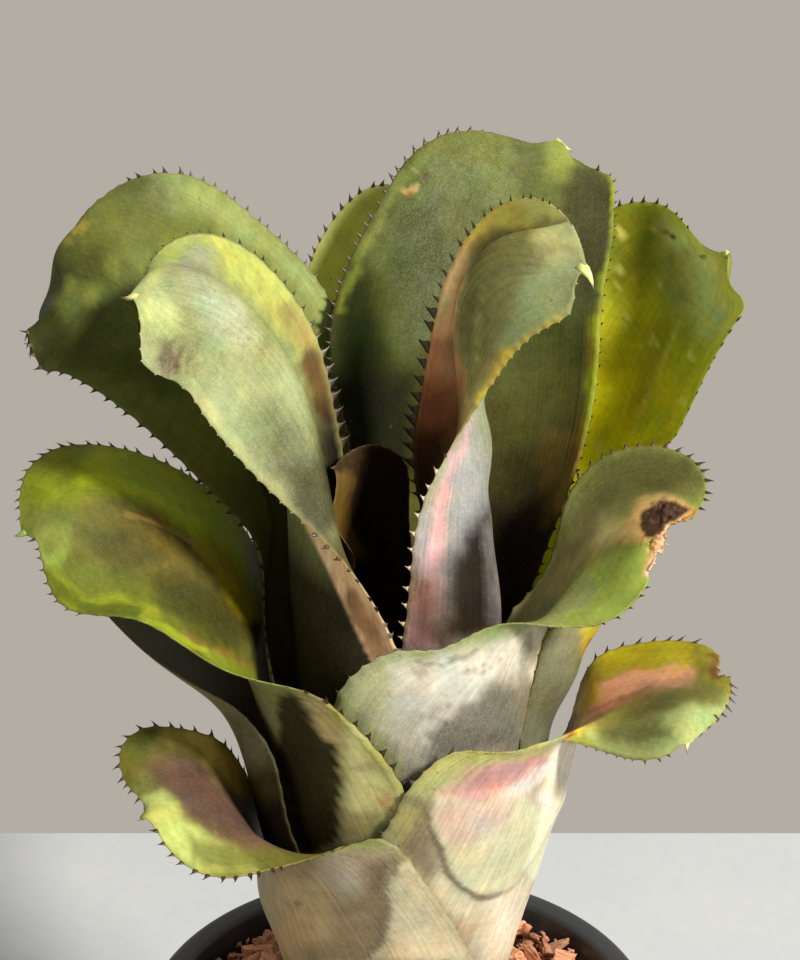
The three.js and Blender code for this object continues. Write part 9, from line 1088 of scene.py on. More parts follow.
    "leaf_front_right_upper": {
        "gain": (1.0, 0.97, 0.88),
        "rough": 0.46, "gloss": 0.35, "rim": 0.5, "edge": (112, 112, 52), "translucent": 0.12,
        "in": [(0.0, (60, 46, 26), (60, 46, 26), 0.0), (0.42, (104, 94, 58), (120, 120, 80), 0.15, 0.4), (0.55, (104, 98, 56), (112, 116, 66), 0.14, 0.4), (0.75, (96, 98, 46), (120, 132, 60), 0.12), (1.0, (116, 130, 60), (128, 142, 64), 0.1)],
        "out": [(0.0, (160, 144, 126), (166, 150, 128), 0.4, 0.8), (0.2, (150, 140, 128), (150, 142, 118), 0.5, 0.9), (0.34, (146, 140, 130), (146, 146, 104), 0.55, 0.9), (0.42, (160, 156, 146), (142, 148, 92), 0.5, 0.8), (0.6, (128, 138, 88), (128, 142, 74), 0.4, 0.5), (1.0, (120, 136, 72), (124, 140, 66), 0.3, 0.4)],
        "ops": [
            {"side": "out", "poly": [(390, 668), (470, 648), (560, 626), (540, 682), (470, 694), (400, 720)], "feather": 12, "col": (204, 198, 190), "a": 0.9, "scurf": 0.5},
            {"side": "out", "poly": [(398, 690), (440, 690), (440, 745), (405, 770), (380, 720)], "feather": 14, "col": (156, 150, 140), "a": 0.7, "scurf": 0.6},
            {"side": "out", "poly": [(425, 716), (460, 698), (512, 676), (530, 686), (522, 745), (430, 768)], "feather": 14, "col": (72, 67, 58), "a": 0.9, "scurf": 0.3},
            # painted shadow: a dark band along the sheath's right edge, next to the back right leaf
            {"side": "out", "line": [(528, 640), (524, 690), (512, 748)], "half": 3, "feather": 7, "col": (104, 98, 84), "a": 0.7},
            {"side": "out", "line": [(402, 656), (420, 663), (450, 660), (480, 648)], "half": 0.5, "feather": 2.0, "col": (120, 108, 96), "a": 0.7},
            {"side": "out", "line": [(410, 672), (440, 668), (470, 655)], "half": 0.4, "feather": 1.6, "col": (140, 128, 116), "a": 0.6},
            *[{"side": "out", "line": [(520 - k * 18, 640 + k * 7), (495 - k * 17, 668 + k * 10), (470 - k * 12, 700 + k * 10)], "half": 1.2, "feather": 5, "col": (214, 210, 204), "a": 0.45} for k in range(5)],
            {"side": "out", "line": [(345, 682), (338, 700), (352, 722), (372, 745), (392, 768)], "half": 7, "feather": 10, "col": (140, 146, 92), "a": 0.8, "scurf": 0.35},
            {"side": "out", "line": [(400, 650), (372, 660), (350, 676)], "half": 4, "feather": 9, "col": (150, 150, 104), "a": 0.7},
            *[{"side": "out", "line": [(x0, y0), (x1, y1)], "half": 0.5, "feather": 1.6, "col": (88, 80, 66), "a": 0.5} for x0, y0, x1, y1 in
              ((470, 655, 440, 668), (500, 660, 478, 676), (405, 690, 392, 700), (520, 690, 508, 706), (486, 664, 462, 672), (430, 668, 412, 676))],
            # far half grey-green, darkened further as painted shade; near half brighter green with a pale wedge at its
            # base, both brightened as painted light
            {"side": "in", "poly": [(560, 530), (575, 480), (600, 456), (650, 444), (700, 460), (706, 490), (640, 500), (600, 530), (570, 570)], "feather": 16, "col": (90, 88, 40), "a": 0.85, "scurf": 0.14},
            {"side": "in", "poly": [(520, 612), (560, 560), (600, 520), (620, 530), (585, 560), (560, 600)], "feather": 20, "col": (196, 180, 122), "a": 0.85, "scurf": 0.25},
            {"side": "in", "poly": [(566, 600), (596, 560), (640, 545), (664, 550), (645, 590), (620, 618), (570, 624), (520, 622)], "feather": 12, "col": (152, 170, 76), "a": 0.9, "scurf": 0.12},
            {"side": "in", "line": [(520, 618), (556, 612), (590, 590)], "half": 5, "feather": 10, "col": (130, 132, 92), "a": 0.6, "scurf": 0.35},
            {"side": "in", "poly": [(596, 462), (650, 444), (700, 460), (700, 490), (640, 496), (600, 502)], "feather": 14, "col": (72, 70, 26), "a": 0.85, "scurf": 0.1},
            # scorched, torn patch
            {"side": "in", "poly": [(612, 545), (630, 520), (640, 503), (662, 495), (684, 498), (692, 508), (684, 526), (668, 532), (664, 560), (646, 578), (643, 560), (648, 540), (632, 540)], "feather": 7, "col": (206, 166, 112), "a": 0.9, "scurf": 0.05},
            {"side": "in", "poly": [(640, 519), (646, 508), (660, 501), (680, 502), (687, 509), (680, 518), (668, 522), (660, 530), (650, 538), (643, 531)], "feather": 2.5, "col": (50, 34, 32), "a": 0.97, "scurf": 0.0},
            {"side": "in", "line": [(668, 527), (660, 536), (660, 548), (652, 560), (648, 574)], "half": 2.2, "feather": 2.5, "col": (214, 184, 160), "a": 0.9},
            {"side": "in", "line": [(660, 528), (655, 538), (652, 548), (654, 556), (647, 570)], "half": 0.5, "feather": 1.4, "col": (96, 48, 36), "a": 0.9},
            {"side": "in", "line": [(674, 524), (664, 534), (664, 542)], "half": 0.3, "feather": 1.2, "col": (110, 60, 44), "a": 0.8},
            {"side": "in", "line": [(684, 505), (690, 512), (686, 520), (676, 523)], "half": 0.8, "feather": 1.6, "col": (150, 92, 72), "a": 0.85},
            *[{"side": "in", "line": [(x, y), (x + 5, y + 3)], "half": 0.3, "feather": 1.3, "col": (112, 82, 72), "a": 0.8} for x, y in ((648, 510), (656, 505), (666, 507), (674, 509), (652, 517), (660, 514), (670, 513))],
            {"side": "out", "poly": [(632, 520), (642, 503), (662, 496), (684, 498), (692, 508), (684, 522), (664, 560), (646, 578), (636, 536)], "feather": 8, "col": (120, 86, 56), "a": 0.85},
        ],
        "pucker": [(664, 514, 22, 0.9, 2.4), (655, 545, 16, 0.8, 2.0)],
        "hole": [[(690, 520), (676, 523), (667, 529), (664, 540), (665, 548), (656, 556), (650, 567), (647, 578), (664, 582), (690, 566), (712, 540), (712, 518)]],
        "zones": [([(505, 440), (580, 450), (560, 560), (530, 622), (505, 622)], 0.3), ([(560, 430), (690, 430), (690, 462), (560, 475)], 0.85), ([(640, 515), (720, 515), (720, 585), (640, 585)], 0.0),
                  ([(520, 600), (600, 608), (600, 640), (520, 640)], 0.3), ([(600, 560), (690, 560), (690, 640), (600, 640)], 0.7), ([(340, 600), (520, 600), (520, 672), (340, 690)], 0.3), ([(320, 672), (360, 680), (420, 760), (400, 800), (330, 740)], 0.5)],
        "cols": 57,
        "mucro": {"len": 0.5, "w": 0.4},
    },
    "leaf_front_right_lower": {
        "gain": (1.04, 1.03, 1.12),
        "rough": 0.46, "gloss": 0.3, "rim": 0.5, "edge": (122, 112, 56), "translucent": 0.16,
        "in": [(0.0, (60, 46, 26), (60, 46, 26), 0.0), (0.42, (170, 120, 92), (150, 140, 80), 0.05, 0.5), (0.52, (190, 138, 100), (160, 158, 72), 0.06, 0.5), (0.7, (138, 124, 62), (150, 150, 56), 0.06, 0.4), (0.88, (112, 108, 46), (140, 138, 52), 0.06), (1.0, (126, 122, 50), (150, 146, 62), 0.06)],
        "cols": 81,
        "warp": [{"at": (560, 797), "r": 17, "d": (5, 0), "u": (0.1, 0.5)}, {"at": (574, 760), "r": 16, "d": (2, 0), "u": (0.1, 0.5)}],
        "hole": [[(716, 640), (745, 645), (745, 677), (731, 679), (722, 677), (717, 675), (718, 664), (722, 655)]],
        "zones": [([(705, 640), (750, 640), (750, 682), (705, 682)], 0.0), ([(560, 735), (640, 735), (640, 775), (560, 775)], 0.3), ([(640, 735), (740, 735), (740, 780), (640, 780)], 0.7), ([(470, 730), (576, 730), (576, 765), (470, 765)], 0.25), ([(556, 650), (594, 650), (586, 748), (550, 748)], 0.35), ([(380, 785), (420, 785), (420, 870), (370, 870)], 0.6), ([(380, 850), (500, 850), (500, 960), (380, 960)], 0.3)],
        "out": [(0.0, (196, 178, 148), (200, 182, 150), 0.3, 0.6), (0.2, (190, 178, 146), (196, 184, 146), 0.35, 0.6), (0.34, (180, 172, 134), (176, 168, 112), 0.35, 0.6), (0.42, (170, 150, 130), (150, 150, 84), 0.3, 0.7), (0.6, (140, 146, 84), (146, 152, 76), 0.3, 0.5), (1.0, (136, 144, 72), (144, 150, 68), 0.25, 0.4)],
        "ops": [
            # blade: a pink band along the far wall; yellow painted glow where light shines through the far wall; the
            # trough bottom darkened as painted shade, and the near half painted brighter as painted light
            {"side": "in", "line": [(585, 712), (600, 695), (640, 680), (686, 675)], "half": 7, "feather": 9, "col": (240, 172, 134), "a": 0.95, "scurf": 0.08},
            {"side": "in", "line": [(575, 720), (610, 706), (650, 690)], "half": 1.2, "feather": 4, "col": (204, 120, 96), "a": 0.6},
            {"side": "in", "poly": [(578, 735), (572, 715), (580, 690), (594, 672), (600, 690), (590, 712)], "feather": 6, "col": (232, 196, 40), "a": 0.9},
            {"side": "in", "line": [(560, 742), (570, 728), (578, 715)], "half": 1.2, "feather": 3, "col": (170, 70, 24), "a": 0.8},
            {"side": "in", "poly": [(590, 662), (610, 645), (680, 636), (722, 655), (700, 668), (640, 668), (600, 680)], "feather": 8, "col": (182, 168, 36), "a": 0.9},
            {"side": "in", "poly": [(640, 690), (700, 672), (728, 668), (730, 700), (700, 730), (640, 720), (600, 722)], "feather": 12, "col": (96, 92, 40), "a": 0.85},
            {"side": "in", "poly": [(590, 735), (640, 722), (690, 706), (730, 700), (700, 745), (660, 768), (600, 760)], "feather": 10, "col": (166, 180, 112), "a": 0.85, "scurf": 0.12},
            {"side": "in", "poly": [(600, 726), (660, 716), (672, 736), (640, 748), (604, 742)], "feather": 9, "col": (92, 92, 44), "a": 0.8},
            {"side": "in", "poly": [(688, 640), (722, 652), (728, 690), (700, 680)], "feather": 9, "col": (118, 112, 30), "a": 0.85},
            {"side": "in", "dot": (716, 672, 4), "feather": 5, "squeeze": 0.7, "col": (92, 48, 24), "a": 0.85},
            {"side": "in", "line": [(712, 655), (728, 668), (733, 684)], "half": 1.6, "feather": 4, "col": (110, 62, 30), "a": 0.7},
            # sheath: pink and white streaks towards the turn
            {"side": "out", "poly": [(436, 796), (470, 768), (520, 752), (578, 745), (560, 760), (520, 782), (482, 812), (452, 830), (436, 822)], "feather": 10, "col": (172, 130, 118), "a": 0.85, "scurf": 0.2, "streak": 1.0},
            {"side": "out", "line": [(578, 746), (540, 758), (500, 775), (468, 796)], "half": 4, "feather": 10, "col": (166, 116, 112), "a": 0.65, "streak": 1.0},
            {"side": "out", "line": [(580, 750), (540, 775), (500, 802), (470, 826)], "half": 4, "feather": 8, "col": (206, 194, 178), "a": 0.75, "scurf": 0.55, "streak": 1.0},
            # painted light: pale cream on the right of the sheath where the blade shades it
            {"side": "out", "poly": [(552, 746), (580, 740), (572, 800), (556, 850), (545, 800)], "feather": 8, "col": (236, 226, 196), "a": 0.8, "scurf": 0.3},
            {"side": "out", "line": [(390, 812), (402, 796), (425, 772), (455, 757), (500, 756), (545, 745)], "half": 4, "feather": 8, "col": (156, 156, 84), "a": 0.7},
            # the raised tongue: pink top, yellow-green foot
            {"side": "out", "poly": [(436, 800), (428, 812), (432, 835), (442, 855), (449, 872), (457, 884), (471, 892), (487, 896), (500, 892), (512, 884), (522, 870), (535, 850), (552, 812), (520, 800), (480, 800)], "feather": 5, "col": (186, 184, 142), "a": 0.85, "scurf": 0.35},
            {"side": "out", "poly": [(438, 806), (470, 800), (520, 798), (500, 832), (455, 846), (440, 836)], "feather": 12, "col": (184, 156, 140), "a": 0.8, "scurf": 0.35},
            # a dark line along the tongue's left and lower edge: the edge's own line with a painted contact shadow
            # under it
            {"side": "out", "line": [(428, 812), (430, 833), (440, 856), (447, 873), (456, 886), (471, 894), (487, 898), (501, 894)], "half": 1.0, "feather": 3.2, "col": (96, 70, 40), "a": 0.75},
            # painted shade: the sheath left of the tongue darkened where it turns away from the light
            {"side": "out", "poly": [(404, 790), (432, 800), (428, 830), (440, 870), (425, 880), (405, 850), (388, 830)], "feather": 8, "col": (104, 88, 62), "a": 0.85, "scurf": 0.2},
            {"side": "out", "poly": [(388, 815), (410, 800), (420, 820), (400, 845)], "feather": 7, "col": (146, 144, 78), "a": 0.7},
            # painted shadow cast by the front left leaf's sheath edge
            {"side": "out", "poly": [(440, 912), (466, 920), (478, 960), (452, 960)], "feather": 12, "col": (158, 128, 94), "a": 0.7, "scurf": 0.2},
            {"side": "out", "poly": [(486, 905), (530, 880), (540, 920), (520, 960), (488, 960)], "feather": 12, "col": (226, 208, 176), "a": 0.85, "scurf": 0.2},
            # painted highlight along the sheath's right edge
            {"side": "out", "line": [(552, 800), (545, 840), (535, 870)], "half": 5, "feather": 9, "col": (224, 218, 180), "a": 0.8},
            {"side": "out", "poly": [(440, 880), (456, 900), (480, 904), (470, 918), (440, 905)], "feather": 8, "col": (206, 192, 150), "a": 0.7},
        ],
        "emboss": [{"poly": [(436, 796), (428, 812), (432, 835), (442, 855), (449, 872), (457, 884), (471, 892), (487, 896), (500, 892), (512, 884), (522, 870), (535, 850), (560, 800), (500, 790)], "feather": 4.5, "height": 1.0}],
        "mucro": {"len": 2.8, "w": 0.8, "dir": (0.1, -0.2, -1.0), "col": (180, 184, 110)},
    },
    "leaf_left": {
        "gain": (0.84, 0.84, 0.56), "specular": 0.06,
        "rough": 0.38, "gloss": 0.5, "rim": 0.5, "edge": (104, 100, 40), "translucent": 0.14,
        "in": [(0.0, (40, 30, 16), (40, 30, 16), 0.0), (0.3, (78, 70, 34), (90, 84, 44), 0.05), (0.42, (100, 92, 44), (112, 108, 52), 0.06), (0.55, (96, 86, 42), (98, 102, 40), 0.05), (0.75, (104, 92, 48), (108, 120, 34), 0.06), (0.9, (108, 108, 54), (112, 124, 40), 0.08), (1.0, (104, 116, 40), (116, 128, 46), 0.06)],
        "out": [(0.0, (96, 80, 52), (100, 84, 54), 0.25, 0.6), (0.2, (88, 76, 44), (110, 98, 58), 0.3, 0.6), (0.36, (112, 98, 60), (140, 132, 74), 0.3, 0.5), (0.5, (104, 104, 52), (116, 120, 52), 0.3, 0.4), (1.0, (100, 112, 46), (108, 120, 46), 0.25, 0.3)],
        "ops": [
            {"side": "in", "poly": [(30, 470), (60, 445), (110, 440), (180, 470), (225, 505), (200, 510), (140, 490), (90, 495), (40, 510)], "feather": 14, "col": (126, 138, 18), "a": 0.88},
            {"side": "in", "poly": [(90, 500), (150, 500), (215, 540), (250, 600), (235, 620), (170, 570), (110, 550)], "feather": 16, "col": (96, 84, 42), "a": 0.7},
            
            {"side": "in", "poly": [(60, 560), (110, 560), (180, 590), (240, 640), (290, 680), (240, 680), (150, 640), (70, 605)], "feather": 14, "col": (96, 104, 40), "a": 0.75},
            # painted highlight: the two bright yellow-green lines along the lower margin fold
            {"side": "in", "line": [(50, 580), (75, 602), (115, 604), (150, 616)], "half": 5, "feather": 10, "col": (138, 148, 56), "a": 0.85, "scurf": 0.05},
            {"side": "in", "line": [(38, 560), (58, 590), (95, 610), (135, 614)], "half": 4, "feather": 7, "col": (82, 94, 6), "a": 0.85},
            {"side": "in", "line": [(148, 620), (190, 645), (240, 672), (292, 688)], "half": 2.2, "feather": 4, "col": (150, 164, 52), "a": 0.9},
            {"side": "in", "line": [(185, 632), (220, 652), (262, 670), (280, 678)], "half": 1.0, "feather": 4, "col": (140, 104, 70), "a": 0.7},
            # painted highlight near the tip
            {"side": "in", "dot": (52, 542, 11), "feather": 14, "squeeze": 0.8, "col": (160, 184, 104), "a": 0.8},
            {"side": "in", "line": [(210, 655), (250, 672), (290, 683)], "half": 3, "feather": 7, "col": (128, 138, 54), "a": 0.8},
            {"side": "in", "poly": [(25, 515), (60, 505), (110, 530), (90, 560), (45, 560), (30, 540)], "feather": 14, "col": (108, 112, 62), "a": 0.65, "scurf": 0.12},
            {"side": "in", "poly": [(78, 525), (130, 525), (160, 560), (130, 575), (90, 560)], "feather": 14, "col": (70, 68, 34), "a": 0.8},
            {"side": "in", "poly": [(170, 590), (215, 590), (250, 640), (210, 640)], "feather": 14, "col": (66, 64, 26), "a": 0.7},
            {"side": "in", "poly": [(255, 560), (285, 590), (300, 650), (303, 700), (285, 690), (262, 640)], "feather": 7, "col": (128, 122, 70), "a": 0.75, "scurf": 0.15},
            # painted shade along the inner crease
            {"side": "in", "line": [(253, 590), (260, 640), (278, 678)], "half": 2, "feather": 5, "col": (40, 36, 16), "a": 0.8},
            # painted light: saturated green brightened where the leaves above shade the upper half
            {"side": "in", "poly": [(96, 440), (180, 462), (240, 515), (258, 590), (222, 560), (160, 508), (80, 480)], "feather": 12, "col": (188, 206, 6), "a": 0.9},
            {"side": "in", "line": [(205, 545), (232, 575), (250, 610)], "half": 7, "feather": 12, "col": (170, 156, 44), "a": 0.85},
            {"side": "in", "poly": [(150, 575), (200, 575), (246, 630), (236, 650), (200, 630), (160, 606)], "feather": 14, "col": (56, 56, 20), "a": 0.85},
            {"side": "in", "line": [(126, 514), (150, 520), (176, 532), (200, 548), (222, 566), (240, 588)], "half": 0.7, "feather": 2.6, "col": (170, 140, 92), "a": 0.7, "wobble": False},
            # sheath below the rim: its left part near black as the painted shadow of the blade, a lighter painted gap
            # near the rim, and the pale cream right part painted bright as lit
            {"side": "out", "poly": [(280, 690), (330, 705), (338, 745), (343, 790), (338, 845), (300, 850), (275, 760)], "feather": 4, "col": (38, 30, 13), "a": 0.97, "scurf": 0.02},
            {"side": "out", "poly": [(296, 692), (332, 706), (341, 740), (332, 742), (315, 722)], "feather": 5, "col": (206, 182, 144), "a": 0.85, "scurf": 0.3},
            {"side": "out", "poly": [(338, 715), (365, 732), (400, 780), (405, 800), (380, 835), (342, 845), (345, 790), (340, 745)], "feather": 6, "col": (214, 204, 160), "a": 0.9, "scurf": 0.4},
            {"side": "out", "line": [(338, 712), (365, 736), (388, 762), (402, 782)], "half": 5, "feather": 8, "col": (172, 170, 86), "a": 0.8},
            {"side": "out", "dot": (386, 802, 5), "feather": 7, "col": (176, 124, 92), "a": 0.7},
            {"side": "out", "poly": [(345, 808), (385, 815), (380, 840), (342, 845)], "feather": 8, "col": (128, 116, 80), "a": 0.7, "scurf": 0.3},
            {"side": "out", "line": [(352, 770), (372, 764), (392, 772)], "half": 1.6, "feather": 5, "col": (150, 132, 84), "a": 0.6},
        ],
        "emboss": [{"poly": [(335, 705), (342, 745), (346, 790), (340, 850), (410, 850), (420, 760), (370, 705)], "feather": 6, "height": 0.8}],
        "cols": 67,
        "zones": [([(90, 600), (300, 600), (300, 700), (90, 660)], 0.35), ([(10, 540), (90, 540), (90, 625), (10, 600)], 0.65), ([(10, 440), (34, 470), (34, 532), (0, 532)], 0.8), ([(40, 430), (220, 430), (240, 520), (60, 460)], 1.3), ([(280, 690), (420, 690), (420, 850), (280, 850)], 1.1)],
        "mucro": {"len": 2.6, "w": 1.3, "dir": (-1.0, -0.1, -0.25), "col": (112, 132, 56), "tipcol": (110, 108, 48)},
    },
    "leaf_left_lower": {
        "rough": 0.45, "gloss": 0.25, "translucent": 0.2, "edge": (96, 84, 40),
        "in": [(0.0, (50, 38, 20), (50, 38, 20), 0.0), (0.5, (104, 92, 50), (110, 98, 54), 0.08), (0.8, (112, 108, 56), (120, 116, 58), 0.08), (1.0, (112, 116, 54), (120, 124, 56), 0.08)],
        "gain": (0.76, 0.74, 0.42),
        "out": [(0.0, (146, 126, 98), (150, 130, 100), 0.3, 0.6), (0.3, (122, 104, 70), (128, 110, 74), 0.35, 0.6), (0.5, (112, 98, 58), (120, 106, 62), 0.3, 0.5), (0.8, (104, 96, 50), (112, 104, 54), 0.25, 0.4), (1.0, (104, 108, 48), (112, 114, 50), 0.25, 0.3)],
        "ops": [
            # painted shadow: near black below, where the left leaf shades this one
            {"poly": [(240, 774), (262, 768), (300, 768), (320, 880), (250, 880)], "feather": 14, "col": (14, 9, 3), "a": 0.98, "scurf": 0.0},
            {"poly": [(225, 700), (250, 715), (285, 760), (290, 800), (262, 800), (240, 750)], "feather": 10, "col": (80, 72, 42), "a": 0.7},
            {"line": [(268, 745), (279, 775), (284, 800)], "half": 2, "feather": 5, "col": (30, 24, 10), "a": 0.8},
        ],
        "zones": [([(150, 600), (330, 600), (330, 900), (150, 900)], 0.25)],
        "mucro": {"len": 3.0, "w": 0.9},
    },
    "leaf_front_left": {
        "gain": (0.84, 0.82, 0.66),
        "rough": 0.45, "gloss": 0.3, "rim": 0.45, "edge": (112, 100, 44), "translucent": 0.14,
        "in": [(0.0, (60, 46, 26), (60, 46, 26), 0.0), (0.42, (110, 80, 64), (110, 96, 50), 0.05, 0.4), (0.6, (122, 92, 78), (110, 104, 46), 0.08, 0.4), (0.8, (116, 96, 66), (112, 114, 44), 0.08), (1.0, (132, 138, 66), (140, 148, 66), 0.08)],
        "out": [(0.0, (172, 146, 118), (182, 158, 128), 0.3, 0.7), (0.2, (166, 144, 112), (180, 166, 134), 0.35, 0.7), (0.36, (158, 144, 122), (176, 168, 130), 0.4, 0.6), (0.5, (138, 132, 84), (140, 142, 74), 0.3, 0.5), (1.0, (128, 136, 66), (132, 140, 62), 0.25, 0.4)],
        "ops": [
            {"side": "in", "poly": [(115, 735), (165, 722), (150, 745), (135, 775), (140, 815), (110, 800)], "feather": 9, "col": (92, 94, 32), "a": 0.88},
            # painted light: pale yellow brightening the upper right of the blade where other leaves shade it
            {"side": "in", "poly": [(165, 725), (205, 730), (240, 762), (258, 800), (235, 800), (195, 755), (160, 740)], "feather": 10, "col": (208, 184, 104), "a": 0.9},
            {"side": "in", "poly": [(150, 765), (200, 760), (240, 800), (270, 838), (230, 838), (180, 805)], "feather": 12, "col": (100, 72, 66), "a": 0.95},
            # painted light: the lower near half, facing the front, painted bright yellow-green
            {"side": "in", "poly": [(140, 795), (165, 790), (185, 815), (215, 840), (250, 855), (260, 872), (200, 872), (165, 852), (145, 820)], "feather": 9, "col": (206, 214, 134), "a": 0.85, "scurf": 0.12},
            {"side": "in", "poly": [(190, 835), (240, 848), (300, 850), (300, 866), (230, 872), (190, 862)], "feather": 8, "col": (104, 104, 42), "a": 0.8},
            # sheath: its left part darkened as the painted shadow of its own blade, with a darker band and line along
            # that shadow's edge; its right part pale cream, painted bright as lit
            {"side": "out", "poly": [(262, 868), (330, 852), (392, 852), (396, 868), (386, 900), (380, 940), (366, 960), (280, 960)], "feather": 7, "col": (140, 120, 92), "a": 0.85, "scurf": 0.22, "streak": 0.8},
            {"side": "out", "poly": [(320, 858), (385, 850), (388, 880), (350, 900), (315, 885)], "feather": 14, "col": (158, 144, 132), "a": 0.8, "scurf": 0.4},
            {"side": "out", "poly": [(362, 862), (394, 862), (388, 900), (380, 940), (368, 930), (366, 890)], "feather": 9, "col": (102, 86, 66), "a": 0.85, "scurf": 0.2},
            {"side": "out", "poly": [(300, 900), (350, 895), (380, 905), (376, 950), (330, 955), (300, 940)], "feather": 16, "col": (118, 96, 66), "a": 0.7, "patchy": 0.3},
            {"side": "out", "poly": [(264, 880), (300, 870), (330, 900), (330, 940), (278, 960)], "feather": 14, "col": (196, 168, 128), "a": 0.75},
            {"side": "out", "poly": [(392, 868), (402, 858), (425, 878), (450, 915), (476, 960), (368, 960), (382, 940), (388, 900)], "feather": 5, "col": (200, 190, 166), "a": 0.92, "scurf": 0.5},
            {"side": "out", "poly": [(400, 930), (440, 930), (470, 960), (390, 960)], "feather": 12, "col": (236, 212, 186), "a": 0.7},
            {"side": "out", "dot": (402, 864, 7), "feather": 6, "squeeze": 0.8, "col": (132, 114, 62), "a": 0.85, "patchy": 0.4, "patch": 2.5},
            {"side": "out", "line": [(418, 868), (435, 893), (455, 920), (475, 958)], "half": 1.2, "feather": 3, "col": (168, 138, 88), "a": 0.8},
            {"side": "out", "line": [(396, 862), (388, 898), (382, 938), (368, 957)], "half": 1.0, "feather": 3.5, "col": (92, 74, 48), "a": 0.6},
            {"side": "out", "dot": (298, 906, 1.5), "feather": 3, "col": (90, 70, 40), "a": 0.7},
        ],
        "emboss": [{"poly": [(398, 862), (388, 900), (383, 940), (366, 962), (500, 962), (460, 900), (425, 868)], "feather": 6, "height": 0.8}],
        "cols": 67,
        "zones": [([(402, 846), (500, 830), (500, 970), (395, 970), (396, 862)], 0.0), ([(285, 835), (400, 820), (400, 862), (285, 866)], 0.4), ([(110, 720), (240, 715), (240, 745), (110, 745)], 1.15)],
        "mucro": {"len": 1.6, "w": 0.9, "dir": (-0.8, -0.1, -0.3), "col": (150, 150, 70)},
    },
}



def soft_poly(q, poly, feather):
    poly = np.asarray(poly, float)
    inside = np.zeros(len(q), bool)
    best = np.full(len(q), 1e9)
    for a, b in zip(poly, np.roll(poly, -1, axis=0)):
        best = np.minimum(best, to_segment(q, a, b))
        cross = (a[1] > q[:, 1]) != (b[1] > q[:, 1])
        with np.errstate(divide="ignore", invalid="ignore"):
            x = (b[0] - a[0]) * (q[:, 1] - a[1]) / (b[1] - a[1] + 1e-12) + a[0]
        inside ^= cross & (q[:, 0] < x)
    d = np.where(inside, -best, best)
    return smooth(0.5 - d / (2 * feather))


def to_segment(q, a, b):
    a, b = np.asarray(a, float), np.asarray(b, float)
    ab = b - a
    t = np.clip(((q - a) @ ab) / (ab @ ab + 1e-12), 0, 1)
    return np.linalg.norm(q - (a + t[:, None] * ab), axis=1)


def soft_line(q, pts, half, feather):
    best = np.full(len(q), 1e9)
    for a, b in zip(pts[:-1], pts[1:]):
        best = np.minimum(best, to_segment(q, a, b))
    return smooth(1 - (best - half) / feather)


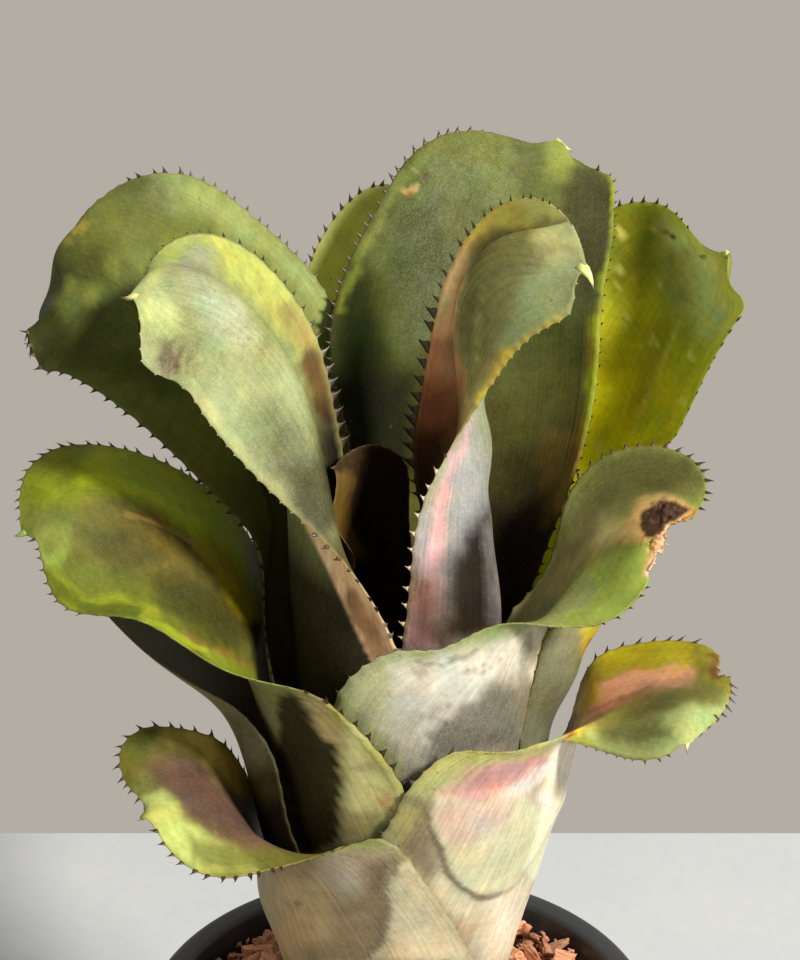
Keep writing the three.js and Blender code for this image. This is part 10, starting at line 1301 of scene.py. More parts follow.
def paint_leaf(name, side, u, v, p3):
    """Colour and masks at points of one side ('in' or 'out') of a leaf."""
    spec = PAINT[name]
    q = front(p3)
    wob = np.stack([sines(p3, 9, 11), sines(p3, 9, 12)], -1) * 2.2 + np.stack([sines(p3, 3.2, 13), sines(p3, 3.2, 14)], -1) * 0.9
    qw = q + wob
    stops = spec[side]
    us = np.array([s[0] for s in stops])
    mid = np.array([lin(s[1]) for s in stops])
    rim = np.array([lin(s[2]) for s in stops])
    uw = u + sines(p3, 30, 15) * 0.012
    cm = np.stack([np.interp(uw, us, mid[:, k]) for k in range(3)], -1)
    cr = np.stack([np.interp(uw, us, rim[:, k]) for k in range(3)], -1)
    w = smooth((np.abs(v) - spec.get("rim", 0.45)) / 0.5)[:, None]
    col = cm * (1 - w) + cr * w
    scurf = np.interp(u, us, [s[3] for s in stops])
    streak = np.interp(u, us, [s[4] if len(s) > 4 else 0.2 for s in stops])
    gloss = np.full(len(u), 0.4 * spec.get("gloss", 0.3))
    for op in spec.get("ops", []):
        if op.get("side", side) != side:
            continue
        f = op.get("feather", 4.0)
        pts = qw if op.get("wobble", True) else q
        if "poly" in op:
            m = soft_poly(pts, op["poly"], f)
        elif "line" in op:
            m = soft_line(pts, op["line"], op.get("half", 1.5), f)
        elif "dot" in op:
            x, y, r = op["dot"]
            m = smooth(1 - (np.hypot(pts[:, 0] - x, (pts[:, 1] - y) * op.get("squeeze", 1.0)) - r) / f)
        else:
            u0, u1, v0, v1 = op["uv"]
            fu, fv = op.get("fu", 0.03), op.get("fv", 0.12)
            vw = v + sines(p3, 12, 16) * 0.03
            m = smooth((uw - u0) / fu + 0.5) * smooth((u1 - uw) / fu + 0.5) * smooth((vw - v0) / fv + 0.5) * smooth((v1 - vw) / fv + 0.5)
        if "within" in op:
            a, b, c, d = op["within"]
            m = m * ((u >= a) & (u <= b) & (v >= c) & (v <= d))
        m = m * op.get("a", 1.0)
        if "patchy" in op:
            m = m * np.clip(0.5 + op["patchy"] * sines(p3, op.get("patch", 5.0), 17), 0, 1)
        if "col" in op:
            c = lin(op["col"])
            if op.get("how") == "mul":
                col = col * (1 - m[:, None] + m[:, None] * c * 2)
            else:
                col = col * (1 - m[:, None]) + c * m[:, None]
        if "scurf" in op:
            scurf = scurf * (1 - m) + op["scurf"] * m
        if "streak" in op:
            streak = streak * (1 - m) + op["streak"] * m
        if "gloss" in op:
            gloss = gloss * (1 - m) + op["gloss"] * m
    # uneven pigment, then the leaf's gain, which partly carries painted light
    m1, m2 = sines(p3, 5.0, 51), sines(p3, 1.9, 52)
    warm = sines(p3, 8.0, 53)
    uneven = spec.get("uneven", 1.0)
    col = col * (1 + uneven * (0.07 * m1 + 0.06 * m2))[:, None]
    col = col * np.stack([1 + uneven * 0.05 * warm, 1 + 0 * warm, 1 - uneven * 0.04 * warm], -1) * np.array(spec.get("gain", 1.0))
    grey = col.mean(1)[:, None]
    col = np.clip(grey + (col - grey) * spec.get("rich", 1.07), 0.0025, 0.9)
    # a thin line along the very margin
    edge = smooth((np.abs(v) - 0.955) / 0.04)[:, None] * spec.get("edge_a", 0.35)
    col = col * (1 - edge) + lin(spec.get("edge", (96, 82, 40))) * edge
    return col, np.stack([np.clip(scurf, 0, 1), np.clip(streak, 0, 1), gloss], -1)


def build_leaf(name):
    n = NETS[name]
    nr, nc = n["rows"], n["cols"]
    net = np.array(n["p"], float).reshape(nr, nc, 3) * 0.05
    urow = np.array(n["u"], float) * 0.001
    spec = PAINT[name]
    un, vn = np.meshgrid(urow, np.linspace(-1, 1, nc), indexing="ij")
    for k in spec.get("warp", []):
        q0 = front(net)
        depth = (net[..., 1] - CAM[1]) * CT - (net[..., 2] - CAM[2]) * ST
        m = np.exp(-((q0[..., 0] - k["at"][0]) ** 2 + (q0[..., 1] - k["at"][1]) ** 2) / k["r"] ** 2)
        ua, ub = k.get("u", (0, 1))
        m = m * smooth((un - ua) / 0.06 + 0.5) * smooth((ub - un) / 0.06 + 0.5)
        if "side" in k:
            m = m * smooth((vn * k["side"] + 0.3) / 0.9)
        m = m * depth / FOCAL
        net = net + m[..., None] * (k["d"][0] * np.array([1.0, 0, 0]) - k["d"][1] * np.array([0, ST, CT])) + m[..., None] * k.get("back", 0.0) * np.array([0, CT, -ST])
    if "flatten" in spec:
        a, b, amount = spec["flatten"]
        depth = (net[..., 1] - CAM[1]) * CT - (net[..., 2] - CAM[2]) * ST
        flat = depth[:, :1] * (1 - (vn + 1) / 2) + depth[:, -1:] * (vn + 1) / 2
        w = amount * smooth((un - a) / (b - a))
        net = CAM + (net - CAM) * (1 + w * (flat - depth) / depth)[..., None]
    # fine grid: rows evenly spaced along the longer margin, columns closer together at the margins
    t = np.linspace(0, nr - 1, 2001)
    w = spline_matrix(nr, t)
    ea, eb = w @ net[:, 0], w @ net[:, -1]
    step = np.maximum(np.linalg.norm(np.diff(ea, axis=0), axis=1), np.linalg.norm(np.diff(eb, axis=0), axis=1))
    cum = np.concatenate([[0], np.cumsum(step)])
    width = np.linalg.norm(ea - eb, axis=1)
    last = np.max(np.nonzero(width > 1.6)[0])
    rows = int(cum[last] / 0.95)
    tr = np.interp(np.linspace(0, cum[last], rows), cum, t)
    x = np.linspace(-1, 1, spec.get("cols", 37))
    v = 1.12 * x - 0.12 * x ** 3
    wr, wc = spline_matrix(nr, tr), spline_matrix(nc, (v + 1) / 2 * (nc - 1))
    s = np.einsum("ri,ijk,cj->rck", wr, net, wc)
    u = np.interp(tr, np.arange(nr), urow)
    U, V = np.meshgrid(u, v, indexing="ij")
    # frames
    du, dv = np.gradient(s, axis=0), np.gradient(s, axis=1)
    nrm = np.cross(du, dv)
    nrm /= np.linalg.norm(nrm, axis=-1, keepdims=True) + 1e-12
    base = slice(0, rows // 6)
    radial = s[base].copy()
    radial[..., 2] = 0
    outer = 1.0 if (nrm[base] * radial).sum() > 0 else -1.0     # +1: the normal faces away from the crown
    # margins: arc length, outward direction
    spines = []
    scallop = np.zeros((rows, len(v)))
    side_out = {}
    for j, sign in ((0, -1), (len(v) - 1, 1)):
        e = s[:, j]
        d = np.linalg.norm(np.diff(e, axis=0), axis=1)
        arc = np.concatenate([[0], np.cumsum(d)])
        tan = np.gradient(e, axis=0)
        tan /= np.linalg.norm(tan, axis=1, keepdims=True) + 1e-12
        o = dv[:, j] * sign
        o = o - (o * tan).sum(1)[:, None] * tan
        o /= np.linalg.norm(o, axis=1, keepdims=True) + 1e-12
        side_out[j] = o
        r = np.random.default_rng(int(abs(sign + 2) * 100 + len(name) * 7 + nr))
        pos, at = [], 1.0
        while at < arc[-1] - 3.2:
            f = at / arc[-1]
            pos.append(at)
            at += (4.7 - 1.0 * smooth((f - 0.35) / 0.6)) * r.uniform(0.76, 1.24) * spec.get("pitch", 1.0)
        pos = np.array(pos)
        # scallops: the margin dips between one spine and the next
        k = np.clip(np.searchsorted(pos, arc) - 1, 0, len(pos) - 2)
        ph = np.clip((arc - pos[k]) / (pos[k + 1] - pos[k]), 0, 1)
        dip = np.sin(math.pi * ph) ** 0.8 * (pos[k + 1] - pos[k]) * 0.11
        dip *= smooth((arc[-1] - arc) / 4.0) * spec.get("scallop", {}).get(sign, 1.0)
        scallop[:, j] = dip
        for a in pos:
            z = np.interp(a, arc, e[:, 2])
            if z < 117:
                continue
            row = int(round(np.interp(a, arc, np.arange(rows))))
            spines.append((e[row] * 1.0, o[row], tan[row], nrm[row, j], u[row], sign, r.uniform(0.82, 1.16), r.uniform(-0.15, 0.2), j, row))
    # pull the margins and a band inside them
    for j, sign in ((0, -1), (len(v) - 1, 1)):
        for jj in range(len(v)):
            k = smooth((sign * v[jj] - 0.80) / 0.20) ** 2
            if k > 0:
                s[:, jj] -= side_out[j] * (scallop[:, j] * k)[:, None]
    # shallow lengthwise ribs
    s += nrm * (spec.get("rib", 0.10) * np.sin(V * 9.0 + U * 4.0) * smooth(U * 4) * smooth((1 - U) * 6))[..., None]
    lift = np.zeros(U.shape)
    q2 = front(s.reshape(-1, 3))
    for bump in spec.get("emboss", []):
        m = soft_poly(q2, bump["poly"], bump["feather"]).reshape(U.shape)
        if "within" in bump:
            a, b, c, d = bump["within"]
            m = m * ((U >= a) & (U <= b) & (V >= c) & (V <= d))
        lift += m * bump["height"]
    if "pucker" in spec:
        flat = s.reshape(-1, 3)
        for (x0, y0, rad, amp, size) in spec["pucker"]:
            m = smooth(1 - np.hypot(q2[:, 0] - x0, q2[:, 1] - y0) / rad)
            lift += (m * sines(flat, size, 31) * amp).reshape(U.shape)
    s += nrm * (outer * lift)[..., None]
    half = 0.5 * (1 - 0.62 * smooth((np.abs(V) - 0.55) / 0.45)) * (1 - 0.35 * smooth((U - 0.75) / 0.25))
    half *= spec.get("thick", 1.0)
    top = s + nrm * (outer * half)[..., None]       # 'out' side
    bot = s - nrm * (outer * half)[..., None]       # 'in' side
    keep = np.ones((rows - 1, len(v) - 1), bool)
    if "hole" in spec:
        qc = front((s[:-1, :-1] + s[1:, 1:]).reshape(-1, 3) / 2)
        for h in spec["hole"]:
            wq = qc + np.stack([sines((s[:-1, :-1]).reshape(-1, 3), 2.4, 41), sines((s[:-1, :-1]).reshape(-1, 3), 2.4, 42)], -1) * 1.6
            keep &= ~(soft_poly(wq, h, 0.5) > 0.5).reshape(keep.shape)
    R, Cn = rows, len(v)
    N = R * Cn
    idx = np.arange(N).reshape(R, Cn)
    quads = []
    a, b, c, d = idx[:-1, :-1], idx[1:, :-1], idx[1:, 1:], idx[:-1, 1:]
    k = keep
    f1 = np.stack([a[k], b[k], c[k], d[k]], -1)
    f2 = np.stack([a[k], d[k], c[k], b[k]], -1) + N
    if outer < 0:
        f1, f2 = f1[:, ::-1], f2[:, ::-1]
    faces = [f1, f2]
    # rims: every edge of the kept cells with a cell on one side only
    from collections import Counter
    cells = np.stack([a[k], b[k], c[k], d[k]], -1)
    e = np.concatenate([cells[:, [0, 1]], cells[:, [1, 2]], cells[:, [2, 3]], cells[:, [3, 0]]])
    key = np.sort(e, axis=1)
    code = key[:, 0].astype(np.int64) * N + key[:, 1]
    _, inv, cnt = np.unique(code, return_inverse=True, return_counts=True)
    rim = e[cnt[inv] == 1]
    f3 = np.stack([rim[:, 1], rim[:, 0], rim[:, 0] + N, rim[:, 1] + N], -1)
    if outer < 0:
        f3 = f3[:, ::-1]
    faces.append(f3)
    verts = np.concatenate([top.reshape(-1, 3), bot.reshape(-1, 3)])
    uu, vv = U.ravel(), V.ravel()
    c_out, m_out = paint_leaf(name, "out", uu, vv, top.reshape(-1, 3))
    c_in, m_in = paint_leaf(name, "in", uu, vv, bot.reshape(-1, 3))
    colours = np.concatenate([c_out, c_in])
    masks = np.concatenate([m_out, m_in])
    # texture coordinates: along the leaf, and across it in vein lines
    mid = s[:, Cn // 2]
    along = np.concatenate([[0], np.cumsum(np.linalg.norm(np.diff(mid, axis=0), axis=1))])
    wmax = np.linalg.norm(np.diff(s, axis=1), axis=2).sum(1).max()
    uv = np.stack([np.repeat(along, Cn) / 100, vv * wmax / 200 + 1], -1)
    uv = np.concatenate([uv, uv + np.array([0.0, 3.1])])
    quad_count = sum(len(f) for f in faces)
    allfaces = [tuple(r) for r in np.concatenate(faces)]
    # spines
    sv, sf, sc = [], [], []
    start = len(verts)
    pale = spec.get("pale_spines", [])
    for (p, o, tn, nn, uu0, sign, size, lean, j, row) in spines:
        light = any(x[0] == sign and x[1] <= uu0 <= x[2] for x in pale)
        wide = 1.0
        for zone in spec.get("zones", []):
            if soft_poly(front(p[None]), zone[0], 0.01)[0] > 0.5:
                size = size * zone[1]
                light = light or (len(zone) > 2 and zone[2] == "pale")
                wide = 1.45 if len(zone) > 2 and zone[2] == "wide" else wide
        if size < 0.1:
            continue
        L = (1.9 - 0.2 * smooth((uu0 - 0.8) / 0.2)) * size * spec.get("spine", 1.0) * (0.8 if light else 1.0)
        ang = 0.34 + lean
        dirn = o * math.cos(ang) + tn * math.sin(ang)
        first = start + len(sv)
        for k, (f, wt, wn) in enumerate(((-0.30, 0.95, 0.28), (0.10, 0.52, 0.24), (0.45, 0.26, 0.15), (0.82, 0.10, 0.07))):
            bend = 0.25 * L * f * max(f, 0)
            c0 = p + o * (L * f * math.cos(ang * 0.55)) + tn * (L * f * math.sin(ang * 0.55) + bend * 0.9)
            for q in range(6):
                al = q * math.pi / 3
                sv.append(c0 + tn * (wt * wide * size * math.cos(al)) + nn * (wn * min(size, 1.0) * math.sin(al)))
                if light:
                    sc.append(lin((150, 120, 92)) if f > 0.3 else lin((176, 160, 128)))
                else:
                    sc.append(lin((30, 18, 14)) if f > 0.3 else (lin((58, 36, 24)) if f > 0 else lin((92, 70, 40))))
        sv.append(p + o * (L * math.cos(ang * 0.8)) + tn * (L * math.sin(ang * 0.8) + 0.28 * L))
        sc.append(lin((20, 12, 10)) if not light else lin((120, 86, 60)))
        flip = sign * (1 if True else -1)
        for ring in range(3):
            for q in range(6):
                a0, a1 = first + ring * 6 + q, first + ring * 6 + (q + 1) % 6
                sf.append((a0, a1, a1 + 6, a0 + 6))
        tip = first + 24
        for q in range(6):
            sf.append((first + 18 + q, first + 18 + (q + 1) % 6, tip))
        sf.append(tuple(first + q for q in range(5, -1, -1)))
    # tip point
    mu = spec.get("mucro", {"len": 3.2, "w": 1.0})
    pt = (s[-1, 0] + s[-1, -1]) / 2
    back = s[-14, Cn // 2]
    ahead = pt - back
    ahead /= np.linalg.norm(ahead) + 1e-12
    if "dir" in mu:
        hook = np.array(mu["dir"], float)
        hook /= np.linalg.norm(hook)
    else:
        hook = ahead
    acr = s[-1, -1] - s[-1, 0]
    acr = acr - (acr @ ahead) * ahead
    acr /= np.linalg.norm(acr) + 1e-12
    nn = np.cross(ahead, acr)
    first = start + len(sv)
    rings = ((-0.35, 1.0, 0.5), (0.0, 0.95, 0.5), (0.35, 0.6, 0.36), (0.7, 0.3, 0.2))
    for (f, wt, wn) in rings:
        c0 = pt + (ahead * (1 - max(f, 0)) + hook * max(f, 0)) * (mu["len"] * f)
        for q in range(8):
            al = q * math.pi / 4
            sv.append(c0 + acr * (mu["w"] * wt * math.cos(al)) + nn * (mu["w"] * wn * math.sin(al)))
            sc.append(lin(mu.get("col", (190, 176, 110))) if f < 0.5 else lin(mu.get("tipcol", (150, 120, 70))))
    sv.append(pt + hook * mu["len"])
    sc.append(lin(mu.get("tipcol", (150, 120, 70))))
    for ring in range(3):
        for q in range(8):
            a0, a1 = first + ring * 8 + q, first + ring * 8 + (q + 1) % 8
            sf.append((a0, a1, a1 + 8, a0 + 8))
    for q in range(8):
        sf.append((first + 24 + q, first + 24 + (q + 1) % 8, first + 32))
    sf.append(tuple(first + q for q in range(7, -1, -1)))
    # hooked points on the margin, laid parallel to the drawing plane
    border = np.concatenate([s[:, 0], s[:, -1], s[-1]])
    fb = front(border)
    for bb in spec.get("barbs", []):
        root = border[np.argmin(np.hypot(fb[:, 0] - bb["at"][0], fb[:, 1] - bb["at"][1]))]
        depth = (root[1] - CAM[1]) * CT - (root[2] - CAM[2]) * ST
        plane = lambda x, y: CAM + depth * np.array([0, CT, -ST]) + (x - 400) * depth / FOCAL * np.array([1.0, 0, 0]) + (480 - y) * depth / FOCAL * np.array([0, ST, CT])
        pa, pb = plane(*bb["at"]), plane(*bb["to"])
        axis = pb - pa
        ln = np.linalg.norm(axis)
        axis /= ln
        sd = np.cross(axis, np.array([0, CT, -ST]))
        sd /= np.linalg.norm(sd)
        th = np.cross(axis, sd)
        first = start + len(sv)
        for k, (f, wd) in enumerate(((-0.25, 1.0), (0.15, 0.8), (0.5, 0.5), (0.82, 0.22))):
            c0 = pa + axis * (ln * f) - sd * (0.3 * math.sin(max(f, 0) * math.pi))
            for q in range(8):
                al = q * math.pi / 4
                sv.append(c0 + sd * (bb["w"] * wd * math.cos(al)) + th * (bb["w"] * wd * 0.7 * math.sin(al)))
                sc.append(lin(bb["col"] if f < 0.4 else bb["tipcol"]))
        sv.append(pb)
        sc.append(lin(bb["tipcol"]))
        for ring in range(3):
            for q in range(8):
                a0, a1 = first + ring * 8 + q, first + ring * 8 + (q + 1) % 8
                sf.append((a0, a1, a1 + 8, a0 + 8))
        for q in range(8):
            sf.append((first + 24 + q, first + 24 + (q + 1) % 8, first + 32))
        sf.append(tuple(first + q for q in range(7, -1, -1)))
    verts = np.concatenate([verts, np.array(sv)])
    o = mesh_object(name + "_blade", verts, allfaces + sf)
    # drop the points that holes leave without a face
    me = o.data
    sc = np.array(sc)
    set_colours(o, "paint", np.concatenate([colours, sc]))
    set_colours(o, "mask", np.concatenate([masks, np.zeros((len(sc), 3))]))
    set_uv(o, np.concatenate([uv, np.zeros((len(sc), 2)) + 0.5]))
    mats = np.zeros(len(me.polygons), np.int32)
    mats[quad_count:] = 1
    me.materials.append(leaf_material(name + "_skin", spec.get("rough", 0.42), spec.get("translucent", 0.16), spec.get("specular", 0.13)))
    me.materials.append(SPINE)
    me.polygons.foreach_set("material_index", mats)
    tidy(o)
    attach(o, "root")
    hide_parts(name)
    return o


def tidy(o):
    """Makes every loose shell face outwards, and drops points without faces."""
    import bmesh
    bm = bmesh.new()
    bm.from_mesh(o.data)
    loose = [x for x in bm.verts if not x.link_faces]
    bmesh.ops.delete(bm, geom=loose, context="VERTS")
    bmesh.ops.recalc_face_normals(bm, faces=bm.faces)
    bm.to_mesh(o.data)
    bm.free()
    o.data.update()


SPINE = spine_material()
for leaf_name in NETS:
    build_leaf(leaf_name)

# ---------------------------------------------------------------- pot
def lathe(name, profile, segments, closed=False):
    """A body of revolution about Z from [radius, z] points in mm."""
    prof = np.array(profile, float)
    verts, faces, rings = [], [], []
    for r, z in prof:
        if r < 1e-6:
            rings.append([len(verts)])
            verts.append((0, 0, z))
        else:
            rings.append(list(range(len(verts), len(verts) + segments)))
            for k in range(segments):
                a = 2 * math.pi * k / segments
                verts.append((r * math.cos(a), r * math.sin(a), z))
    for a, b in zip(rings[:-1], rings[1:]):
        for k in range(segments):
            k2 = (k + 1) % segments
            if len(a) == 1:
                faces.append((a[0], b[k2], b[k]))
            elif len(b) == 1:
                faces.append((a[k], a[k2], b[0]))
            else:
                faces.append((a[k], a[k2], b[k2], b[k]))
    return mesh_object(name, verts, faces)


def arc(cx, cz, r, a0, a1, n):
    return [(cx + r * math.cos(math.radians(a0 + (a1 - a0) * i / n)), cz + r * math.sin(math.radians(a0 + (a1 - a0) * i / n))) for i in range(n + 1)]


POT_H, LIP_R, MOUTH_R, FOOT_R, WALL = 125.0, 75.0, 66.9, 51.6, 1.6
inner_foot = FOOT_R - WALL


def inner_at(z):
    return inner_foot + (z - 2.4) / (POT_H - 4 - 2.4) * (MOUTH_R - inner_foot)


profile = [(0, 0.0), (30.0, 0.0), (FOOT_R - 2.2, 0.0)] + arc(FOOT_R - 1.9, 1.7, 1.7, -90, -4, 6)
profile += [(inner_at(8) + WALL, 8.0), (inner_at(14) + WALL, 14.0)]
profile += [(inner_at(60) + WALL, 60.0), (inner_at(96) + WALL, 96.0)]
profile += [(inner_at(104.6) + WALL, 104.6), (inner_at(105.2) + WALL + 0.5, 105.2), (inner_at(111.2) + WALL + 0.5, 111.2)]
profile += [(inner_at(111.8) + WALL + 0.2, 111.9), (LIP_R - 2.4, 112.5)] + arc(LIP_R - 1.9, 114.2, 1.7, -80, 0, 5)
profile += [(LIP_R - 0.1, 118.0), (LIP_R - 0.15, 121.0)]
profile += arc(LIP_R - 3.1, 121.9, 3.1, 8, 88, 9)
profile += [(MOUTH_R + 2.6, POT_H - 0.05)] + arc(MOUTH_R + 2.0, POT_H - 2.3, 2.15, 84, 176, 8)
profile += [(MOUTH_R - 0.4, POT_H - 5.0), (inner_at(100), 100.0), (inner_at(40), 40.0)] + arc(inner_foot - 1.6, 4.2, 1.8, 0, -90, 5)
profile += [(30.0, 2.4), (0, 2.4)]
pot = lathe("nursery_pot", profile, 192)
for k in range(8):
    a = 2 * math.pi * (k + 0.5) / 8
    bpy.ops.mesh.primitive_cylinder_add(vertices=40, radius=4.5 * MM, depth=12 * MM, location=(36 * MM * math.cos(a), 36 * MM * math.sin(a), 1.2 * MM))
    cutter = bpy.context.object
    b = pot.modifiers.new("drain", "BOOLEAN")
    b.operation, b.solver, b.object = "DIFFERENCE", "EXACT", cutter
    bpy.context.view_layer.objects.active = pot
    bpy.ops.object.modifier_apply(modifier=b.name)
    bpy.data.objects.remove(cutter)
tidy(pot)
pot.data.polygons.foreach_set("use_smooth", np.ones(len(pot.data.polygons), bool))
pot.data.set_sharp_from_angle(angle=math.radians(38))


def pot_material():
    m, nt, out = node_tree("pot_plastic_satin")
    g = Graph(nt)
    ob = g.coords("Object")
    cloud = g.noise(ob, 28.0, 4.0, 0.6)
    fine = g.noise(ob, 900.0, 3.0, 0.6)
    scuff = g.noise(g.scaled(ob, (60, 60, 900)), 1.0, 3.0, 0.65, 0.4)
    dust = g.math("MULTIPLY", g.ramp(cloud, [(0.46, 0.0), (0.72, 1.0)]), g.ramp(fine, [(0.45, 0.0), (0.75, 1.0)]))
    marks = g.math("MULTIPLY", g.ramp(scuff, [(0.60, 0.0), (0.68, 1.0)]), g.ramp(cloud, [(0.4, 0.0), (0.7, 1.0)]))
    base = g.mix(cloud, (0.021, 0.0225, 0.024), (0.035, 0.0365, 0.039))
    base = g.mix(g.math("MULTIPLY", dust, 0.22), base, (0.16, 0.14, 0.115))
    base = g.mix(g.math("MULTIPLY", marks, 0.25), base, (0.07, 0.07, 0.072))
    r = g.math("ADD", g.math("MULTIPLY_ADD", cloud, 0.16, 0.34), g.math("MULTIPLY_ADD", dust, 0.22, g.math("MULTIPLY", marks, 0.1)), clamp=True)
    h = g.math("ADD", g.math("MULTIPLY", fine, 0.35), g.math("MULTIPLY", marks, -0.3))
    p = g.node("ShaderNodeBsdfPrincipled", Base_Color=base, Roughness=r, Normal=g.bump(h, 0.18, 0.0004))
    nt.links.new(p.outputs[0], out.inputs["Surface"])
    return m


pot.data.materials.append(pot_material())
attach(pot, "root")
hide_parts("pot")


# ---------------------------------------------------------------- bark bed
def bark_material(name, low, mid, high, rough=0.86):
    m, nt, out = node_tree(name)
    g = Graph(nt)
    ob = g.coords("Object")
    tint = g.attribute("paint").outputs["Color"]
    grain = g.noise(g.attribute("fibre").outputs["Vector"], 1.0, 4.0, 0.65, 0.3)
    fine = g.noise(ob, 1900.0, 3.0, 0.7)
    blot = g.noise(ob, 220.0, 3.0, 0.6)
    base = g.ramp(g.math("MULTIPLY_ADD", grain, 0.75, g.math("MULTIPLY", blot, 0.28)), [(0.34, low), (0.53, mid), (0.74, high)])
    base = g.mix(1.0, base, tint, "MULTIPLY")
    base = g.mix(g.math("MULTIPLY", g.ramp(fine, [(0.62, 0.0), (0.75, 1.0)]), 0.35), base, (0.62, 0.42, 0.29))
    h = g.math("ADD", grain, g.math("MULTIPLY", fine, 0.45))
    p = g.node("ShaderNodeBsdfPrincipled", Base_Color=base, Roughness=g.math("MULTIPLY_ADD", fine, 0.18, rough - 0.1), Normal=g.bump(h, 0.75, 0.0009))
    p.inputs["Specular IOR Level"].default_value = 0.25
    nt.links.new(p.outputs[0], out.inputs["Surface"])
    return m


BARK = bark_material("bark_chips", (0.17, 0.065, 0.032), (0.52, 0.235, 0.125), (0.80, 0.46, 0.28))
SOIL = bark_material("bark_fines", (0.030, 0.014, 0.008), (0.085, 0.038, 0.02), (0.19, 0.085, 0.045), 0.92)


def set_vector(o, name, vec):
    at = o.data.attributes.new(name, "FLOAT_VECTOR", "POINT")
    at.data.foreach_set("vector", np.asarray(vec, np.float32).ravel())


def chip_shape(r, l, w, t, steps=2):
    """One split piece of bark: a ragged slab with fibrous ends, as points and triangles about the origin."""
    import bmesh
    bm = bmesh.new()
    n = 15
    pts = r.uniform(-1, 1, (n, 3))
    pts /= np.abs(pts).max(1)[:, None] ** 0.8
    pts *= np.array([l, w, t]) / 2
    for p in pts:
        bm.verts.new(p)
    res = bmesh.ops.convex_hull(bm, input=bm.verts)
    dead = [v for v in res["geom_interior"] if isinstance(v, bmesh.types.BMVert)]
    bmesh.ops.delete(bm, geom=dead, context="VERTS")
    bmesh.ops.triangulate(bm, faces=bm.faces)
    bmesh.ops.subdivide_edges(bm, edges=bm.edges, cuts=steps, use_grid_fill=True)
    bmesh.ops.triangulate(bm, faces=bm.faces)
    v = np.array([x.co[:] for x in bm.verts])
    bm.verts.index_update()
    f = np.array([[x.index for x in q.verts] for q in bm.faces])
    bm.free()
    c = v.mean(0)
    d = v - c
    seed = int(r.integers(1, 9999))
    ridge = sines(v * np.array([0.25, 1.6, 1.6]), 1.6, seed)
    rough = sines(v, 2.2, seed + 1)
    k = 1 + 0.10 * ridge[:, None] * np.array([0.4, 1, 1]) + 0.07 * rough[:, None]
    return c + d * k, f


def rotation(r, tilt=25):
    yaw = r.uniform(0, 2 * math.pi)
    ax, ay = np.radians(r.normal(0, tilt, 2))
    cz, sz = math.cos(yaw), math.sin(yaw)
    cx, sx, cy, sy = math.cos(ax), math.sin(ax), math.cos(ay), math.sin(ay)
    rz = np.array([[cz, -sz, 0], [sz, cz, 0], [0, 0, 1]])
    rx = np.array([[1, 0, 0], [0, cx, -sx], [0, sx, cx]])
    ry = np.array([[cy, 0, sy], [0, 1, 0], [-sy, 0, cy]])
    return rz @ rx @ ry


def heap(name, count, r_lo, r_hi, z_of, size, seed, tilt=28):
    r = np.random.default_rng(seed)
    shapes = [chip_shape(r, r.uniform(*size[0]), r.uniform(*size[1]), r.uniform(*size[2])) for _ in range(28)]
    vs, fs, cs, fb = [], [], [], []
    start = 0
    for k in range(count):
        v, f = shapes[int(r.integers(len(shapes)))]
        s = r.uniform(0.75, 1.15)
        rot = rotation(r, tilt)
        w = (v * s) @ rot.T
        reach = np.hypot(w[:, 0], w[:, 1]).max()
        hi = min(r_hi, 66.3 - reach)
        lo = min(max(r_lo, 34.8 + reach * 0.75), hi)
        rad = math.sqrt(r.uniform(lo ** 2, hi ** 2))
        a = r.uniform(0, 2 * math.pi)
        w = w + np.array([rad * math.cos(a), rad * math.sin(a), z_of(rad, a, r)])
        # keep clear of the wall and of the sheaths
        rr = np.hypot(w[:, 0], w[:, 1])
        lim = np.minimum(1.0, 66.2 / rr)
        w[:, :2] *= lim[:, None]
        rr = np.hypot(w[:, 0], w[:, 1])
        need = 33.2 + np.clip(w[:, 2] - 113, 0, 30) * 0.11
        w[:, :2] *= np.maximum(1.0, need / rr)[:, None]
        vs.append(w)
        fs.append(f + start)
        start += len(w)
        tone = r.uniform(0.62, 1.25)
        warm = r.uniform(0.9, 1.1)
        cs.append(np.tile([tone * warm, tone, tone / warm], (len(w), 1)))
        fb.append(v * np.array([0.25, 1.5, 1.5]) + r.uniform(0, 100, 3))
    o = mesh_object(name, np.concatenate(vs), np.concatenate(fs), smooth_shade=False)
    set_colours(o, "paint", np.concatenate(cs))
    set_vector(o, "fibre", np.concatenate(fb))
    return o


# the bed itself: dark fines between the chips, with an uneven top
SEG, RAD = 120, 16
bed_v, bed_f, bed_ring = [], [], []
outline = [(62.0 - (62.0 - 49.4) * 0, 0)]
levels = [(inner_at(3.4) - 1.8, 3.2), (inner_at(60) - 0.6, 60.0), (inner_at(108) - 0.6, 108.0), (inner_at(112) - 0.7, 112.6)]
for rr_, zz_ in levels:
    bed_ring.append([(rr_, zz_)] * SEG)
for i in range(RAD):
    f_ = i / (RAD - 1)
    bed_ring.append([(inner_at(113) - 1.2 - f_ * (inner_at(113) - 1.2 - 33.6), 115.4)] * SEG)
bed_ring.append([(33.4, 106.2)] * SEG)
bed_ring.append([(31.6, 105.9)] * SEG)
for rr_, zz_ in ((20.6, 102.4), (12.9, 94.0), (10.9, 79.8), (9.9, 65.6), (7.2, 61.3)):
    bed_ring.append([(rr_, zz_)] * SEG)
for j, ring in enumerate(bed_ring):
    for k, (rr_, zz_) in enumerate(ring):
        a_ = 2 * math.pi * k / SEG
        bed_v.append((rr_ * math.cos(a_), rr_ * math.sin(a_), zz_))
bed_v = np.array(bed_v)
top = slice(4 * SEG, (4 + RAD) * SEG)
bed_v[top, 2] += sines(bed_v[top], 9, 51) * 0.8 + sines(bed_v[top], 3.5, 52) * 0.5
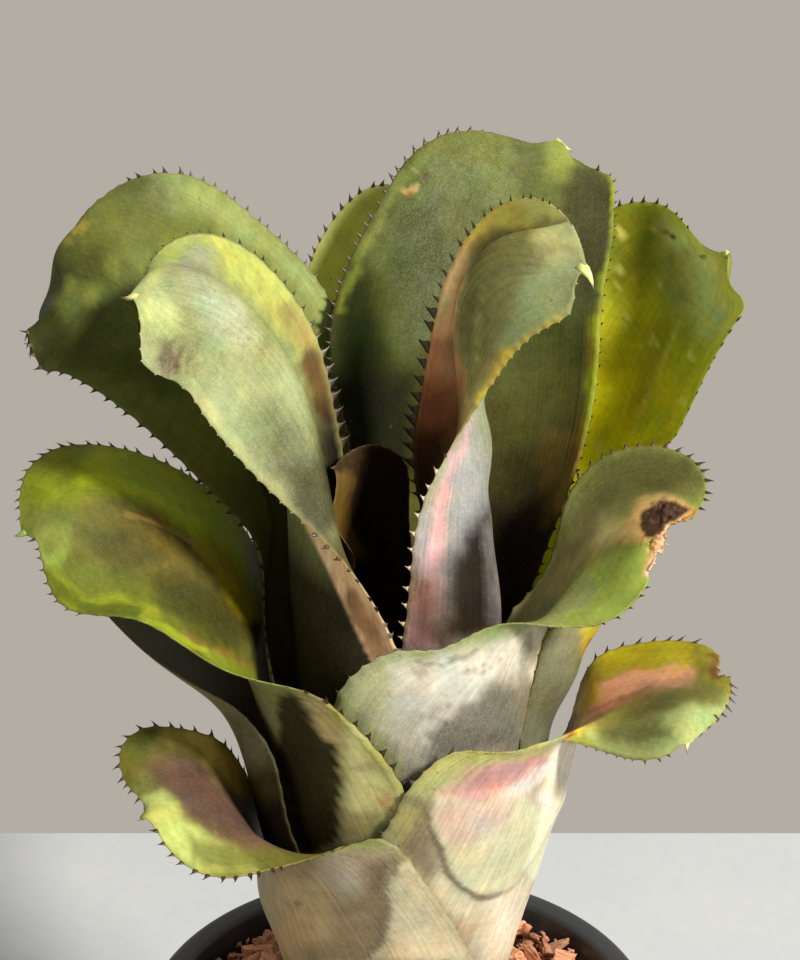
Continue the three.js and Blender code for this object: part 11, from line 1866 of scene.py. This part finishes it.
for j in range(len(bed_ring) - 1):
    for k in range(SEG):
        k2 = (k + 1) % SEG
        bed_f.append((j * SEG + k, j * SEG + k2, (j + 1) * SEG + k2, (j + 1) * SEG + k))
low_c, top_c = len(bed_v), len(bed_v) + 1
bed_v = np.concatenate([bed_v, [[0, 0, 3.2], [0, 0, 61.3]]])
last = (len(bed_ring) - 1) * SEG
bed_f += [(k, low_c, (k + 1) % SEG) for k in range(SEG)]
bed_f += [(last + k, last + (k + 1) % SEG, top_c) for k in range(SEG)]
bed_o = mesh_object("bark_bed", bed_v, [tuple(x) for x in bed_f])
set_colours(bed_o, "paint", np.ones((len(bed_v), 3)))
set_vector(bed_o, "fibre", bed_v * 0.5)
bed_o.data.materials.append(SOIL)
tidy(bed_o)
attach(bed_o, "root")
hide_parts("bark_substrate")

lower = heap("bark_chips_lower", 520, 35, 64, lambda rad, a, r: r.uniform(115.0, 117.6), ((5, 12), (3, 6.5), (1.8, 3.8)), 61)
upper = heap("bark_chips_upper", 330, 37, 62, lambda rad, a, r: r.uniform(117.6, 121.4), ((5, 13), (2.6, 6.0), (1.8, 3.6)), 62, 34)
crumbs = heap("bark_crumbs", 420, 35, 65, lambda rad, a, r: r.uniform(117.0, 120.0), ((1.6, 4), (1.0, 2.2), (0.7, 1.6)), 63, 50)
for o_ in (lower, upper, crumbs):
    o_.data.materials.append(BARK)
    tidy(o_)
    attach(o_, "root")

# the loose chips that the frame names, one piece each
for k in range(1, 16):
    node = "bark_chip_%02d" % k
    lo_, hi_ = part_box(node)
    c_ = (np.array(lo_) + np.array(hi_)) / 2 / MM
    d_ = (np.array(hi_) - np.array(lo_)) / MM
    r_ = np.random.default_rng(900 + k)
    cad_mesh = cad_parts[node].data
    pts_ = np.zeros(len(cad_mesh.vertices) * 3)
    cad_mesh.vertices.foreach_get("co", pts_)
    pts_ = pts_.reshape(-1, 3) / MM - c_
    u_, s_, vt_ = np.linalg.svd(pts_ - pts_.mean(0), full_matrices=False)
    ext_ = np.ptp(pts_ @ vt_.T, axis=0)
    if np.linalg.det(vt_) < 0:
        vt_[2] *= -1
    v_, f_ = chip_shape(r_, ext_[0] * 0.98, ext_[1] * 0.98, max(ext_[2], 2.2), steps=3)
    w_ = v_ @ vt_
    w_ = np.clip(w_, -d_ / 2 - 0.4, d_ / 2 + 0.4) + c_
    o_ = mesh_object("bark_shard_%02d" % k, w_, f_, smooth_shade=False)
    tone_ = r_.uniform(0.8, 1.35)
    set_colours(o_, "paint", np.tile([tone_ * 1.03, tone_, tone_ * 0.97], (len(v_), 1)))
    set_vector(o_, "fibre", v_ * np.array([0.25, 1.5, 1.5]) + r_.uniform(0, 100, 3))
    o_.data.materials.append(BARK)
    tidy(o_)
    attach(o_, "root")
    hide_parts(node)


# fine fibres that curl out of the bark
def tube(points, radius, sides=5, taper=0.25):
    p = np.asarray(points, float)
    tan = np.gradient(p, axis=0)
    tan /= np.linalg.norm(tan, axis=1, keepdims=True)
    ref = np.array([0.3, 0.2, 1.0])
    vs = []
    for k in range(len(p)):
        a = np.cross(tan[k], ref)
        a /= np.linalg.norm(a)
        b = np.cross(tan[k], a)
        f = k / (len(p) - 1)
        rr = radius * (1 - (1 - taper) * abs(2 * f - 1) ** 3)
        for q in range(sides):
            al = 2 * math.pi * q / sides
            vs.append(p[k] + (a * math.cos(al) + b * math.sin(al)) * rr)
    fs = []
    for k in range(len(p) - 1):
        for q in range(sides):
            q2 = (q + 1) % sides
            fs.append((k * sides + q, k * sides + q2, (k + 1) * sides + q2, (k + 1) * sides + q))
    fs.append(tuple(range(sides - 1, -1, -1)))
    fs.append(tuple((len(p) - 1) * sides + q for q in range(sides)))
    return np.array(vs), fs


rf = np.random.default_rng(77)
fv, ff, start = [], [], 0
for k in range(150):
    a = rf.uniform(0, 2 * math.pi)
    rad = rf.uniform(38, 62)
    length = rf.uniform(6, 20)
    yaw = rf.uniform(0, 2 * math.pi)
    t = np.linspace(0, 1, 12)
    bend = rf.normal(0, 1.6)
    dirs = np.stack([np.cos(yaw + bend * t), np.sin(yaw + bend * t), np.zeros(12)], -1)
    path = np.cumsum(dirs, axis=0) * length / 12
    path[:, 2] = 1.8 * np.sin(math.pi * t) * rf.uniform(0.2, 1.3)
    path += np.array([rad * math.cos(a), rad * math.sin(a), rf.uniform(115.6, 118.4)])
    rr = np.hypot(path[:, 0], path[:, 1])
    path[:, :2] *= (np.clip(rr, 35.5, 65.4) / rr)[:, None]
    v_, f_ = tube(path, rf.uniform(0.12, 0.28))
    fv.append(v_)
    ff += [tuple(i + start for i in q) for q in f_]
    start += len(v_)
fib = mesh_object("bark_fibres", np.concatenate(fv), ff)
tone = rf.uniform(0.7, 1.5, len(np.concatenate(fv)))[:, None] * np.array([1.0, 0.95, 0.9])
set_colours(fib, "paint", tone)
set_vector(fib, "fibre", np.concatenate(fv))
fib.data.materials.append(BARK)
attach(fib, "root")


# the buried stem keeps its frame shape, with a fibrous woody finish
def stem_material():
    m, nt, out = node_tree("stem_wood_fibrous")
    g = Graph(nt)
    ob = g.coords("Object")
    fibre = g.noise(g.scaled(ob, (900, 900, 90)), 1.0, 4.0, 0.6, 0.5)
    blot = g.noise(ob, 130.0, 3.0)
    base = g.ramp(g.math("MULTIPLY_ADD", fibre, 0.7, g.math("MULTIPLY", blot, 0.3)), [(0.35, (0.05, 0.032, 0.018)), (0.55, (0.17, 0.115, 0.07)), (0.75, (0.33, 0.25, 0.17))])
    p = g.node("ShaderNodeBsdfPrincipled", Base_Color=base, Roughness=g.math("MULTIPLY_ADD", blot, 0.15, 0.78), Normal=g.bump(fibre, 0.6, 0.0008))
    nt.links.new(p.outputs[0], out.inputs["Surface"])
    return m


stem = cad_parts["stem_with_roots"]
stem.data.materials.clear()
stem.data.materials.append(stem_material())


# ---------------------------------------------------------------- floor, backdrop light, lamps
def floor_material():
    m, nt, out = node_tree("table_pale")
    g = Graph(nt)
    ob = g.coords("Object")
    cloud = g.noise(ob, 9.0, 5.0, 0.6)
    fine = g.noise(ob, 160.0, 3.0, 0.6)
    v = g.math("MULTIPLY_ADD", cloud, 0.5, g.math("MULTIPLY", fine, 0.25))
    base = g.ramp(v, [(0.25, (0.47, 0.49, 0.505)), (0.5, (0.53, 0.545, 0.55))])
    p = g.node("ShaderNodeBsdfPrincipled", Base_Color=base, Roughness=g.math("MULTIPLY_ADD", cloud, 0.15, 0.5), Normal=g.bump(v, 0.12, 0.001))
    nt.links.new(p.outputs[0], out.inputs["Surface"])
    return m


fx, fy0, fy1, fz = 1500.0, -1600.0, 327.0, -22.0
fvv = [(-fx, fy0, 0), (fx, fy0, 0), (fx, fy1, 0), (-fx, fy1, 0), (-fx, fy0, fz), (fx, fy0, fz), (fx, fy1, fz), (-fx, fy1, fz)]
fff = [(0, 1, 2, 3), (7, 6, 5, 4), (0, 4, 5, 1), (1, 5, 6, 2), (2, 6, 7, 3), (3, 7, 4, 0)]
floor = mesh_object("table_floor", fvv, fff, smooth_shade=False)
floor.data.materials.append(floor_material())

scene = bpy.context.scene
scene.view_settings.view_transform = "Standard"
scene.view_settings.look = "None"
world = bpy.data.worlds.new("studio")
scene.world = world
world.use_nodes = True
wn = world.node_tree
wn.nodes.clear()
wo = wn.nodes.new("ShaderNodeOutputWorld")
fill = wn.nodes.new("ShaderNodeBackground")
fill.inputs["Color"].default_value = (*lin((226, 222, 214)), 1)
fill.inputs["Strength"].default_value = 0.56
wall = wn.nodes.new("ShaderNodeBackground")
wall.inputs["Color"].default_value = (*lin((180, 173, 164)), 1)
wall.inputs["Strength"].default_value = 1.0
path = wn.nodes.new("ShaderNodeLightPath")
wm = wn.nodes.new("ShaderNodeMixShader")
wn.links.new(path.outputs["Is Camera Ray"], wm.inputs[0])
wn.links.new(fill.outputs[0], wm.inputs[1])
wn.links.new(wall.outputs[0], wm.inputs[2])
wn.links.new(wm.outputs[0], wo.inputs["Surface"])


def lamp(name, at, aim, size, power, colour=(1, 1, 1)):
    d = bpy.data.lights.new(name, "AREA")
    d.shape = "DISK"
    d.size = size
    d.energy = power
    d.color = colour
    o = link(bpy.data.objects.new(name, d))
    o.location = at
    from mathutils import Vector
    o.rotation_euler = (Vector(aim) - Vector(at)).to_track_quat("-Z", "Y").to_euler()
    return o


KEY_AZ, KEY_EL, KEY_DIST = -44.0, 36.0, 2.4
ka, ke = math.radians(KEY_AZ), math.radians(KEY_EL)
aim = (0.0, 0.0, 0.22)
key_at = (aim[0] + KEY_DIST * math.cos(ke) * math.cos(ka), aim[1] + KEY_DIST * math.cos(ke) * math.sin(ka), aim[2] + KEY_DIST * math.sin(ke))
lamp("key", key_at, aim, 0.42, 114.0, (1.0, 0.965, 0.91))
lamp("fill", (-1.6, -1.3, 0.9), aim, 1.4, 7.0, (0.96, 0.98, 1.0))
